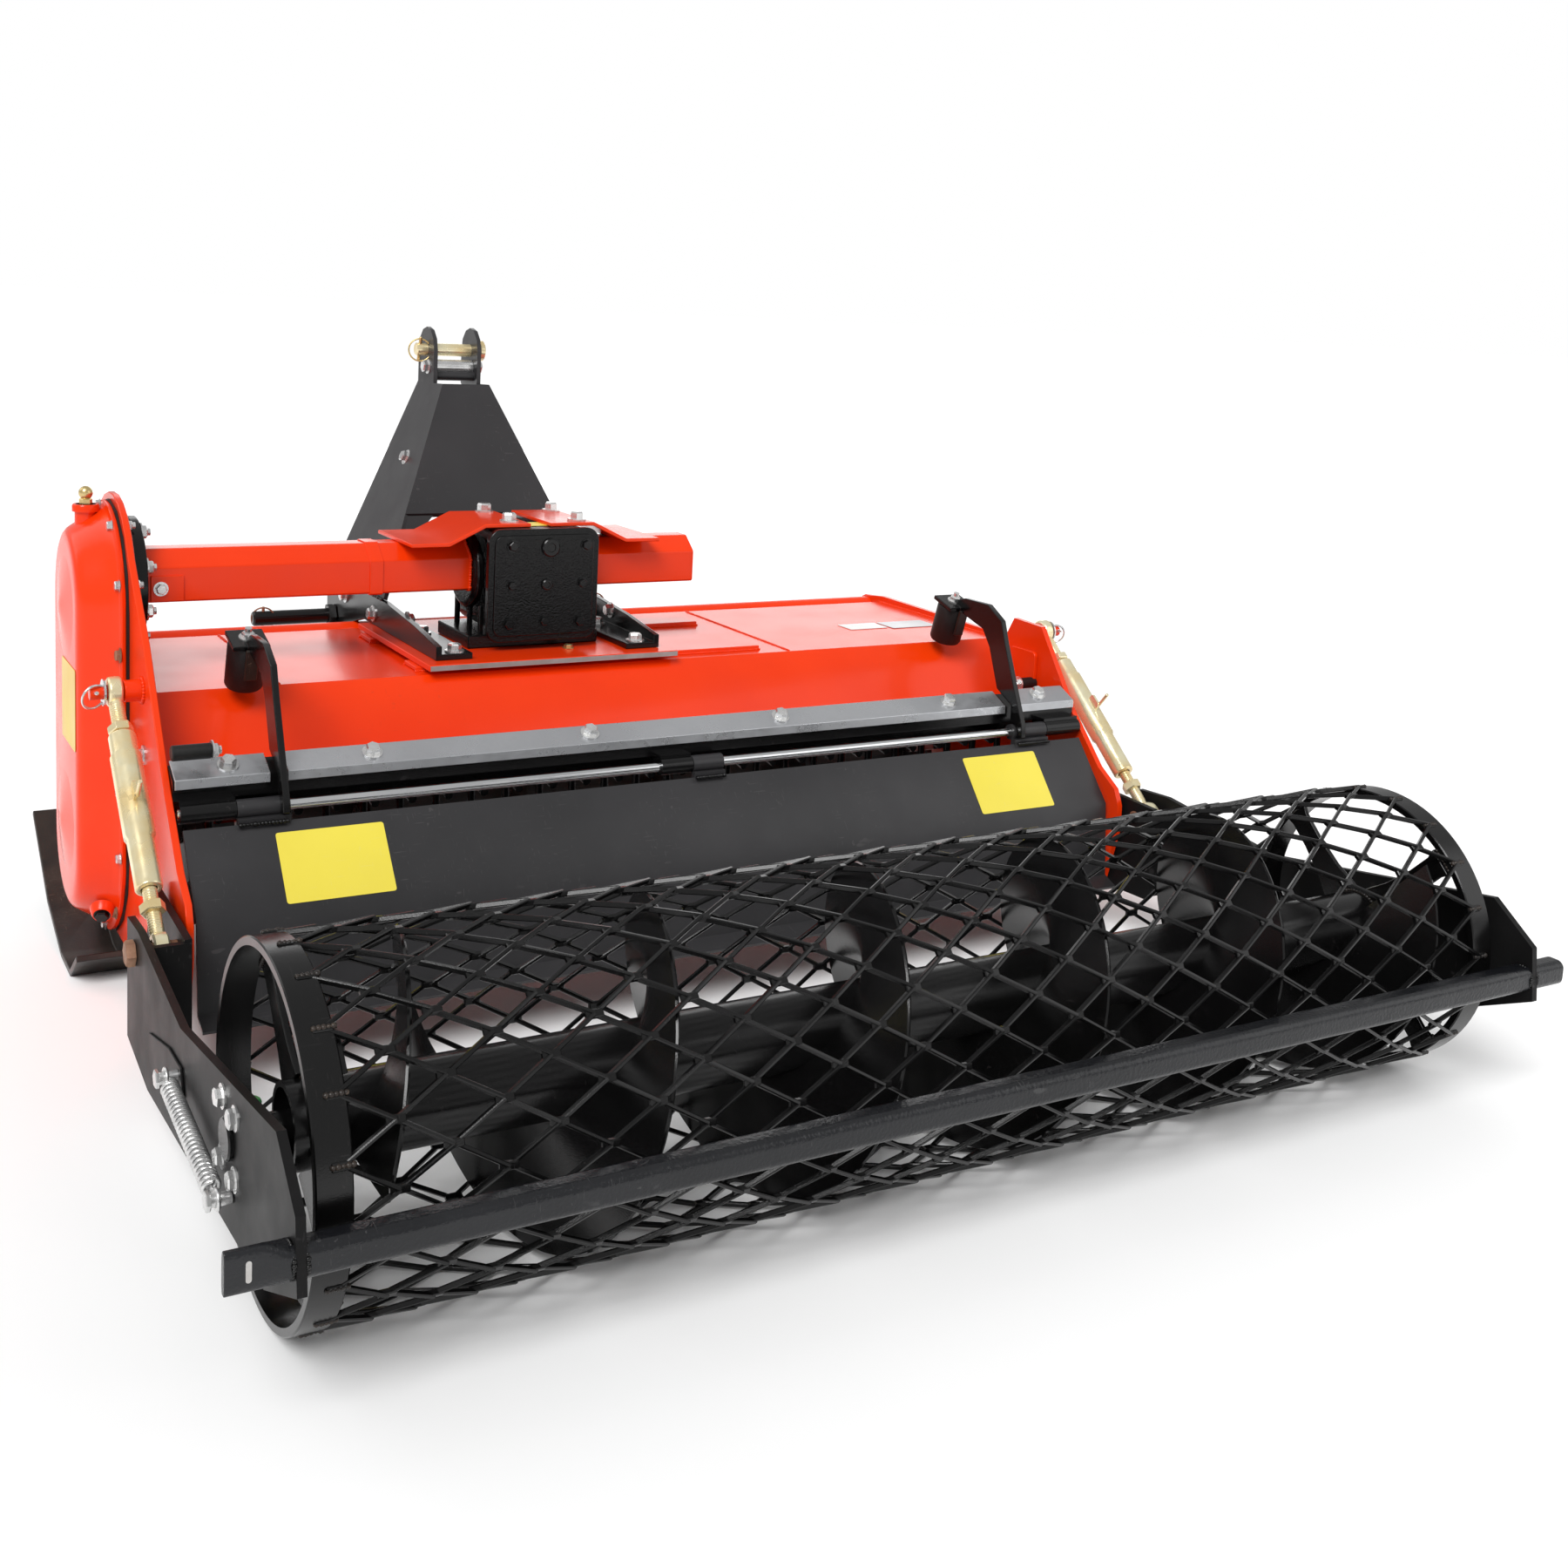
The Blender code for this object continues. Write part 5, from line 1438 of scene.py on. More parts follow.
@dataclass
class HingeLine:
    """Rear cross tube, clamp strips, hinge rod and the gate's rests."""

    hinge: Pair = (-0.268, 0.285)
    rod_radius: float = 0.006
    rod_half: float = 0.634
    strip_bolts: tuple[float, ...] = (-0.573, -0.407, -0.129, 0.147, 0.421, 0.579)
    strip_facing: Point = (0, -0.43, 0.9)
    rests: tuple[Point, Point] = ((-0.244, 0.348, 0.592), (-0.165, 0.326, 0.606))

    def build(self) -> None:
        """Makes the rod, the strip's bolts, the gate's rests and the weld beads."""
        rod = Shape().rod(-self.rod_half, self.rod_half, self.hinge, self.rod_radius, 0.0012)
        rod.piece("hinge_rod_bright", "frame", CHROME, ["hinge_rod"])
        bolts = ScrewSet("strip_bolts", "frame", ZINC_BOLT, 0.009, 0.0085, 0.012, 0.002)
        for x in self.strip_bolts:
            bolts.add((x, -0.2408, 0.3286), self.strip_facing)
        bolts.build()
        for side, (y, z, end) in zip(Side, self.rests):
            sign = side.value
            rest = Shape().rod(sign * 0.6355, sign * end, (y, z), 0.0088, 0.0012)
            rest.piece(f"gate_rest_{side.tag}", "frame", RUBBER)
            nut = ScrewSet(f"gate_rest_nut_{side.tag}", "frame", head_radius=0.0075)
            nut.stud_height = 0.003
            nut.add((sign * end, y, z), (-sign, 0, 0)).build()
        beads = [[(sign * x, -0.2535, 0.2925) for x in (0.575, 0.63)] for sign in (-1, 1)]
        weld_beads("sleeve_welds", "frame", BLACK, beads, 0.0026)

    def dress(self) -> None:
        """Finishes the tube and the three strips."""
        dress_node("rear_cross_tube", BLACK, 0.0012)
        for part in ("left", "middle", "right"):
            dress_node(f"clamp_strip_{part}", ZINC, 0.0007)


@dataclass
class ChainCase:
    """Pressed chain case with its rim, bolts, filler neck and plugs."""

    start_x: float = -0.6476
    depth: float = 0.05
    centre_y: float = 0.07
    half_width: float = 0.125
    low_z: float = 0.045
    high_z: float = 0.592
    hub_z: Pair = (0.19, 0.46)
    steps: int = 24
    neck_top: float = 0.586
    inner_x: float = -0.6358
    bolts: int = 8
    drain_facing: Point = (-0.25, -0.86, -0.45)

    def pill(self, inset: float) -> list[Pair]:
        """Outline of the case in (y, z), drawn in by an inset.

        Args:
            inset: How far it lies inside the case's edge.

        Returns:
            The outline's points.
        """
        radius = self.half_width - inset
        upper = arc((self.centre_y, self.high_z - self.half_width), radius, 0, 180, self.steps)
        lower = arc((self.centre_y, self.low_z + self.half_width), radius, 180, 360, self.steps)
        return upper + lower

    def rim_places(self, inset: float) -> list[Pair]:
        """Places (y, z) of the rim's screws, evenly along the pill's outline.

        Args:
            inset: How far they lie inside the case's edge.

        Returns:
            The places.
        """
        outline = self.pill(inset)
        closed = outline + outline[:1]
        spans = [math.dist(a, b) for a, b in zip(closed, closed[1:])]
        total, places = sum(spans), []
        count = 2 * self.bolts
        for number in range(count):
            left = total * number / count
            for (a, b), span in zip(zip(closed, closed[1:]), spans):
                if left <= span:
                    share = left / span
                    places.append((a[0] + (b[0] - a[0]) * share, a[1] + (b[1] - a[1]) * share))
                    break
                left -= span
        return places

    def build(self) -> None:
        """Makes the case, its rim screws, neck, breather, plugs and blank label."""
        sections = (
            (0.0, 0.0026), (0.0008, 0.002), (0.0044, 0.002), (0.005, 0.0026), (0.0054, 0.008),
            (0.007, 0.0104), (0.016, 0.0168), (0.028, 0.0245), (0.039, 0.0315), (0.044, 0.035),
            (0.0475, 0.0395), (0.0495, 0.0455), (self.depth, 0.052),
        )
        case = Shape().loft([
            [(self.start_x - out, y, z) for y, z in self.pill(inset)] for out, inset in sections
        ])
        face_x = self.start_x - self.depth
        hub = capped((-0.004, 0.066), (0.0, 0.062), (0.0062, 0.01), (0.0068, 0.006))
        for z in self.hub_z:
            case.lathe(hub, (face_x, self.centre_y, z), -1, 48)
        neck, top = (self.start_x - self.depth / 2, self.centre_y), self.neck_top
        case.bar((*neck, 0.545), (*neck, top), 0.013, 0.001)
        collar = capped((0.0, 0.016), (0.007, 0.016), (0.009, 0.0145))
        case.turned(collar, (*neck, top - 0.009), UP)
        drain = capped((0.0, 0.0155), (0.009, 0.0125), (0.011, 0.011))
        case.turned(drain, (-0.668, -0.014, 0.098), self.drain_facing)
        case.piece("chain_case_pressing", "frame", ORANGE, ["chain_case"])
        hexagon = capped((0.0, 0.0078), (0.0055, 0.0078), (0.0065, 0.0068))
        breather = Shape().turned(hexagon, (*neck, top + 0.0002), UP, 6)
        knob = [
            (0.0105 + 0.0085 * math.sin(a), 0.0085 * math.cos(a))
            for a in (-0.8, -0.4, 0, 0.4, 0.8, 1.2)
        ]
        stem = [(0.0, 0.0), (0.0, 0.0045), (0.003, 0.005)]
        breather.turned([*stem, *knob, (0.019, 0.0)], (*neck, top + 0.003), UP, 28)
        breather.piece("breather_plug", "frame", BRASS, ["case_breather"])
        self._build_screws()
        place = Matrix.Translation((face_x - 0.0008, 0.04, 0.345)) @ ACROSS
        label = Shape().prism(rounded_rect(0.048, 0.05, 0.003, 3), 0.0006, place)
        label.piece("case_label_blank", "frame", FADED_LABEL)

    def _build_screws(self) -> None:
        """Makes the rim's screws, of which two are rusty, its nuts and the drain plug."""
        rim = ScrewSet("case_rim_screws", "frame", ZINC_BOLT, 0.0058, 0.005, 0.0074, 0.001)
        nuts = ScrewSet("case_rim_nuts", "frame", ZINC_BOLT, 0.0062, 0.005, 0.0082, 0.001)
        nuts.stud_height = 0.004
        rusty = ScrewSet("case_rusty_screws", "frame", RUSTY_BOLT, 0.0068, 0.005, 0.009, 0.0012)
        for number, (y, z) in enumerate(self.rim_places(0.0078)):
            target = rusty if number in (5, 9) else rim
            target.add((self.start_x - 0.0056, y, z), (-1, 0, 0))
            if z > 0.44:
                nuts.add((self.inner_x, y, z), (1, 0, 0))
        for screws in (rim, nuts, rusty):
            screws.build()
        plug = ScrewSet("case_drain_plug", "frame", BLACK, 0.0085, 0.0045, 0.01, 0.001)
        plug.add((-0.6706, -0.0228, 0.0934), self.drain_facing).build()

    def dress(self) -> None:
        """Finishes the gasket."""
        dress_node("case_gasket", RUBBER, 0.0)


@dataclass
class Drive:
    """Drive tube from the chain case to the gearbox, its flange disc and its stub."""

    axis: Pair = (0.06, 0.49)
    disc_x: float = -0.6357
    disc_radius: float = 0.085
    disc_thick: float = 0.02
    half_width: float = 0.04
    half_height: float = 0.042
    flat: float = 0.022
    crown: float = 0.015
    bolt_circle: float = 0.07
    bolts: int = 8
    collar_x: Pair = (-0.33, -0.312)
    patch_x: Pair = (-0.606, -0.566)

    def section(self, x: float, grow: float = 0.0) -> list[Point]:
        """Section of the tube at x, widened by grow, with soft corners.

        Args:
            x: Where the section lies.
            grow: How much it is widened on each side.

        Returns:
            The section's points.
        """
        corners = [(self.half_width + grow, self.flat), (self.crown, self.half_height + grow)]
        half = corners + [(-y, z) for y, z in reversed(corners)]
        side = self.half_width + grow
        loop = half + [(-side, -self.flat - grow), (side, -self.flat - grow)]
        soft: list[Pair] = []
        for index, (y, z) in enumerate(loop):
            for other in (loop[index - 1], loop[(index + 1) % len(loop)]):
                soft.append((y + (other[0] - y) * 0.05, z + (other[1] - z) * 0.05))
        return [(x, self.axis[0] + y, self.axis[1] + z) for y, z in soft]

    def build(self) -> None:
        """Makes the disc, the tube with its collar and patch, the stub, bolts and beads."""
        wide, slim, thick = self.disc_radius, self.disc_radius - 0.004, self.disc_thick
        rim = [(0.0, wide - 0.001), (0.001, wide), (0.008, wide), (0.009, slim)]
        profile = capped(*rim, (thick - 0.001, slim), (thick, slim - 0.001))
        disc = Shape().lathe(profile, (self.disc_x, *self.axis), 1, 56)
        disc.piece("drive_flange_disc", "frame", BLACK, ["drive_flange"])
        tube = Shape().loft([self.section(x) for x in (-0.6154, -0.1903)])
        tube.loft([self.section(x, 0.0016) for x in self.collar_x])
        tube.piece("drive_tube_folded", "frame", ORANGE, ["drive_tube"], bevel=0.0006)
        stub = Shape()
        for ends in ((-0.0197, 0.145), (0.145, 0.147)):
            stub.loft([self.section(x) for x in ends])
        stub.piece("drive_tube_end", "frame", ORANGE, ["drive_tube_stub"], bevel=0.0008)
        patch = Shape().box((self.patch_x[0], 0.017, 0.47), (self.patch_x[1], 0.0205, 0.502))
        patch.piece("drive_patch", "frame", ORANGE, bevel=0.001)
        screws = ScrewSet("drive_flange_bolts", "frame", head_radius=0.0082, stud_height=0.004)
        for y_z in on_circle(self.axis, self.bolt_circle, self.bolts):
            screws.add((self.disc_x + thick, *y_z), (1, 0, 0))
        screws.build()
        patch_bolt = ScrewSet("drive_patch_bolt", "frame", ZINC_BOLT, 0.0068, 0.005, 0.009, 0.001)
        patch_bolt.add((-0.594, 0.017, 0.486), (0, -1, 0)).build()
        loops = (self.section(-0.6145, 0.0012), self.section(-0.1915))
        weld_beads("drive_welds", "frame", ORANGE, [[*loop, loop[0]] for loop in loops], 0.0026)


@dataclass
class Gearbox:
    """Gearbox casting with cover, hubs, feet and splined input shaft."""

    x: float = -0.105
    half: float = 0.07
    rear_y: float = -0.018
    front_y: float = 0.135
    low_z: float = 0.408
    high_z: float = 0.556
    cover_half: float = 0.0795
    axis: Pair = (0.06, 0.49)
    foot_z: float = 0.3919
    corner: float = 0.018
    shaft_y: float = 0.1603
    shaft_length: float = 0.085
    shaft_radius: float = 0.0175
    splines: int = 6

    def build(self) -> None:
        """Makes the housing, the cover with its screws and plugs, and the shaft."""
        mid_z = (self.low_z + self.high_z) / 2
        half_z = (self.high_z - self.low_z) / 2
        rear, front = self.rear_y, self.front_y
        stations = [(rear, 0.0), (rear + 0.012, 0.0), (rear + 0.0121, 0.004)]
        stations += [(front - 0.02, 0.004), (front - 0.006, 0.009), (front, 0.018)]
        sections = []
        for y, inset in stations:
            outline = rounded_rect(self.half - inset, half_z - inset, self.corner, 6)
            sections.append([(self.x + a, y, mid_z + b) for a, b in outline])
        box = Shape().loft(sections)
        hub = capped((0.0, 0.05), (0.004, 0.052), (0.01, 0.052), (0.012, 0.048), (0.0145, 0.046))
        for sign in (-1, 1):
            box.lathe(hub, (self.x + sign * (self.half - 0.0005), *self.axis), sign, 48)
        nose = capped((0.0, 0.046), (0.012, 0.044), (0.022, 0.042), (0.025, 0.038))
        box.turned(nose, (self.x, front, self.axis[1]), (0, 1, 0), 48)
        box.box((self.x - 0.095, 0.0, self.foot_z), (self.x + 0.095, 0.118, self.foot_z + 0.018))
        for sign in (-1, 1):
            near, far = self.x + sign * 0.0685, self.x + sign * 0.0755
            for y in (0.012, 0.052, 0.1):
                box.box((near, y, self.foot_z + 0.01), (far, y + 0.007, self.low_z + 0.04))
        box.piece("gearbox_casting", "frame", BLACK_CAST, ["gearbox"], bevel=0.0018)
        self._build_cover(mid_z, half_z)
        self._build_shaft()

    def _build_cover(self, mid_z: float, half_z: float) -> None:
        """Makes the rear cover with a raised rim, its screws, plugs and blank label.

        Args:
            mid_z: Height of its middle.
            half_z: Half its height.
        """
        face_y = self.rear_y - 0.0003
        cover = Shape()
        for inset, corner, out, thick in ((0.0, 0.018, 0.0, 0.01), (0.008, 0.012, 0.0098, 0.0024)):
            outline = rounded_rect(self.cover_half - inset, half_z + 0.002 - inset, corner, 6)
            place = Matrix.Translation((self.x, face_y - out, mid_z - 0.002))
            cover.prism(outline, thick, place @ REARWARD)
        cover.piece("gearbox_cover_cast", "frame", BLACK_CAST, ["gearbox_cover"], bevel=0.0018)
        back_y = face_y - 0.0122
        bolts = ScrewSet("cover_screws", "frame", BLACK, 0.0068, 0.0046, 0.0085, 0.001)
        for x, z, size in (
            (-0.152, 0.534, 1.0), (-0.045, 0.533, 1.0), (-0.155, 0.429, 1.0), (-0.052, 0.429, 1.0),
            (-0.104, 0.431, 0.9), (-0.152, 0.481, 0.9), (-0.05, 0.481, 0.9),
        ):
            bolts.add((x, back_y, z), (0, -1, 0), size)
        bolts.build()
        plugs = Shape()
        for x, z, radius in ((-0.098, 0.531, 0.0125), (-0.102, 0.481, 0.0075)):
            rim = [(0.0, radius), (0.003, radius), (0.0042, radius - 0.0015)]
            profile = capped(*rim, (0.0042, radius * 0.5), (0.003, radius * 0.45))
            plugs.turned(profile, (x, back_y, z), (0, -1, 0), 28)
        plugs.piece("cover_plugs", "frame", BLACK)
        low, high = (-0.013, 0.0, 0.0001), (0.034, 0.034, 0.0006)
        label = Shape().box(*(moved(edge, self.x, 0.0, self.high_z) for edge in (low, high)))
        label.piece("gearbox_label_blank", "frame", YELLOW_LABEL)
        small = ScrewSet("level_plug", "frame", BRASS, 0.006, 0.004, 0.008, 0.001)
        small.add((self.x + 0.038, -0.03, 0.392), UP).build()

    def _gear(self, y: float, scale: float, toothed: bool) -> list[Point]:
        """Section of the shaft at y, round or with its splines.

        Args:
            y: Where the section lies.
            scale: Its size, as a share of the full size.
            toothed: Whether it has splines.

        Returns:
            The section's points.
        """
        loop = []
        for number in range(8 * self.splines):
            angle = FULL_TURN * number / (8 * self.splines)
            high = toothed and number % 8 < 4
            radius = self.shaft_radius * scale * (1.0 if high else 0.86)
            x, z = self.x + radius * math.cos(angle), self.axis[1] + radius * math.sin(angle)
            loop.append((x, y, z))
        return loop

    def _build_shaft(self) -> None:
        """Makes the splined shaft with its locking groove and chamfer."""
        start, end, length = 0.058, 0.066, self.shaft_length
        stations = (
            (0.0, 0.98, False), (0.012, 0.98, False), (0.0125, 1.0, True), (start, 1.0, True),
            (start + 0.0015, 0.94, False), (end - 0.0015, 0.94, False), (end, 1.0, True),
            (length - 0.003, 1.0, True), (length, 0.9, True),
        )
        shaft = Shape().loft([self._gear(self.shaft_y + out, *look) for out, *look in stations])
        shaft.piece("input_shaft_splined", "frame", BARE_STEEL, ["pto_shaft"])
        nose = ScrewSet("nose_screws", "frame", BLACK, 0.006, 0.0045, 0.0075, 0.001)
        for x, z in on_circle((self.x, self.axis[1]), 0.052, 4):
            nose.add((x, self.front_y - 0.005, z), (0, 1, 0))
        nose.build()


@dataclass
class Saddles:
    """Gull-wing brackets with their bolts."""

    pad_z: float = 0.5613

    def build(self) -> None:
        """Makes the bolts on the gearbox and on the drive tube."""
        bolts = ScrewSet("saddle_bolts", "frame", ZINC_BOLT, 0.0095, 0.01, 0.0128, 0.0024)
        for x_y in ((-0.1375, 0.114), (-0.1425, 0.009), (-0.036, 0.114), (-0.042, 0.012)):
            bolts.add((*x_y, self.pad_z), UP)
        bolts.build()

    def dress(self) -> None:
        """Paints both brackets."""
        dress_sides("saddle", ORANGE, 0.001)


@dataclass
class Hitch:
    """Base plate, rails, mast and pins of the three-point hitch."""

    x: float = -0.105
    base_half: float = 0.178
    base_top: float = 0.3916
    rail_offset: float = 0.153
    rail_thick: float = 0.008
    ear_offset: float = 0.034
    pin: Pair = (0.354, 0.776)
    pin_radius: float = 0.0095
    pin_half: float = 0.054
    lower: Pair = (0.385, 0.372)
    lower_radius: float = 0.011
    lower_reach: float = 0.285

    def build(self) -> None:
        """Makes the pins, bolts, the bare rear edge of the base plate and weld beads."""
        self._build_top_pin()
        self._build_lower_pins()
        reach, top = self.base_half - 0.001, self.base_top
        low, high = (self.x - reach, -0.0862, top - 0.0072), (self.x + reach, -0.0848, top - 0.0008)
        Shape().box(low, high).piece("base_plate_edge", "frame", BARE_STEEL)
        bolts = ScrewSet("foot_bolts", "frame", ZINC_BOLT, 0.0092, 0.0085, 0.0128, 0.0022)
        for sign in (-1, 1):
            for y in (-0.046, 0.08, 0.18):
                bolts.add((self.x + sign * (self.rail_offset - 0.022), y, top + 0.0083), UP)
            bolts.add((self.x + sign * self.rail_offset, 0.08, 0.42), (-sign, 0, 0), 0.9)
            outer_x = self.x + sign * (self.rail_offset + self.rail_thick)
            for y_z in ((0.33, 0.412), (0.198, 0.408)):
                bolts.add((outer_x, *y_z), (sign, 0, 0), 0.9)
        bolts.add((self.x - 0.0825, 0.3, 0.619), (-0.92, 0.0, 0.39), 0.9)
        bolts.build()
        corners = Shape()
        outline = [(0.07, 0.2085, 0.547), (0.11, 0.2085, 0.547)]
        outline += [(0.1295, 0.1885, 0.5), (0.116, 0.1885, 0.5)]
        for sign in (-1, 1):
            wedge = [(self.x + sign * offset, y, z) for offset, y, z in outline]
            corners.loft([wedge, [moved(point, y=0.006, z=0.0025) for point in wedge]])
        corners.piece("mast_corners", "frame", CHARCOAL, bevel=0.001)
        weld_x = self.rail_offset + self.rail_thick / 2 + 0.003
        beads = [[(self.x + sign * weld_x, y, 0.4335) for y in (0.165, 0.4)] for sign in (-1, 1)]
        weld_beads("mast_welds", "frame", BLACK, beads, 0.003)

    def _build_top_pin(self) -> None:
        """Makes the top link pin with its head, lynch pin and the spacer below it."""
        near, far = self.x - self.pin_half, self.x + self.pin_half
        pin = Shape().rod(near, far, self.pin, self.pin_radius, 0.0015, 36)
        pin.rod(far - 0.01, far - 0.002, self.pin, 0.0155, 0.001)
        pin.piece("top_link_pin_plated", "frame", YELLOW_ZINC, ["top_link_pin"])
        ring = (near + 0.006, *self.pin)
        ends = (moved(ring, y=-0.006, z=0.018), moved(ring, y=0.004, z=-0.017))
        lynch = Shape().bar(*ends, 0.0024, 0.0006)
        lynch.hoop(moved(ring, -0.001, -0.006, -0.001), (0.25, 0.95, -0.1), 0.0165, 0.0012)
        lynch.piece("top_lynch_pin", "frame", BRASS)
        spacer = (self.pin[0] - 0.01, self.pin[1] - 0.0245)
        inner = self.ear_offset - 0.0035
        profile = [(0.0, 0.0072), (0.0, 0.0105), (2 * inner, 0.0105), (2 * inner, 0.0072)]
        sleeve = Shape().lathe(profile, (self.x - inner, *spacer))
        sleeve.piece("mast_spacer", "frame", ZINC_BOLT)
        bolt = ScrewSet("mast_spacer_bolt", "frame", ZINC_BOLT, 0.0095, 0.0078, 0.0115, 0.0015)
        for sign in (-1, 1):
            bolt.add((self.x + sign * (self.ear_offset + 0.0032), *spacer), (sign, 0, 0))
        bolt.build()

    def _build_lower_pins(self) -> None:
        """Makes both lower link pins with collars and rusty lynch pins."""
        rail, thick = self.rail_offset, self.rail_thick
        collars = ((rail - 0.011, rail - 0.0006), (rail + (thick + 0.0006), rail + (thick + 0.012)))
        for side in Side:
            sign = side.value
            start, end = (self.x + sign * reach for reach in (rail - 0.03, self.lower_reach))
            pin = Shape().rod(start, end, self.lower, self.lower_radius, 0.0025, 36)
            for reaches in collars:
                near, far = (self.x + sign * reach for reach in reaches)
                pin.rod(near, far, self.lower, 0.0175, 0.001, 6)
            pin.piece(f"lower_pin_turned_{side.tag}", "frame", BLACK, [f"lower_pin_{side.tag}"])
            ring = (self.x + sign * (self.lower_reach - 0.016), *self.lower)
            ends = (moved(ring, y=-0.003, z=0.0175), moved(ring, y=0.003, z=-0.0175))
            lynch = Shape().bar(*ends, 0.0022, 0.0005)
            lynch.hoop(moved(ring, y=-0.002), (0.2, 1, 0.1), 0.0165, 0.0012)
            lynch.piece(f"lower_lynch_pin_{side.tag}", "frame", RUSTY_BOLT)

    def dress(self) -> None:
        """Finishes the base plate, the rails and the mast."""
        dress_node("base_plate", ORANGE, 0.001)
        dress_node("mast", CHARCOAL, 0.0012)
        dress_sides("hitch_rail", BLACK, 0.001)


@dataclass
class Skids:
    """Runners with worn soles."""

    inner_half: float = 0.6277
    outer_half: float = 0.644
    bolt_y: Pair = (0.012, 0.16)
    bolt_z: float = 0.09

    def build(self) -> None:
        """Makes the bolts that hold the runners' webs."""
        bolts = ScrewSet("skid_bolts", "frame", RUSTY_BOLT, 0.008, 0.006, 0.011, 0.0016)
        for x, way in ((-self.inner_half, 1), (self.inner_half, -1), (self.outer_half, 1)):
            for y in self.bolt_y:
                bolts.add((x, y, self.bolt_z), (way, 0, 0))
        bolts.build()

    def dress(self) -> None:
        """Finishes both runners."""
        dress_sides("skid", BLACK_WORN, 0.0012)


@dataclass
class SortingGrid:
    """Comb of bent round bars on a carrier bar."""

    half: float = 0.6357
    carrier_y: float = -0.212
    carrier_top: float = 0.2917
    bars: int = 27
    reach: float = 0.585
    bar_radius: float = 0.005

    def build(self) -> None:
        """Grows the bars and makes their carrier and its screws."""
        base = bpy.data.meshes.new("bar_path")
        y, top = self.carrier_y, self.carrier_top
        run = [(0, y - 0.038, 0.27), (0, y + 0.006, 0.276), (0, y, 0.07)]
        base.from_pydata(run, [(0, 1), (1, 2)], [])
        values = {"Count": self.bars, "Reach": self.reach, "Bar Radius": self.bar_radius}
        comb = COMB.grow(base, values, BLACK)
        finish_piece(comb, "sorting_bars", "frame", BLACK, ["sorting_grid"])
        carrier = Shape().box((-self.half, y - 0.01, top - 0.02), (self.half, y + 0.01, top))
        carrier.piece("sorting_carrier", "frame", BLACK, bevel=0.0015)
        screws = ScrewSet("sorting_screws", "frame", ZINC_BOLT, 0.007, 0.005, 0.009, 0.001)
        for number in range(7):
            screws.add((0.56 * (number / 3 - 1), y + 0.01, top - 0.01), (0, 1, 0))
        screws.build()


@dataclass
class Rotor:
    """Bladed rotor and its right-hand bearing housing."""

    y: float = 0.08
    z: float = 0.19
    tip_radius: float = 0.158
    flange_x: tuple[float, ...] = (-0.555, -0.333, -0.111, 0.111, 0.333, 0.555)
    flange_thick: float = 0.01
    blades: int = 4
    blade_thick: float = 0.01
    housing_x: float = 0.6443
    housing_depth: float = 0.034

    def place(self, x: float, radius: float, angle: float) -> Point:
        """A point at a radius and an angle on the rotor's axis, as its blades have them."""
        return (x, self.y - radius * math.sin(angle), self.z + radius * math.cos(angle))

    def blade_places(self) -> Iterable[tuple[float, float, int]]:
        """Each blade's flange x, its angle and its hand.

        Returns:
            The values of one blade after another.
        """
        last = len(self.flange_x) - 1
        for number, x in enumerate(self.flange_x):
            for step in range(self.blades):
                angle = FULL_TURN * (step + number / (last + 1)) / self.blades
                hand = 1 if (step + number) % 2 else -1
                if number in (0, last):
                    hand = 1 if x < 0 else -1
                yield x, angle, hand

    def build(self) -> None:
        """Makes the blades' bolts, hard edges, weld beads and the bearing housing."""
        bolts = ScrewSet("blade_bolts", "rotor_unit", ZINC_BOLT, 0.0085, 0.0065, 0.0105, 0.0014)
        edges = Shape()
        for x, angle, hand in self.blade_places():
            face_x = x + hand * (self.flange_thick / 2 + self.blade_thick - 0.001)
            for radius in (0.08, 0.096):
                bolts.add(self.place(face_x, radius, angle), (hand, 0, 0))
            near, far = x + hand * 0.03, x + hand * 0.0735
            turn = Matrix.Rotation(angle, 4, "X")
            middle = Vector((0, self.y, self.z)) + turn @ Vector((0, 0, self.tip_radius - 0.0047))
            middle.x = (near + far) / 2
            edges.block((abs(far - near), 0.0408, 0.0046), Matrix.Translation(middle) @ turn)
        bolts.build()
        edges.piece("blade_hard_edges", "rotor_unit", BARE_STEEL, bevel=0.0006)
        rings = []
        for x in self.flange_x:
            for sign in (-1, 1):
                side_x = x + sign * (self.flange_thick / 2 + 0.001)
                rings.append(ring_points((side_x, self.y, self.z), "X", 0.0462, 36))
        weld_beads("rotor_welds", "rotor_unit", BLACK_WORN, rings, 0.003)
        end = self.housing_depth
        profile = (
            (0.0, 0.0225), (0.0, 0.0585), (0.0015, 0.06), (0.0105, 0.06), (0.012, 0.0585),
            (0.0125, 0.047), (0.018, 0.044), (0.031, 0.0405), (end, 0.037), (end, 0.016),
            (end - 0.002, 0.014), (end - 0.002, 0.0), (end - 0.01, 0.0), (end - 0.01, 0.0225),
        )
        housing = Shape().lathe(profile, (self.housing_x, self.y, self.z), 1, 48)
        housing.piece("rotor_housing_right", "frame", CASTING, ["rotor_bearing_right"])
        studs = ScrewSet("housing_bolts", "frame", ZINC_BOLT, 0.0078, 0.006, 0.0088, 0.001)
        for y_z in on_circle((self.y, self.z), 0.0525, 4):
            studs.add((self.housing_x + 0.012, *y_z), (1, 0, 0))
        studs.build()

    def dress(self) -> None:
        """Finishes the CAD rotor."""
        dress_node("rotor", BLACK_WORN)


# Gate


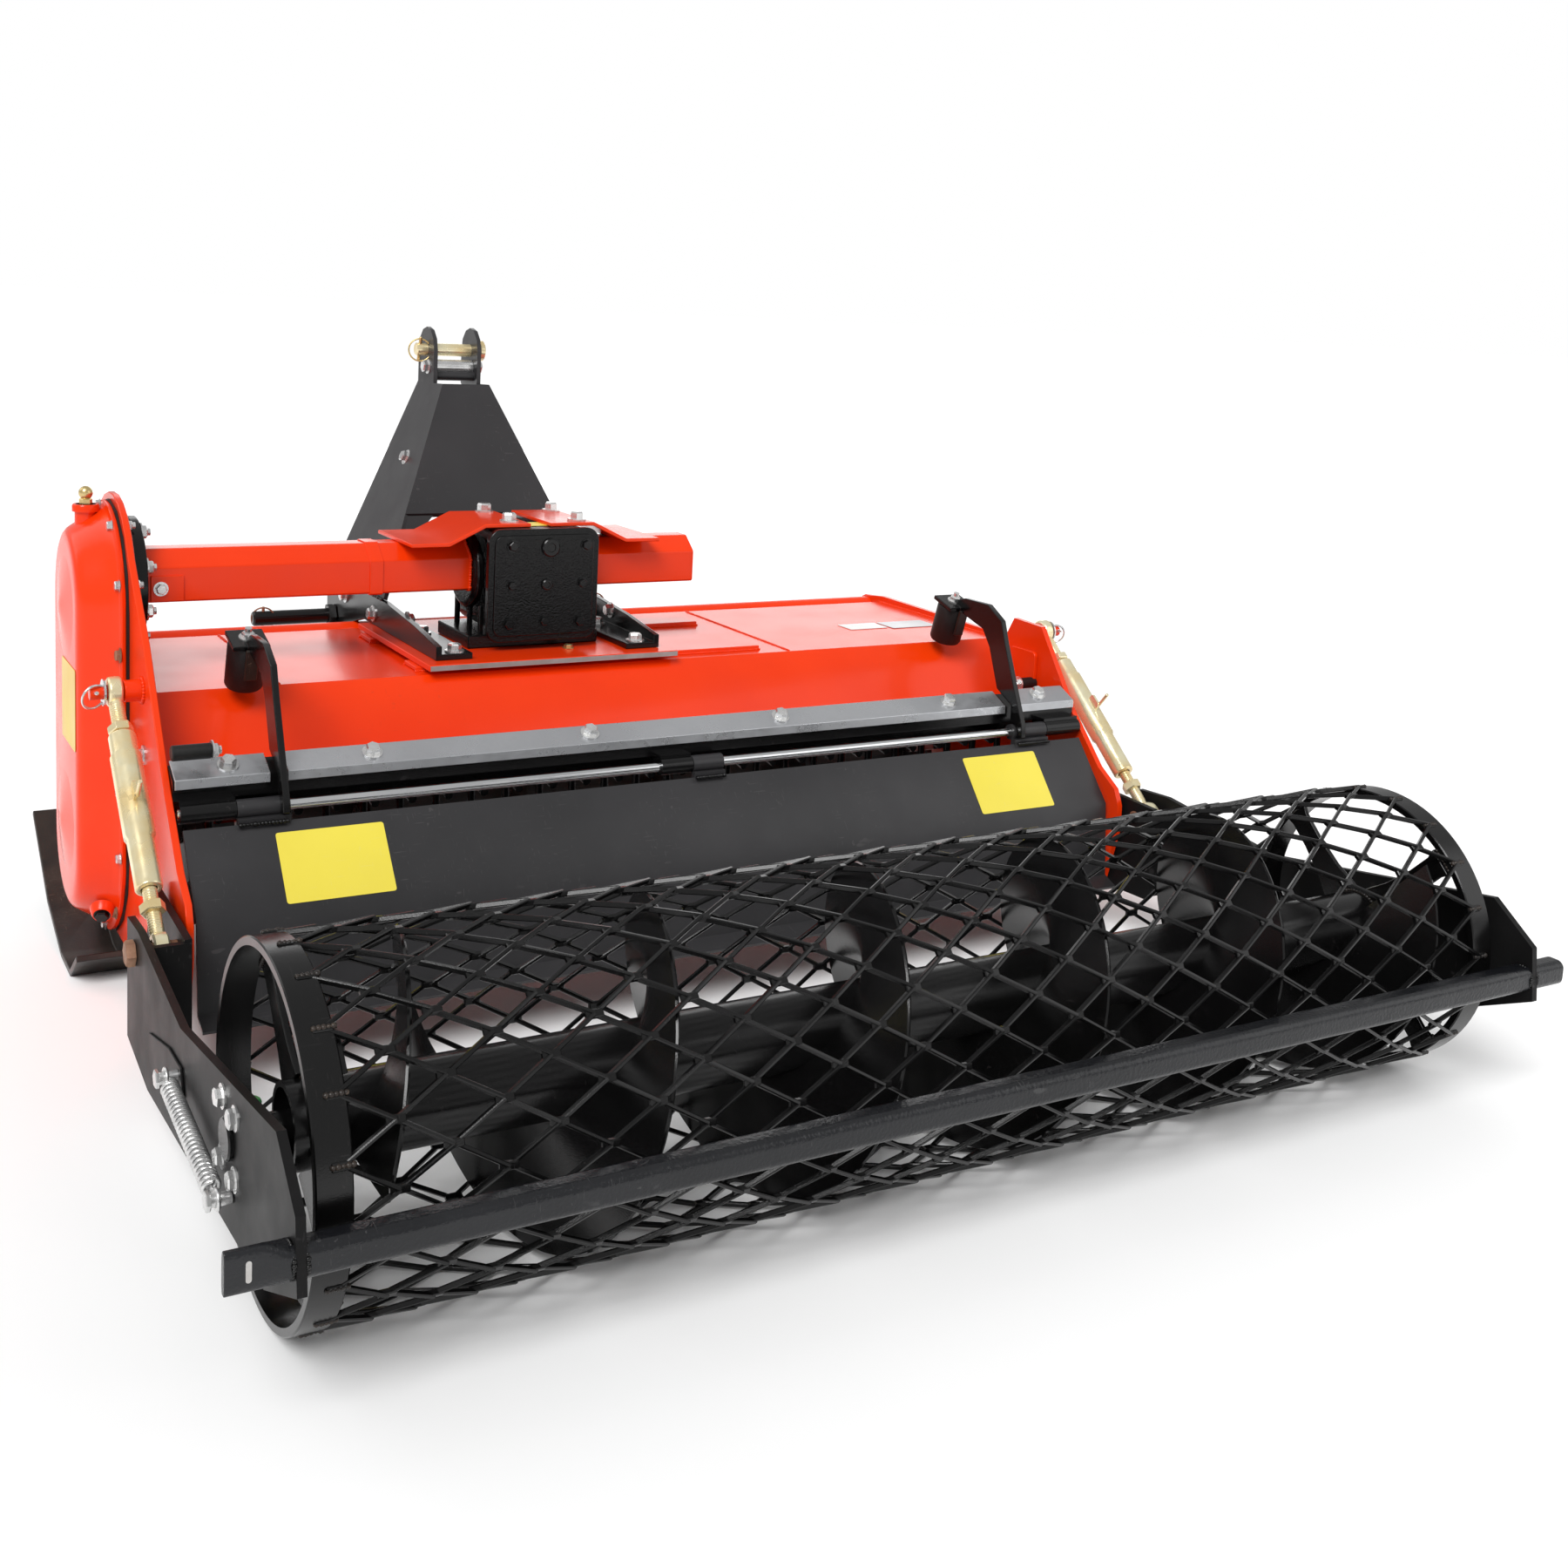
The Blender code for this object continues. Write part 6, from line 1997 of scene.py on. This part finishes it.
@dataclass
class Gate:
    """Levelling gate with sleeves, blank labels, stop arms and rubber buffers."""

    top: Pair = (-0.278, 0.269)
    fold: Pair = (-0.345, 0.19)
    thick: float = 0.004
    label_spans: tuple[tuple[Pair, Pair], ...] = (
        ((-0.532, -0.4085), (0.12, 0.97)), ((0.4155, 0.54), (0.11, 0.96)),
    )
    sleeves: tuple[Pair, ...] = ((-0.572, -0.514), (0.0, 0.044), (0.514, 0.572))
    stop_x: float = 0.5195
    buffer_radius: float = 0.023
    buffer_length: float = 0.058
    crown: Pair = (-0.1086, 0.4396)
    tilt: float = math.radians(16.7)

    def build(self) -> None:
        """Makes the labels, buffers, straps, bolts and weld beads."""
        self._build_labels()
        for side in Side:
            self._build_buffer(side)
        beads = [
            [(x, -0.2855, 0.2712) for x in (low + 0.003, high - 0.003)]
            for low, high in self.sleeves
        ]
        weld_beads("gate_sleeve_welds", "gate_unit", BLACK, beads, 0.003)

    def _build_labels(self) -> None:
        """Makes the two blank labels on the sloping panel."""
        low, high = Vector((0, *self.fold)), Vector((0, *self.top))
        slope = (high - low).normalized()
        out = Vector((0, -slope.z, slope.y))
        for number, ((near, far), (start, end)) in enumerate(self.label_spans):
            centre = high.lerp(low, (start + end) / 2) + out * (self.thick / 2 + 0.0001)
            centre.x = (near + far) / 2
            height = (high - low).length * (end - start)
            place = Matrix(((1, 0, 0), slope, out)).transposed().to_4x4()
            place.translation = centre
            outline = rounded_rect((far - near) / 2, height / 2 - 0.002, 0.003, 3)
            label = Shape().prism(outline, 0.0005, place)
            label.piece(f"gate_label_blank_{number + 1}", "gate_unit", YELLOW_LABEL)

    def _build_buffer(self, side: Side) -> None:
        """Makes one rubber buffer with its dished strap, bolt and stud.

        Args:
            side: The side it is on.
        """
        down = Vector((0, math.sin(self.tilt), -math.cos(self.tilt)))
        crown = Vector((side.value * self.stop_x, *self.crown))
        radius, length = self.buffer_radius, self.buffer_length
        rim = [(0.0, radius - 0.003), (0.0008, radius - 0.001), (0.003, radius)]
        foot = [(length - 0.004, radius), (length - 0.001, radius - 0.0015)]
        drum = Shape().turned(capped(*rim, *foot, (length, radius - 0.004)), crown, down, 44)
        drum.piece(f"buffer_drum_{side.tag}", "gate_unit", RUBBER, [f"buffer_{side.tag}"])
        across = down.cross(Vector((1, 0, 0)))
        strap_at = crown + down * 0.017 + across * (radius + 0.003)
        place = Matrix.Translation(strap_at) @ Matrix.Rotation(self.tilt, 4, "X")
        strap = Shape().block((0.015, 0.0045, 0.04), place)
        strap.piece(f"buffer_strap_{side.tag}", "gate_unit", BLACK_WORN, bevel=0.0012)
        name, up = f"buffer_bolt_{side.tag}", -down
        sizes = (0.0078, 0.006, 0.011, 0.0018, 0.0042, 0.006)
        bolt = ScrewSet(name, "gate_unit", ZINC_BOLT, *sizes)
        bolt.add(tuple(crown + up * 0.0062), tuple(up)).build()

    def dress(self) -> None:
        """Paints the gate and its stop arms."""
        dress_node("gate", CHARCOAL, 0.001)
        dress_sides("stop_arm", BLACK, 0.001)


# Depth frame


@dataclass
class DepthFrame:
    """Arms that carry the roller, with the rear bar, springs and bearings."""

    inner_x: float = 0.65
    outer_x: float = 0.692
    arm_thick: float = 0.008
    bar: Pair = (-0.9755, 0.158)
    bar_radius: float = 0.014
    bar_half: float = 0.75
    roller: Pair = (-0.787, 0.165)
    link: Pair = (-0.385, 0.18)
    spring_x: float = 0.713
    spring_start: Pair = (-0.6, 0.14)
    spring_end: Pair = (-0.8, 0.12)
    spring_radius: float = 0.009
    wire: float = 0.0018
    coils: float = 25.0

    @property
    def face_x(self) -> float:
        """Distance of the arms' outer faces from the middle."""
        return self.outer_x + self.arm_thick

    def build(self) -> None:
        """Makes the bar, springs, bearings, pins, bolts and weld beads."""
        self._build_bar()
        bolts = ScrewSet("depth_arm_bolts", "depth_frame", ZINC_BOLT, 0.0085, 0.0062, 0.011, 0.0016)
        for side in Side:
            self._build_spring(side)
            self._build_anchor(side)
            self._build_bearing(side)
            self._build_link_pin(side)
            for y_z in ((-0.765, 0.192), (-0.809, 0.192), (-0.765, 0.139), (-0.809, 0.139)):
                bolts.add((side.value * self.face_x, *y_z), (side.value, 0, 0))
        bolts.build()

    def _build_bar(self) -> None:
        """Makes the rear bar with its flattened, slotted left end and weld rings."""
        section = rounded_rect(self.bar_radius - 0.001, self.bar_radius, 0.0085, 6)
        half, (bar_y, bar_z) = self.bar_half, self.bar
        stations = [(0.0005 - half, 0.36, 1.22), (0.03 - half, 0.36, 1.22)]
        stations += [(0.044 - half, 1.0, 1.0), (half - 0.003, 1.0, 1.0), (half, 0.86, 0.86)]
        bar = Shape().loft([
            [(x, bar_y + deep * y, bar_z + tall * z) for y, z in section]
            for x, deep, tall in stations
        ])
        bar.piece("rear_bar_round", "depth_frame", BLACK_SCUFFED, ["rear_bar"], bevel=0.0008)
        faces = (self.outer_x - 0.0012, self.face_x + 0.0012)
        ends = [(sign * x, *self.bar) for sign in (-1, 1) for x in faces]
        rings = [ring_points(end, "X", 0.0136, 28) for end in ends]
        weld_beads("rear_bar_welds", "depth_frame", BLACK, rings, 0.0024)
        place = Matrix.Translation((0.018 - half, bar_y - 0.0044, bar_z)) @ REARWARD
        slot = Shape().prism(rounded_rect(0.0022, 0.0085, 0.0021, 4), 0.0006, place)
        slot.piece("rear_bar_slot", "depth_frame", BARE_STEEL)

    def _build_spring(self, side: Side) -> None:
        """Makes one scraper spring: coils between two hooks on studs.

        Args:
            side: The side it is on.
        """
        sign = side.value
        start, end = (
            Vector((sign * self.spring_x, *yz)) for yz in (self.spring_start, self.spring_end)
        )
        along = (end - start).normalized()
        inset = 0.016
        length = (end - start).length - 2 * inset
        winding = (self.coils, self.spring_radius - self.wire, length, 2 * self.wire, 8)
        coil = wound(start + along * inset, along, *winding, ZINC_BOLT)
        finish_piece(
            coil, f"spring_coil_{side.tag}", "depth_frame", ZINC_BOLT,
            [f"scraper_spring_{side.tag}"],
        )
        studs, hooks = Shape(), Shape()
        plate_x, far_x = sign * (self.face_x + 0.0003), self.spring_x
        for place, way in ((start, 1), (end, -1)):
            y_z = (place.y, place.z)
            studs.rod(plate_x, sign * (far_x + 0.0095), y_z, 0.0058, 0.001)
            studs.rod(sign * (far_x + 0.0055), sign * (far_x + 0.01), y_z, 0.0088, 0.001, 6)
            hooks.hoop(tuple(place), (sign, 0, 0), 0.0078, 0.0019)
            root, tip = (place + along * way * reach for reach in (0.0078, inset + 0.003))
            hooks.bar(tuple(root), tuple(tip), 0.0019)
        studs.piece(f"spring_studs_{side.tag}", "depth_frame", ZINC_BOLT)
        hooks.piece(f"spring_hooks_{side.tag}", "depth_frame", ZINC_BOLT)

    def _build_anchor(self, side: Side) -> None:
        """Makes the plate that holds a spring's upper end.

        Args:
            side: The side it is on.
        """
        outline = [(-0.47, 0.092), (-0.468, 0.128), (-0.56, 0.15), (-0.612, 0.152)]
        outline += [(-0.622, 0.128), (-0.6, 0.112)]
        near_x, far_x = (side.value * (self.face_x + out) for out in (0.0001, 0.0026))
        anchor = Shape().plate(outline, near_x, far_x)
        anchor.piece(f"spring_anchor_{side.tag}", "depth_frame", CHARCOAL_ARM, bevel=0.0008)

    def _build_bearing(self, side: Side) -> None:
        """Makes one flanged roller bearing with its green grease cap and hub cap.

        Args:
            side: The side it is on.
        """
        sign, (y, z) = side.value, self.roller
        profile = (
            (0.0, 0.0155), (0.0, 0.0365), (0.0012, 0.038), (0.0058, 0.038), (0.007, 0.0368),
            (0.0075, 0.029), (0.012, 0.0255), (0.014, 0.025), (0.015, 0.0238), (0.015, 0.0155),
        )
        bearing = Shape().lathe(profile, (sign * (self.outer_x - 0.0003), y, z), -sign, 44)
        node = f"roller_bearing_{side.tag}"
        bearing.piece(f"roller_housing_{side.tag}", "depth_frame", CASTING, [node])
        nipple = capped((0.0, 0.0055), (0.0035, 0.0055), (0.0055, 0.0035))
        place = (sign * (self.outer_x - 0.012), y, z + 0.0262)
        cap = Shape().turned(nipple, place, (-sign * 0.5, 0, 1), 20)
        cap.piece(f"grease_cap_{side.tag}", "depth_frame", GREEN_CAP)
        lid = capped((0.0, 0.0185), (0.0035, 0.0185), (0.005, 0.017))
        boss = Shape().lathe(lid, (sign * self.face_x, y, z), sign, 36)
        boss.piece(f"roller_hub_cap_{side.tag}", "depth_frame", BLACK)

    def _build_link_pin(self, side: Side) -> None:
        """Makes the pin that holds a turnbuckle's lower eye.

        Args:
            side: The side it is on.
        """
        sign = side.value
        near, far = (sign * x for x in (self.inner_x - 0.003, self.face_x + 0.001))
        pin = Shape().rod(near, far, self.link, 0.008, 0.001)
        head = capped((0.0, 0.014), (0.0072, 0.014), (0.0092, 0.0122))
        pin.lathe(head, (sign * (self.face_x + 0.0006), *self.link), sign, 6)
        pin.piece(f"link_pin_{side.tag}", "depth_frame", RUSTY_BOLT, [f"turnbuckle_pin_{side.tag}"])

    def dress(self) -> None:
        """Paints both arms."""
        dress_sides("depth_arm", CHARCOAL_ARM, 0.001)


@dataclass
class Turnbuckles:
    """Plated turnbuckles: a barrel with an eye and a handle, and a threaded rod."""

    x: float = 0.675
    top: Pair = (-0.13, 0.395)
    low: Pair = (-0.385, 0.18)
    eye_radius: float = 0.018
    eye_width: float = 0.016
    barrel: Pair = (0.062, 0.262)
    barrel_radius: float = 0.0168
    rod_radius: float = 0.008
    lock_nut: float = 0.279
    thread_pitch: float = 0.003
    thread_wire: float = 0.0016

    def build(self) -> None:
        """Makes both turnbuckles."""
        for side in Side:
            self._build_barrel(side)
            self._build_rod(side)

    def _line(self, side: Side) -> tuple[Vector, Vector, Vector]:
        """The upper eye, the lower eye and the direction between them."""
        top, low = (Vector((side.value * self.x, *y_z)) for y_z in (self.top, self.low))
        return top, low, (low - top).normalized()

    def _thread(self, start: Vector, along: Vector, length: float, core: float) -> bpy.types.Mesh:
        """Grows the ridge of a thread, wound on a core's radius."""
        turns = length / self.thread_pitch
        return wound(start, along, turns, core, length, self.thread_wire, 5, YELLOW_ZINC)

    def _eye(self, shape: Shape, centre: Vector, bore: float) -> None:
        """Adds an eye with rounded rims to a shape.

        Args:
            shape: The shape.
            centre: The eye's centre.
            bore: Its hole's radius.
        """
        half, rim = self.eye_width / 2, self.eye_radius
        profile = (
            (-half, bore), (-half, rim - 0.003), (-half + 0.002, rim - 0.0006), (0.0, rim),
            (half - 0.002, rim - 0.0006), (half, rim - 0.003), (half, bore),
        )
        shape.lathe(profile, centre, 1, 40)

    def _build_barrel(self, side: Side) -> None:
        """Makes one barrel with its eye, neck nut, thread and handle.

        Args:
            side: The side it is on.
        """
        top, _, along = self._line(side)
        start, end = self.barrel
        radius, slim = self.barrel_radius, self.barrel_radius - 0.0018
        profile = (
            (start, 0.0087), (start, slim - 0.001), (start + 0.0012, slim), (start + 0.026, slim),
            (start + 0.029, radius), (end - 0.066, radius), (end - 0.061, slim - 0.0006),
            (end - 0.0012, slim - 0.0006), (end, slim - 0.0018), (end, 0.0087),
        )
        barrel = Shape().turned(profile, top, along, 40)
        self._eye(barrel, top, 0.0085)
        barrel.bar(tuple(top + along * 0.0165), tuple(top + along * (start + 0.01)), 0.0078)
        nut = [(start - 0.014, 0.0125), (start - 0.0125, 0.0142)]
        nut += [(start - 0.004, 0.0142), (start - 0.0025, 0.0125)]
        barrel.turned(capped(*nut), top, along, 6)
        body = f"link_barrel_{side.tag}"
        barrel.piece(
            f"turnbuckle_body_{side.tag}", body, YELLOW_ZINC, [f"turnbuckle_barrel_{side.tag}"],
            bevel=0.0009,
        )
        thread = self._thread(top + along * 0.02, along, start - 0.036, 0.0078)
        finish_piece(thread, f"barrel_thread_{side.tag}", body, YELLOW_ZINC)
        out = Vector((0, -along.z, along.y))
        if out.y > 0:
            out = -out
        lie = along.to_track_quat("X", "Z").to_matrix().to_4x4()
        place = Matrix.Translation(top + along * 0.15 + out * 0.0195) @ lie
        upright = Matrix.Rotation(math.radians(90), 4, "X")
        handle = Shape().prism(rounded_rect(0.01, 0.008, 0.003, 3), 0.0035, place @ upright)
        grip = top + along * 0.158
        handle.bar(tuple(grip + out * 0.022), tuple(grip + out * 0.05), 0.0024, 0.0006)
        handle.piece(f"turnbuckle_handle_{side.tag}", body, YELLOW_ZINC)

    def _build_rod(self, side: Side) -> None:
        """Makes one rod with its eye, thread and lock nut.

        Args:
            side: The side it is on.
        """
        top, low, along = self._line(side)
        ends = (tuple(top + along * 0.151), tuple(low - along * 0.0165))
        rod = Shape().bar(*ends, self.rod_radius - 0.0006)
        self._eye(rod, low, 0.011)
        start, body = self.lock_nut, f"link_rod_{side.tag}"
        nut = [(start, 0.0118), (start + 0.0012, 0.0134), (start + 0.0108, 0.0134)]
        rod.turned(capped(*nut, (start + 0.012, 0.0118)), top, along, 6)
        node = f"turnbuckle_rod_{side.tag}"
        rod.piece(f"turnbuckle_screw_{side.tag}", body, YELLOW_ZINC, [node])
        length = (low - top).length - 0.263 - 0.02
        thread = self._thread(top + along * 0.263, along, length, 0.0072)
        finish_piece(thread, f"rod_thread_{side.tag}", body, YELLOW_ZINC)


# Roller


@dataclass
class Roller:
    """Cage roller of expanded mesh with a helical flight inside."""

    axis: Pair = (-0.787, 0.165)
    radius: float = 0.165
    ring_outer_x: float = 0.674
    ring_width: float = 0.03
    ring_thick: float = 0.008
    ring_radius: float = 0.1612
    rows: int = 19
    columns: int = 30
    mesh_half: float = 0.653
    mesh_depth: float = 0.0052
    core_radius: float = 0.038
    core_half: float = 0.655
    stub_radius: float = 0.015
    stub_half: float = 0.69
    flight_radius: float = 0.154
    flight_half: float = 0.615
    flight_pitch: float = 0.24
    flight_thick: float = 0.004
    flight_steps: int = 56
    spokes: int = 4
    spoke_x: float = 0.638

    def build(self) -> None:
        """Makes the cage, the core with its flight, the spokes and the weld beads."""
        self._build_cage()
        self._build_core()
        self._build_flight()
        self._build_spokes()

    def _around(self, x: float, out: float, angle: float) -> Point:
        """A point at a radius and an angle from the top of the roller's axis."""
        return (x, self.axis[0] - out * math.sin(angle), self.axis[1] + out * math.cos(angle))

    def _build_cage(self) -> None:
        """Grows the expanded mesh and makes its end rings and their welds."""
        step = 2 * self.mesh_half / (self.columns - 1)
        pitch = FULL_TURN / self.rows
        chord = 2 * self.radius * math.sin(pitch / 4)
        values = {
            "Rows": self.rows, "Columns": self.columns, "Step": step,
            "Radius": self.radius - 0.0025, "Depth": self.mesh_depth, "Knot Length": 0.0165,
            "Knot Width": 0.0074, "Strand Width": 0.004,
            "Strand Length": math.hypot(step, chord) + 0.001,
            "Strand Turn": math.atan2(chord, step), "Strand Twist": 0.3,
        }
        lattice = LATTICE.grow(bpy.data.meshes.new("cage_base"), values, BLACK_WORN)
        lattice.transform(Matrix.Translation((0, *self.axis)))
        cage = finish_piece(lattice, "cage_expanded_mesh", "roller", BLACK, ["roller_cage"])
        add_bevel(cage, 0.0009, 1)
        outer, wide, edge = self.ring_radius, self.ring_width, 0.0012
        inner = outer - self.ring_thick
        profile = [(0.0, inner), (0.0, outer - edge), (edge, outer)]
        profile += [(wide - edge, outer), (wide, outer - edge), (wide, inner)]
        rings = Shape()
        for sign in (-1, 1):
            rings.lathe(profile, (sign * (self.ring_outer_x - wide), *self.axis), sign, 96)
        rings.piece("cage_end_rings", "roller", BLACK)
        knots = []
        for sign, offset in ((-1, 0.0), (1, (self.columns - 1) % 2 / 2)):
            for row in range(self.rows):
                x, angle = sign * self.mesh_half, (row + offset) * pitch
                ends = (x - 0.007, x + 0.009)
                knots.append([self._around(end, outer + 0.0004, angle) for end in ends])
        weld_beads("cage_welds", "roller", BLACK_WORN, knots, 0.003)

    def _build_core(self) -> None:
        """Makes the core tube with its stub shafts set in at both ends."""
        wall, shaft, half = self.core_radius - 0.005, self.stub_radius, self.stub_half
        near, deep = half - self.core_half, half - self.core_half + 0.018
        left = [(0.0, 0.0), (0.0, shaft - 0.001), (0.001, shaft), (deep, shaft)]
        left += [(deep, wall), (near, wall), (near, self.core_radius)]
        right = [(2 * half - along, radius) for along, radius in reversed(left)]
        core = Shape().lathe(left + right, (-half, *self.axis), 1, 48)
        core.piece("roller_core_tube", "roller", BLACK, ["roller_core"])

    def _build_flight(self) -> None:
        """Makes the helical flight."""
        bm = bmesh.new()
        turns = 2 * self.flight_half / self.flight_pitch
        count = round(turns * self.flight_steps)
        root, tip = self.core_radius - 0.003, self.flight_radius
        edge = ((-1, root), (-1, tip - 0.001), (0, tip), (1, tip - 0.001), (1, root))
        rows = []
        for i in range(count + 1):
            angle = FULL_TURN * turns * i / count
            x = 2 * self.flight_half * i / count - self.flight_half
            y, z = -math.cos(angle), math.sin(angle)
            places = [
                (x + side * self.flight_thick / 2, self.axis[0] + y * r, self.axis[1] + z * r)
                for side, r in edge
            ]
            rows.append([bm.verts.new(place) for place in places])
        for near, far in zip(rows, rows[1:]):
            for i in range(len(edge)):
                j = (i + 1) % len(edge)
                bm.faces.new((near[i], near[j], far[j], far[i]))
        bm.faces.new(rows[0])
        bm.faces.new(rows[-1])
        Shape().take(bm).piece("roller_flight", "roller", BLACK)

    def _build_spokes(self) -> None:
        """Makes the tapered spokes at both ends and the weld beads on them."""
        spokes, beads = Shape(), []
        inner, root = self.ring_radius - self.ring_thick - 0.0003, self.core_radius - 0.004
        right = [(0.026, root), (0.017, 0.07), (0.013, 0.11), (0.013, inner - 0.012)]
        right += [(0.017, inner)]
        outline = [(-0.026, root), *right, *((-y, z) for y, z in reversed(right[1:]))]
        for sign in (-1, 1):
            near_x = sign * self.spoke_x
            for number in range(self.spokes):
                turn = Matrix.Rotation(FULL_TURN * (number + 0.5) / self.spokes, 4, "X")
                base = Matrix.Translation((min(near_x, near_x + sign * 0.006), *self.axis))
                spokes.prism(outline, 0.006, base @ turn @ ACROSS)
                end = Vector((near_x + sign * 0.0065, *self.axis))
                tips = [end + turn @ Vector((0, a, inner - 0.001)) for a in (-0.015, 0.015)]
                beads.append([tuple(tip) for tip in tips])
            hub = (sign * (self.spoke_x - 0.001), *self.axis)
            beads.append(ring_points(hub, "X", self.core_radius + 0.001, 36))
        spokes.piece("roller_spokes", "roller", BLACK, bevel=0.001)
        weld_beads("spoke_welds", "roller", BLACK_WORN, beads, 0.003)


# Studio


@dataclass
class Studio:
    """Pale floor, soft lights, and the camera at the photograph's angle."""

    camera_place: Point = (-1.03084, -1.87493, 0.86665)
    camera_turn: Point = (82.0007, -2.7488, -29.4363)
    lens: float = 39.987
    shift: Pair = (0.0305, -0.1506)
    floor_half: float = 90.0
    floor_tone: Colour = (0.98, 0.98, 0.98)
    target: Point = (0.0, -0.1, 0.25)
    sky: float = 0.5

    def build(self) -> None:
        """Makes the floor, the lights, the sky and the camera."""
        scene = bpy.context.scene
        scene.view_settings.view_transform = "Standard"
        self._build_floor()
        self._add_light("key_light", "SUN", (-2.2, -2.4, 3.6), 2.35, math.radians(30))
        self._add_light("rim_light", "AREA", (-2.6, 2.2, 2.4), 14.0, 2.0)
        self._add_light("fill_light", "AREA", (2.6, -2.4, 1.8), 18.0, 2.4)
        self._add_light("back_light", "AREA", (3.0, 6.5, 1.9), 90.0, 5.0)
        world = bpy.data.worlds.new("studio_sky")
        world.use_nodes = True
        tree = world.node_tree
        soft = tree.nodes["Background"]
        soft.inputs["Color"].default_value = (1.0, 1.0, 1.0, 1.0)
        soft.inputs["Strength"].default_value = self.sky
        white = put_node(tree, "ShaderNodeBackground", {"Color": (1.0, 1.0, 1.0, 1.0)})
        seen = put_node(tree, "ShaderNodeLightPath").outputs["Is Camera Ray"]
        both = put_node(
            tree, "ShaderNodeMixShader", {0: seen, 1: soft.outputs[0], 2: white.outputs[0]}
        )
        tree.links.new(both.outputs[0], tree.nodes["World Output"].inputs["Surface"])
        scene.world = world
        camera = bpy.data.cameras.new("camera")
        camera.lens = self.lens
        camera.sensor_width = 36.0
        camera.shift_x, camera.shift_y = self.shift
        camera.clip_end = 300.0
        holder = bpy.data.objects.new("camera", camera)
        holder.location = self.camera_place
        holder.rotation_euler = Euler([math.radians(value) for value in self.camera_turn])
        scene.collection.objects.link(holder)
        scene.camera = holder

    def _add_light(self, name: str, kind: str, place: Point, power: float, size: float) -> None:
        """Adds a light that is turned towards the machine.

        Args:
            name: Its name.
            kind: "SUN" or "AREA".
            place: Where it stands.
            power: Its strength.
            size: A sun's angle, or an area's side.
        """
        light = bpy.data.lights.new(name, kind)
        light.energy = power
        setattr(light, "angle" if kind == "SUN" else "size", size)
        lamp = bpy.data.objects.new(name, light)
        lamp.visible_camera = False
        lamp.location = place
        aim = Vector(self.target) - Vector(place)
        lamp.rotation_euler = aim.to_track_quat("-Z", "Y").to_euler()
        bpy.context.scene.collection.objects.link(lamp)

    def _build_floor(self) -> None:
        """Makes the pale floor."""
        half = self.floor_half
        mesh = bpy.data.meshes.new("floor")
        corners = [(-half, -half, 0), (half, -half, 0), (half, half, 0), (-half, half, 0)]
        mesh.from_pydata(corners, [], [(0, 1, 2, 3)])
        floor = bpy.data.objects.new("floor", mesh)
        bpy.context.scene.collection.objects.link(floor)
        material = bpy.data.materials.new("studio_floor")
        material.use_nodes = True
        shader = material.node_tree.nodes["Principled BSDF"]
        shader.inputs["Base Color"].default_value = (*self.floor_tone, 1.0)
        shader.inputs["Roughness"].default_value = 0.9
        shader.inputs["Specular IOR Level"].default_value = 0.0
        mesh.materials.append(material)


def main() -> None:
    """Builds and dresses every sub-assembly in order."""
    logging.basicConfig(level=logging.INFO, format="%(message)s")
    parts = (
        SidePlates(), Hood(), HingeLine(), ChainCase(), Drive(), Gearbox(), Saddles(), Hitch(),
        Skids(), SortingGrid(), Rotor(), Gate(), DepthFrame(), Turnbuckles(), Roller(),
    )
    for part in parts:
        part.build()
        if hasattr(part, "dress"):
            part.dress()
    Studio().build()


if __name__ == "__main__":
    main()
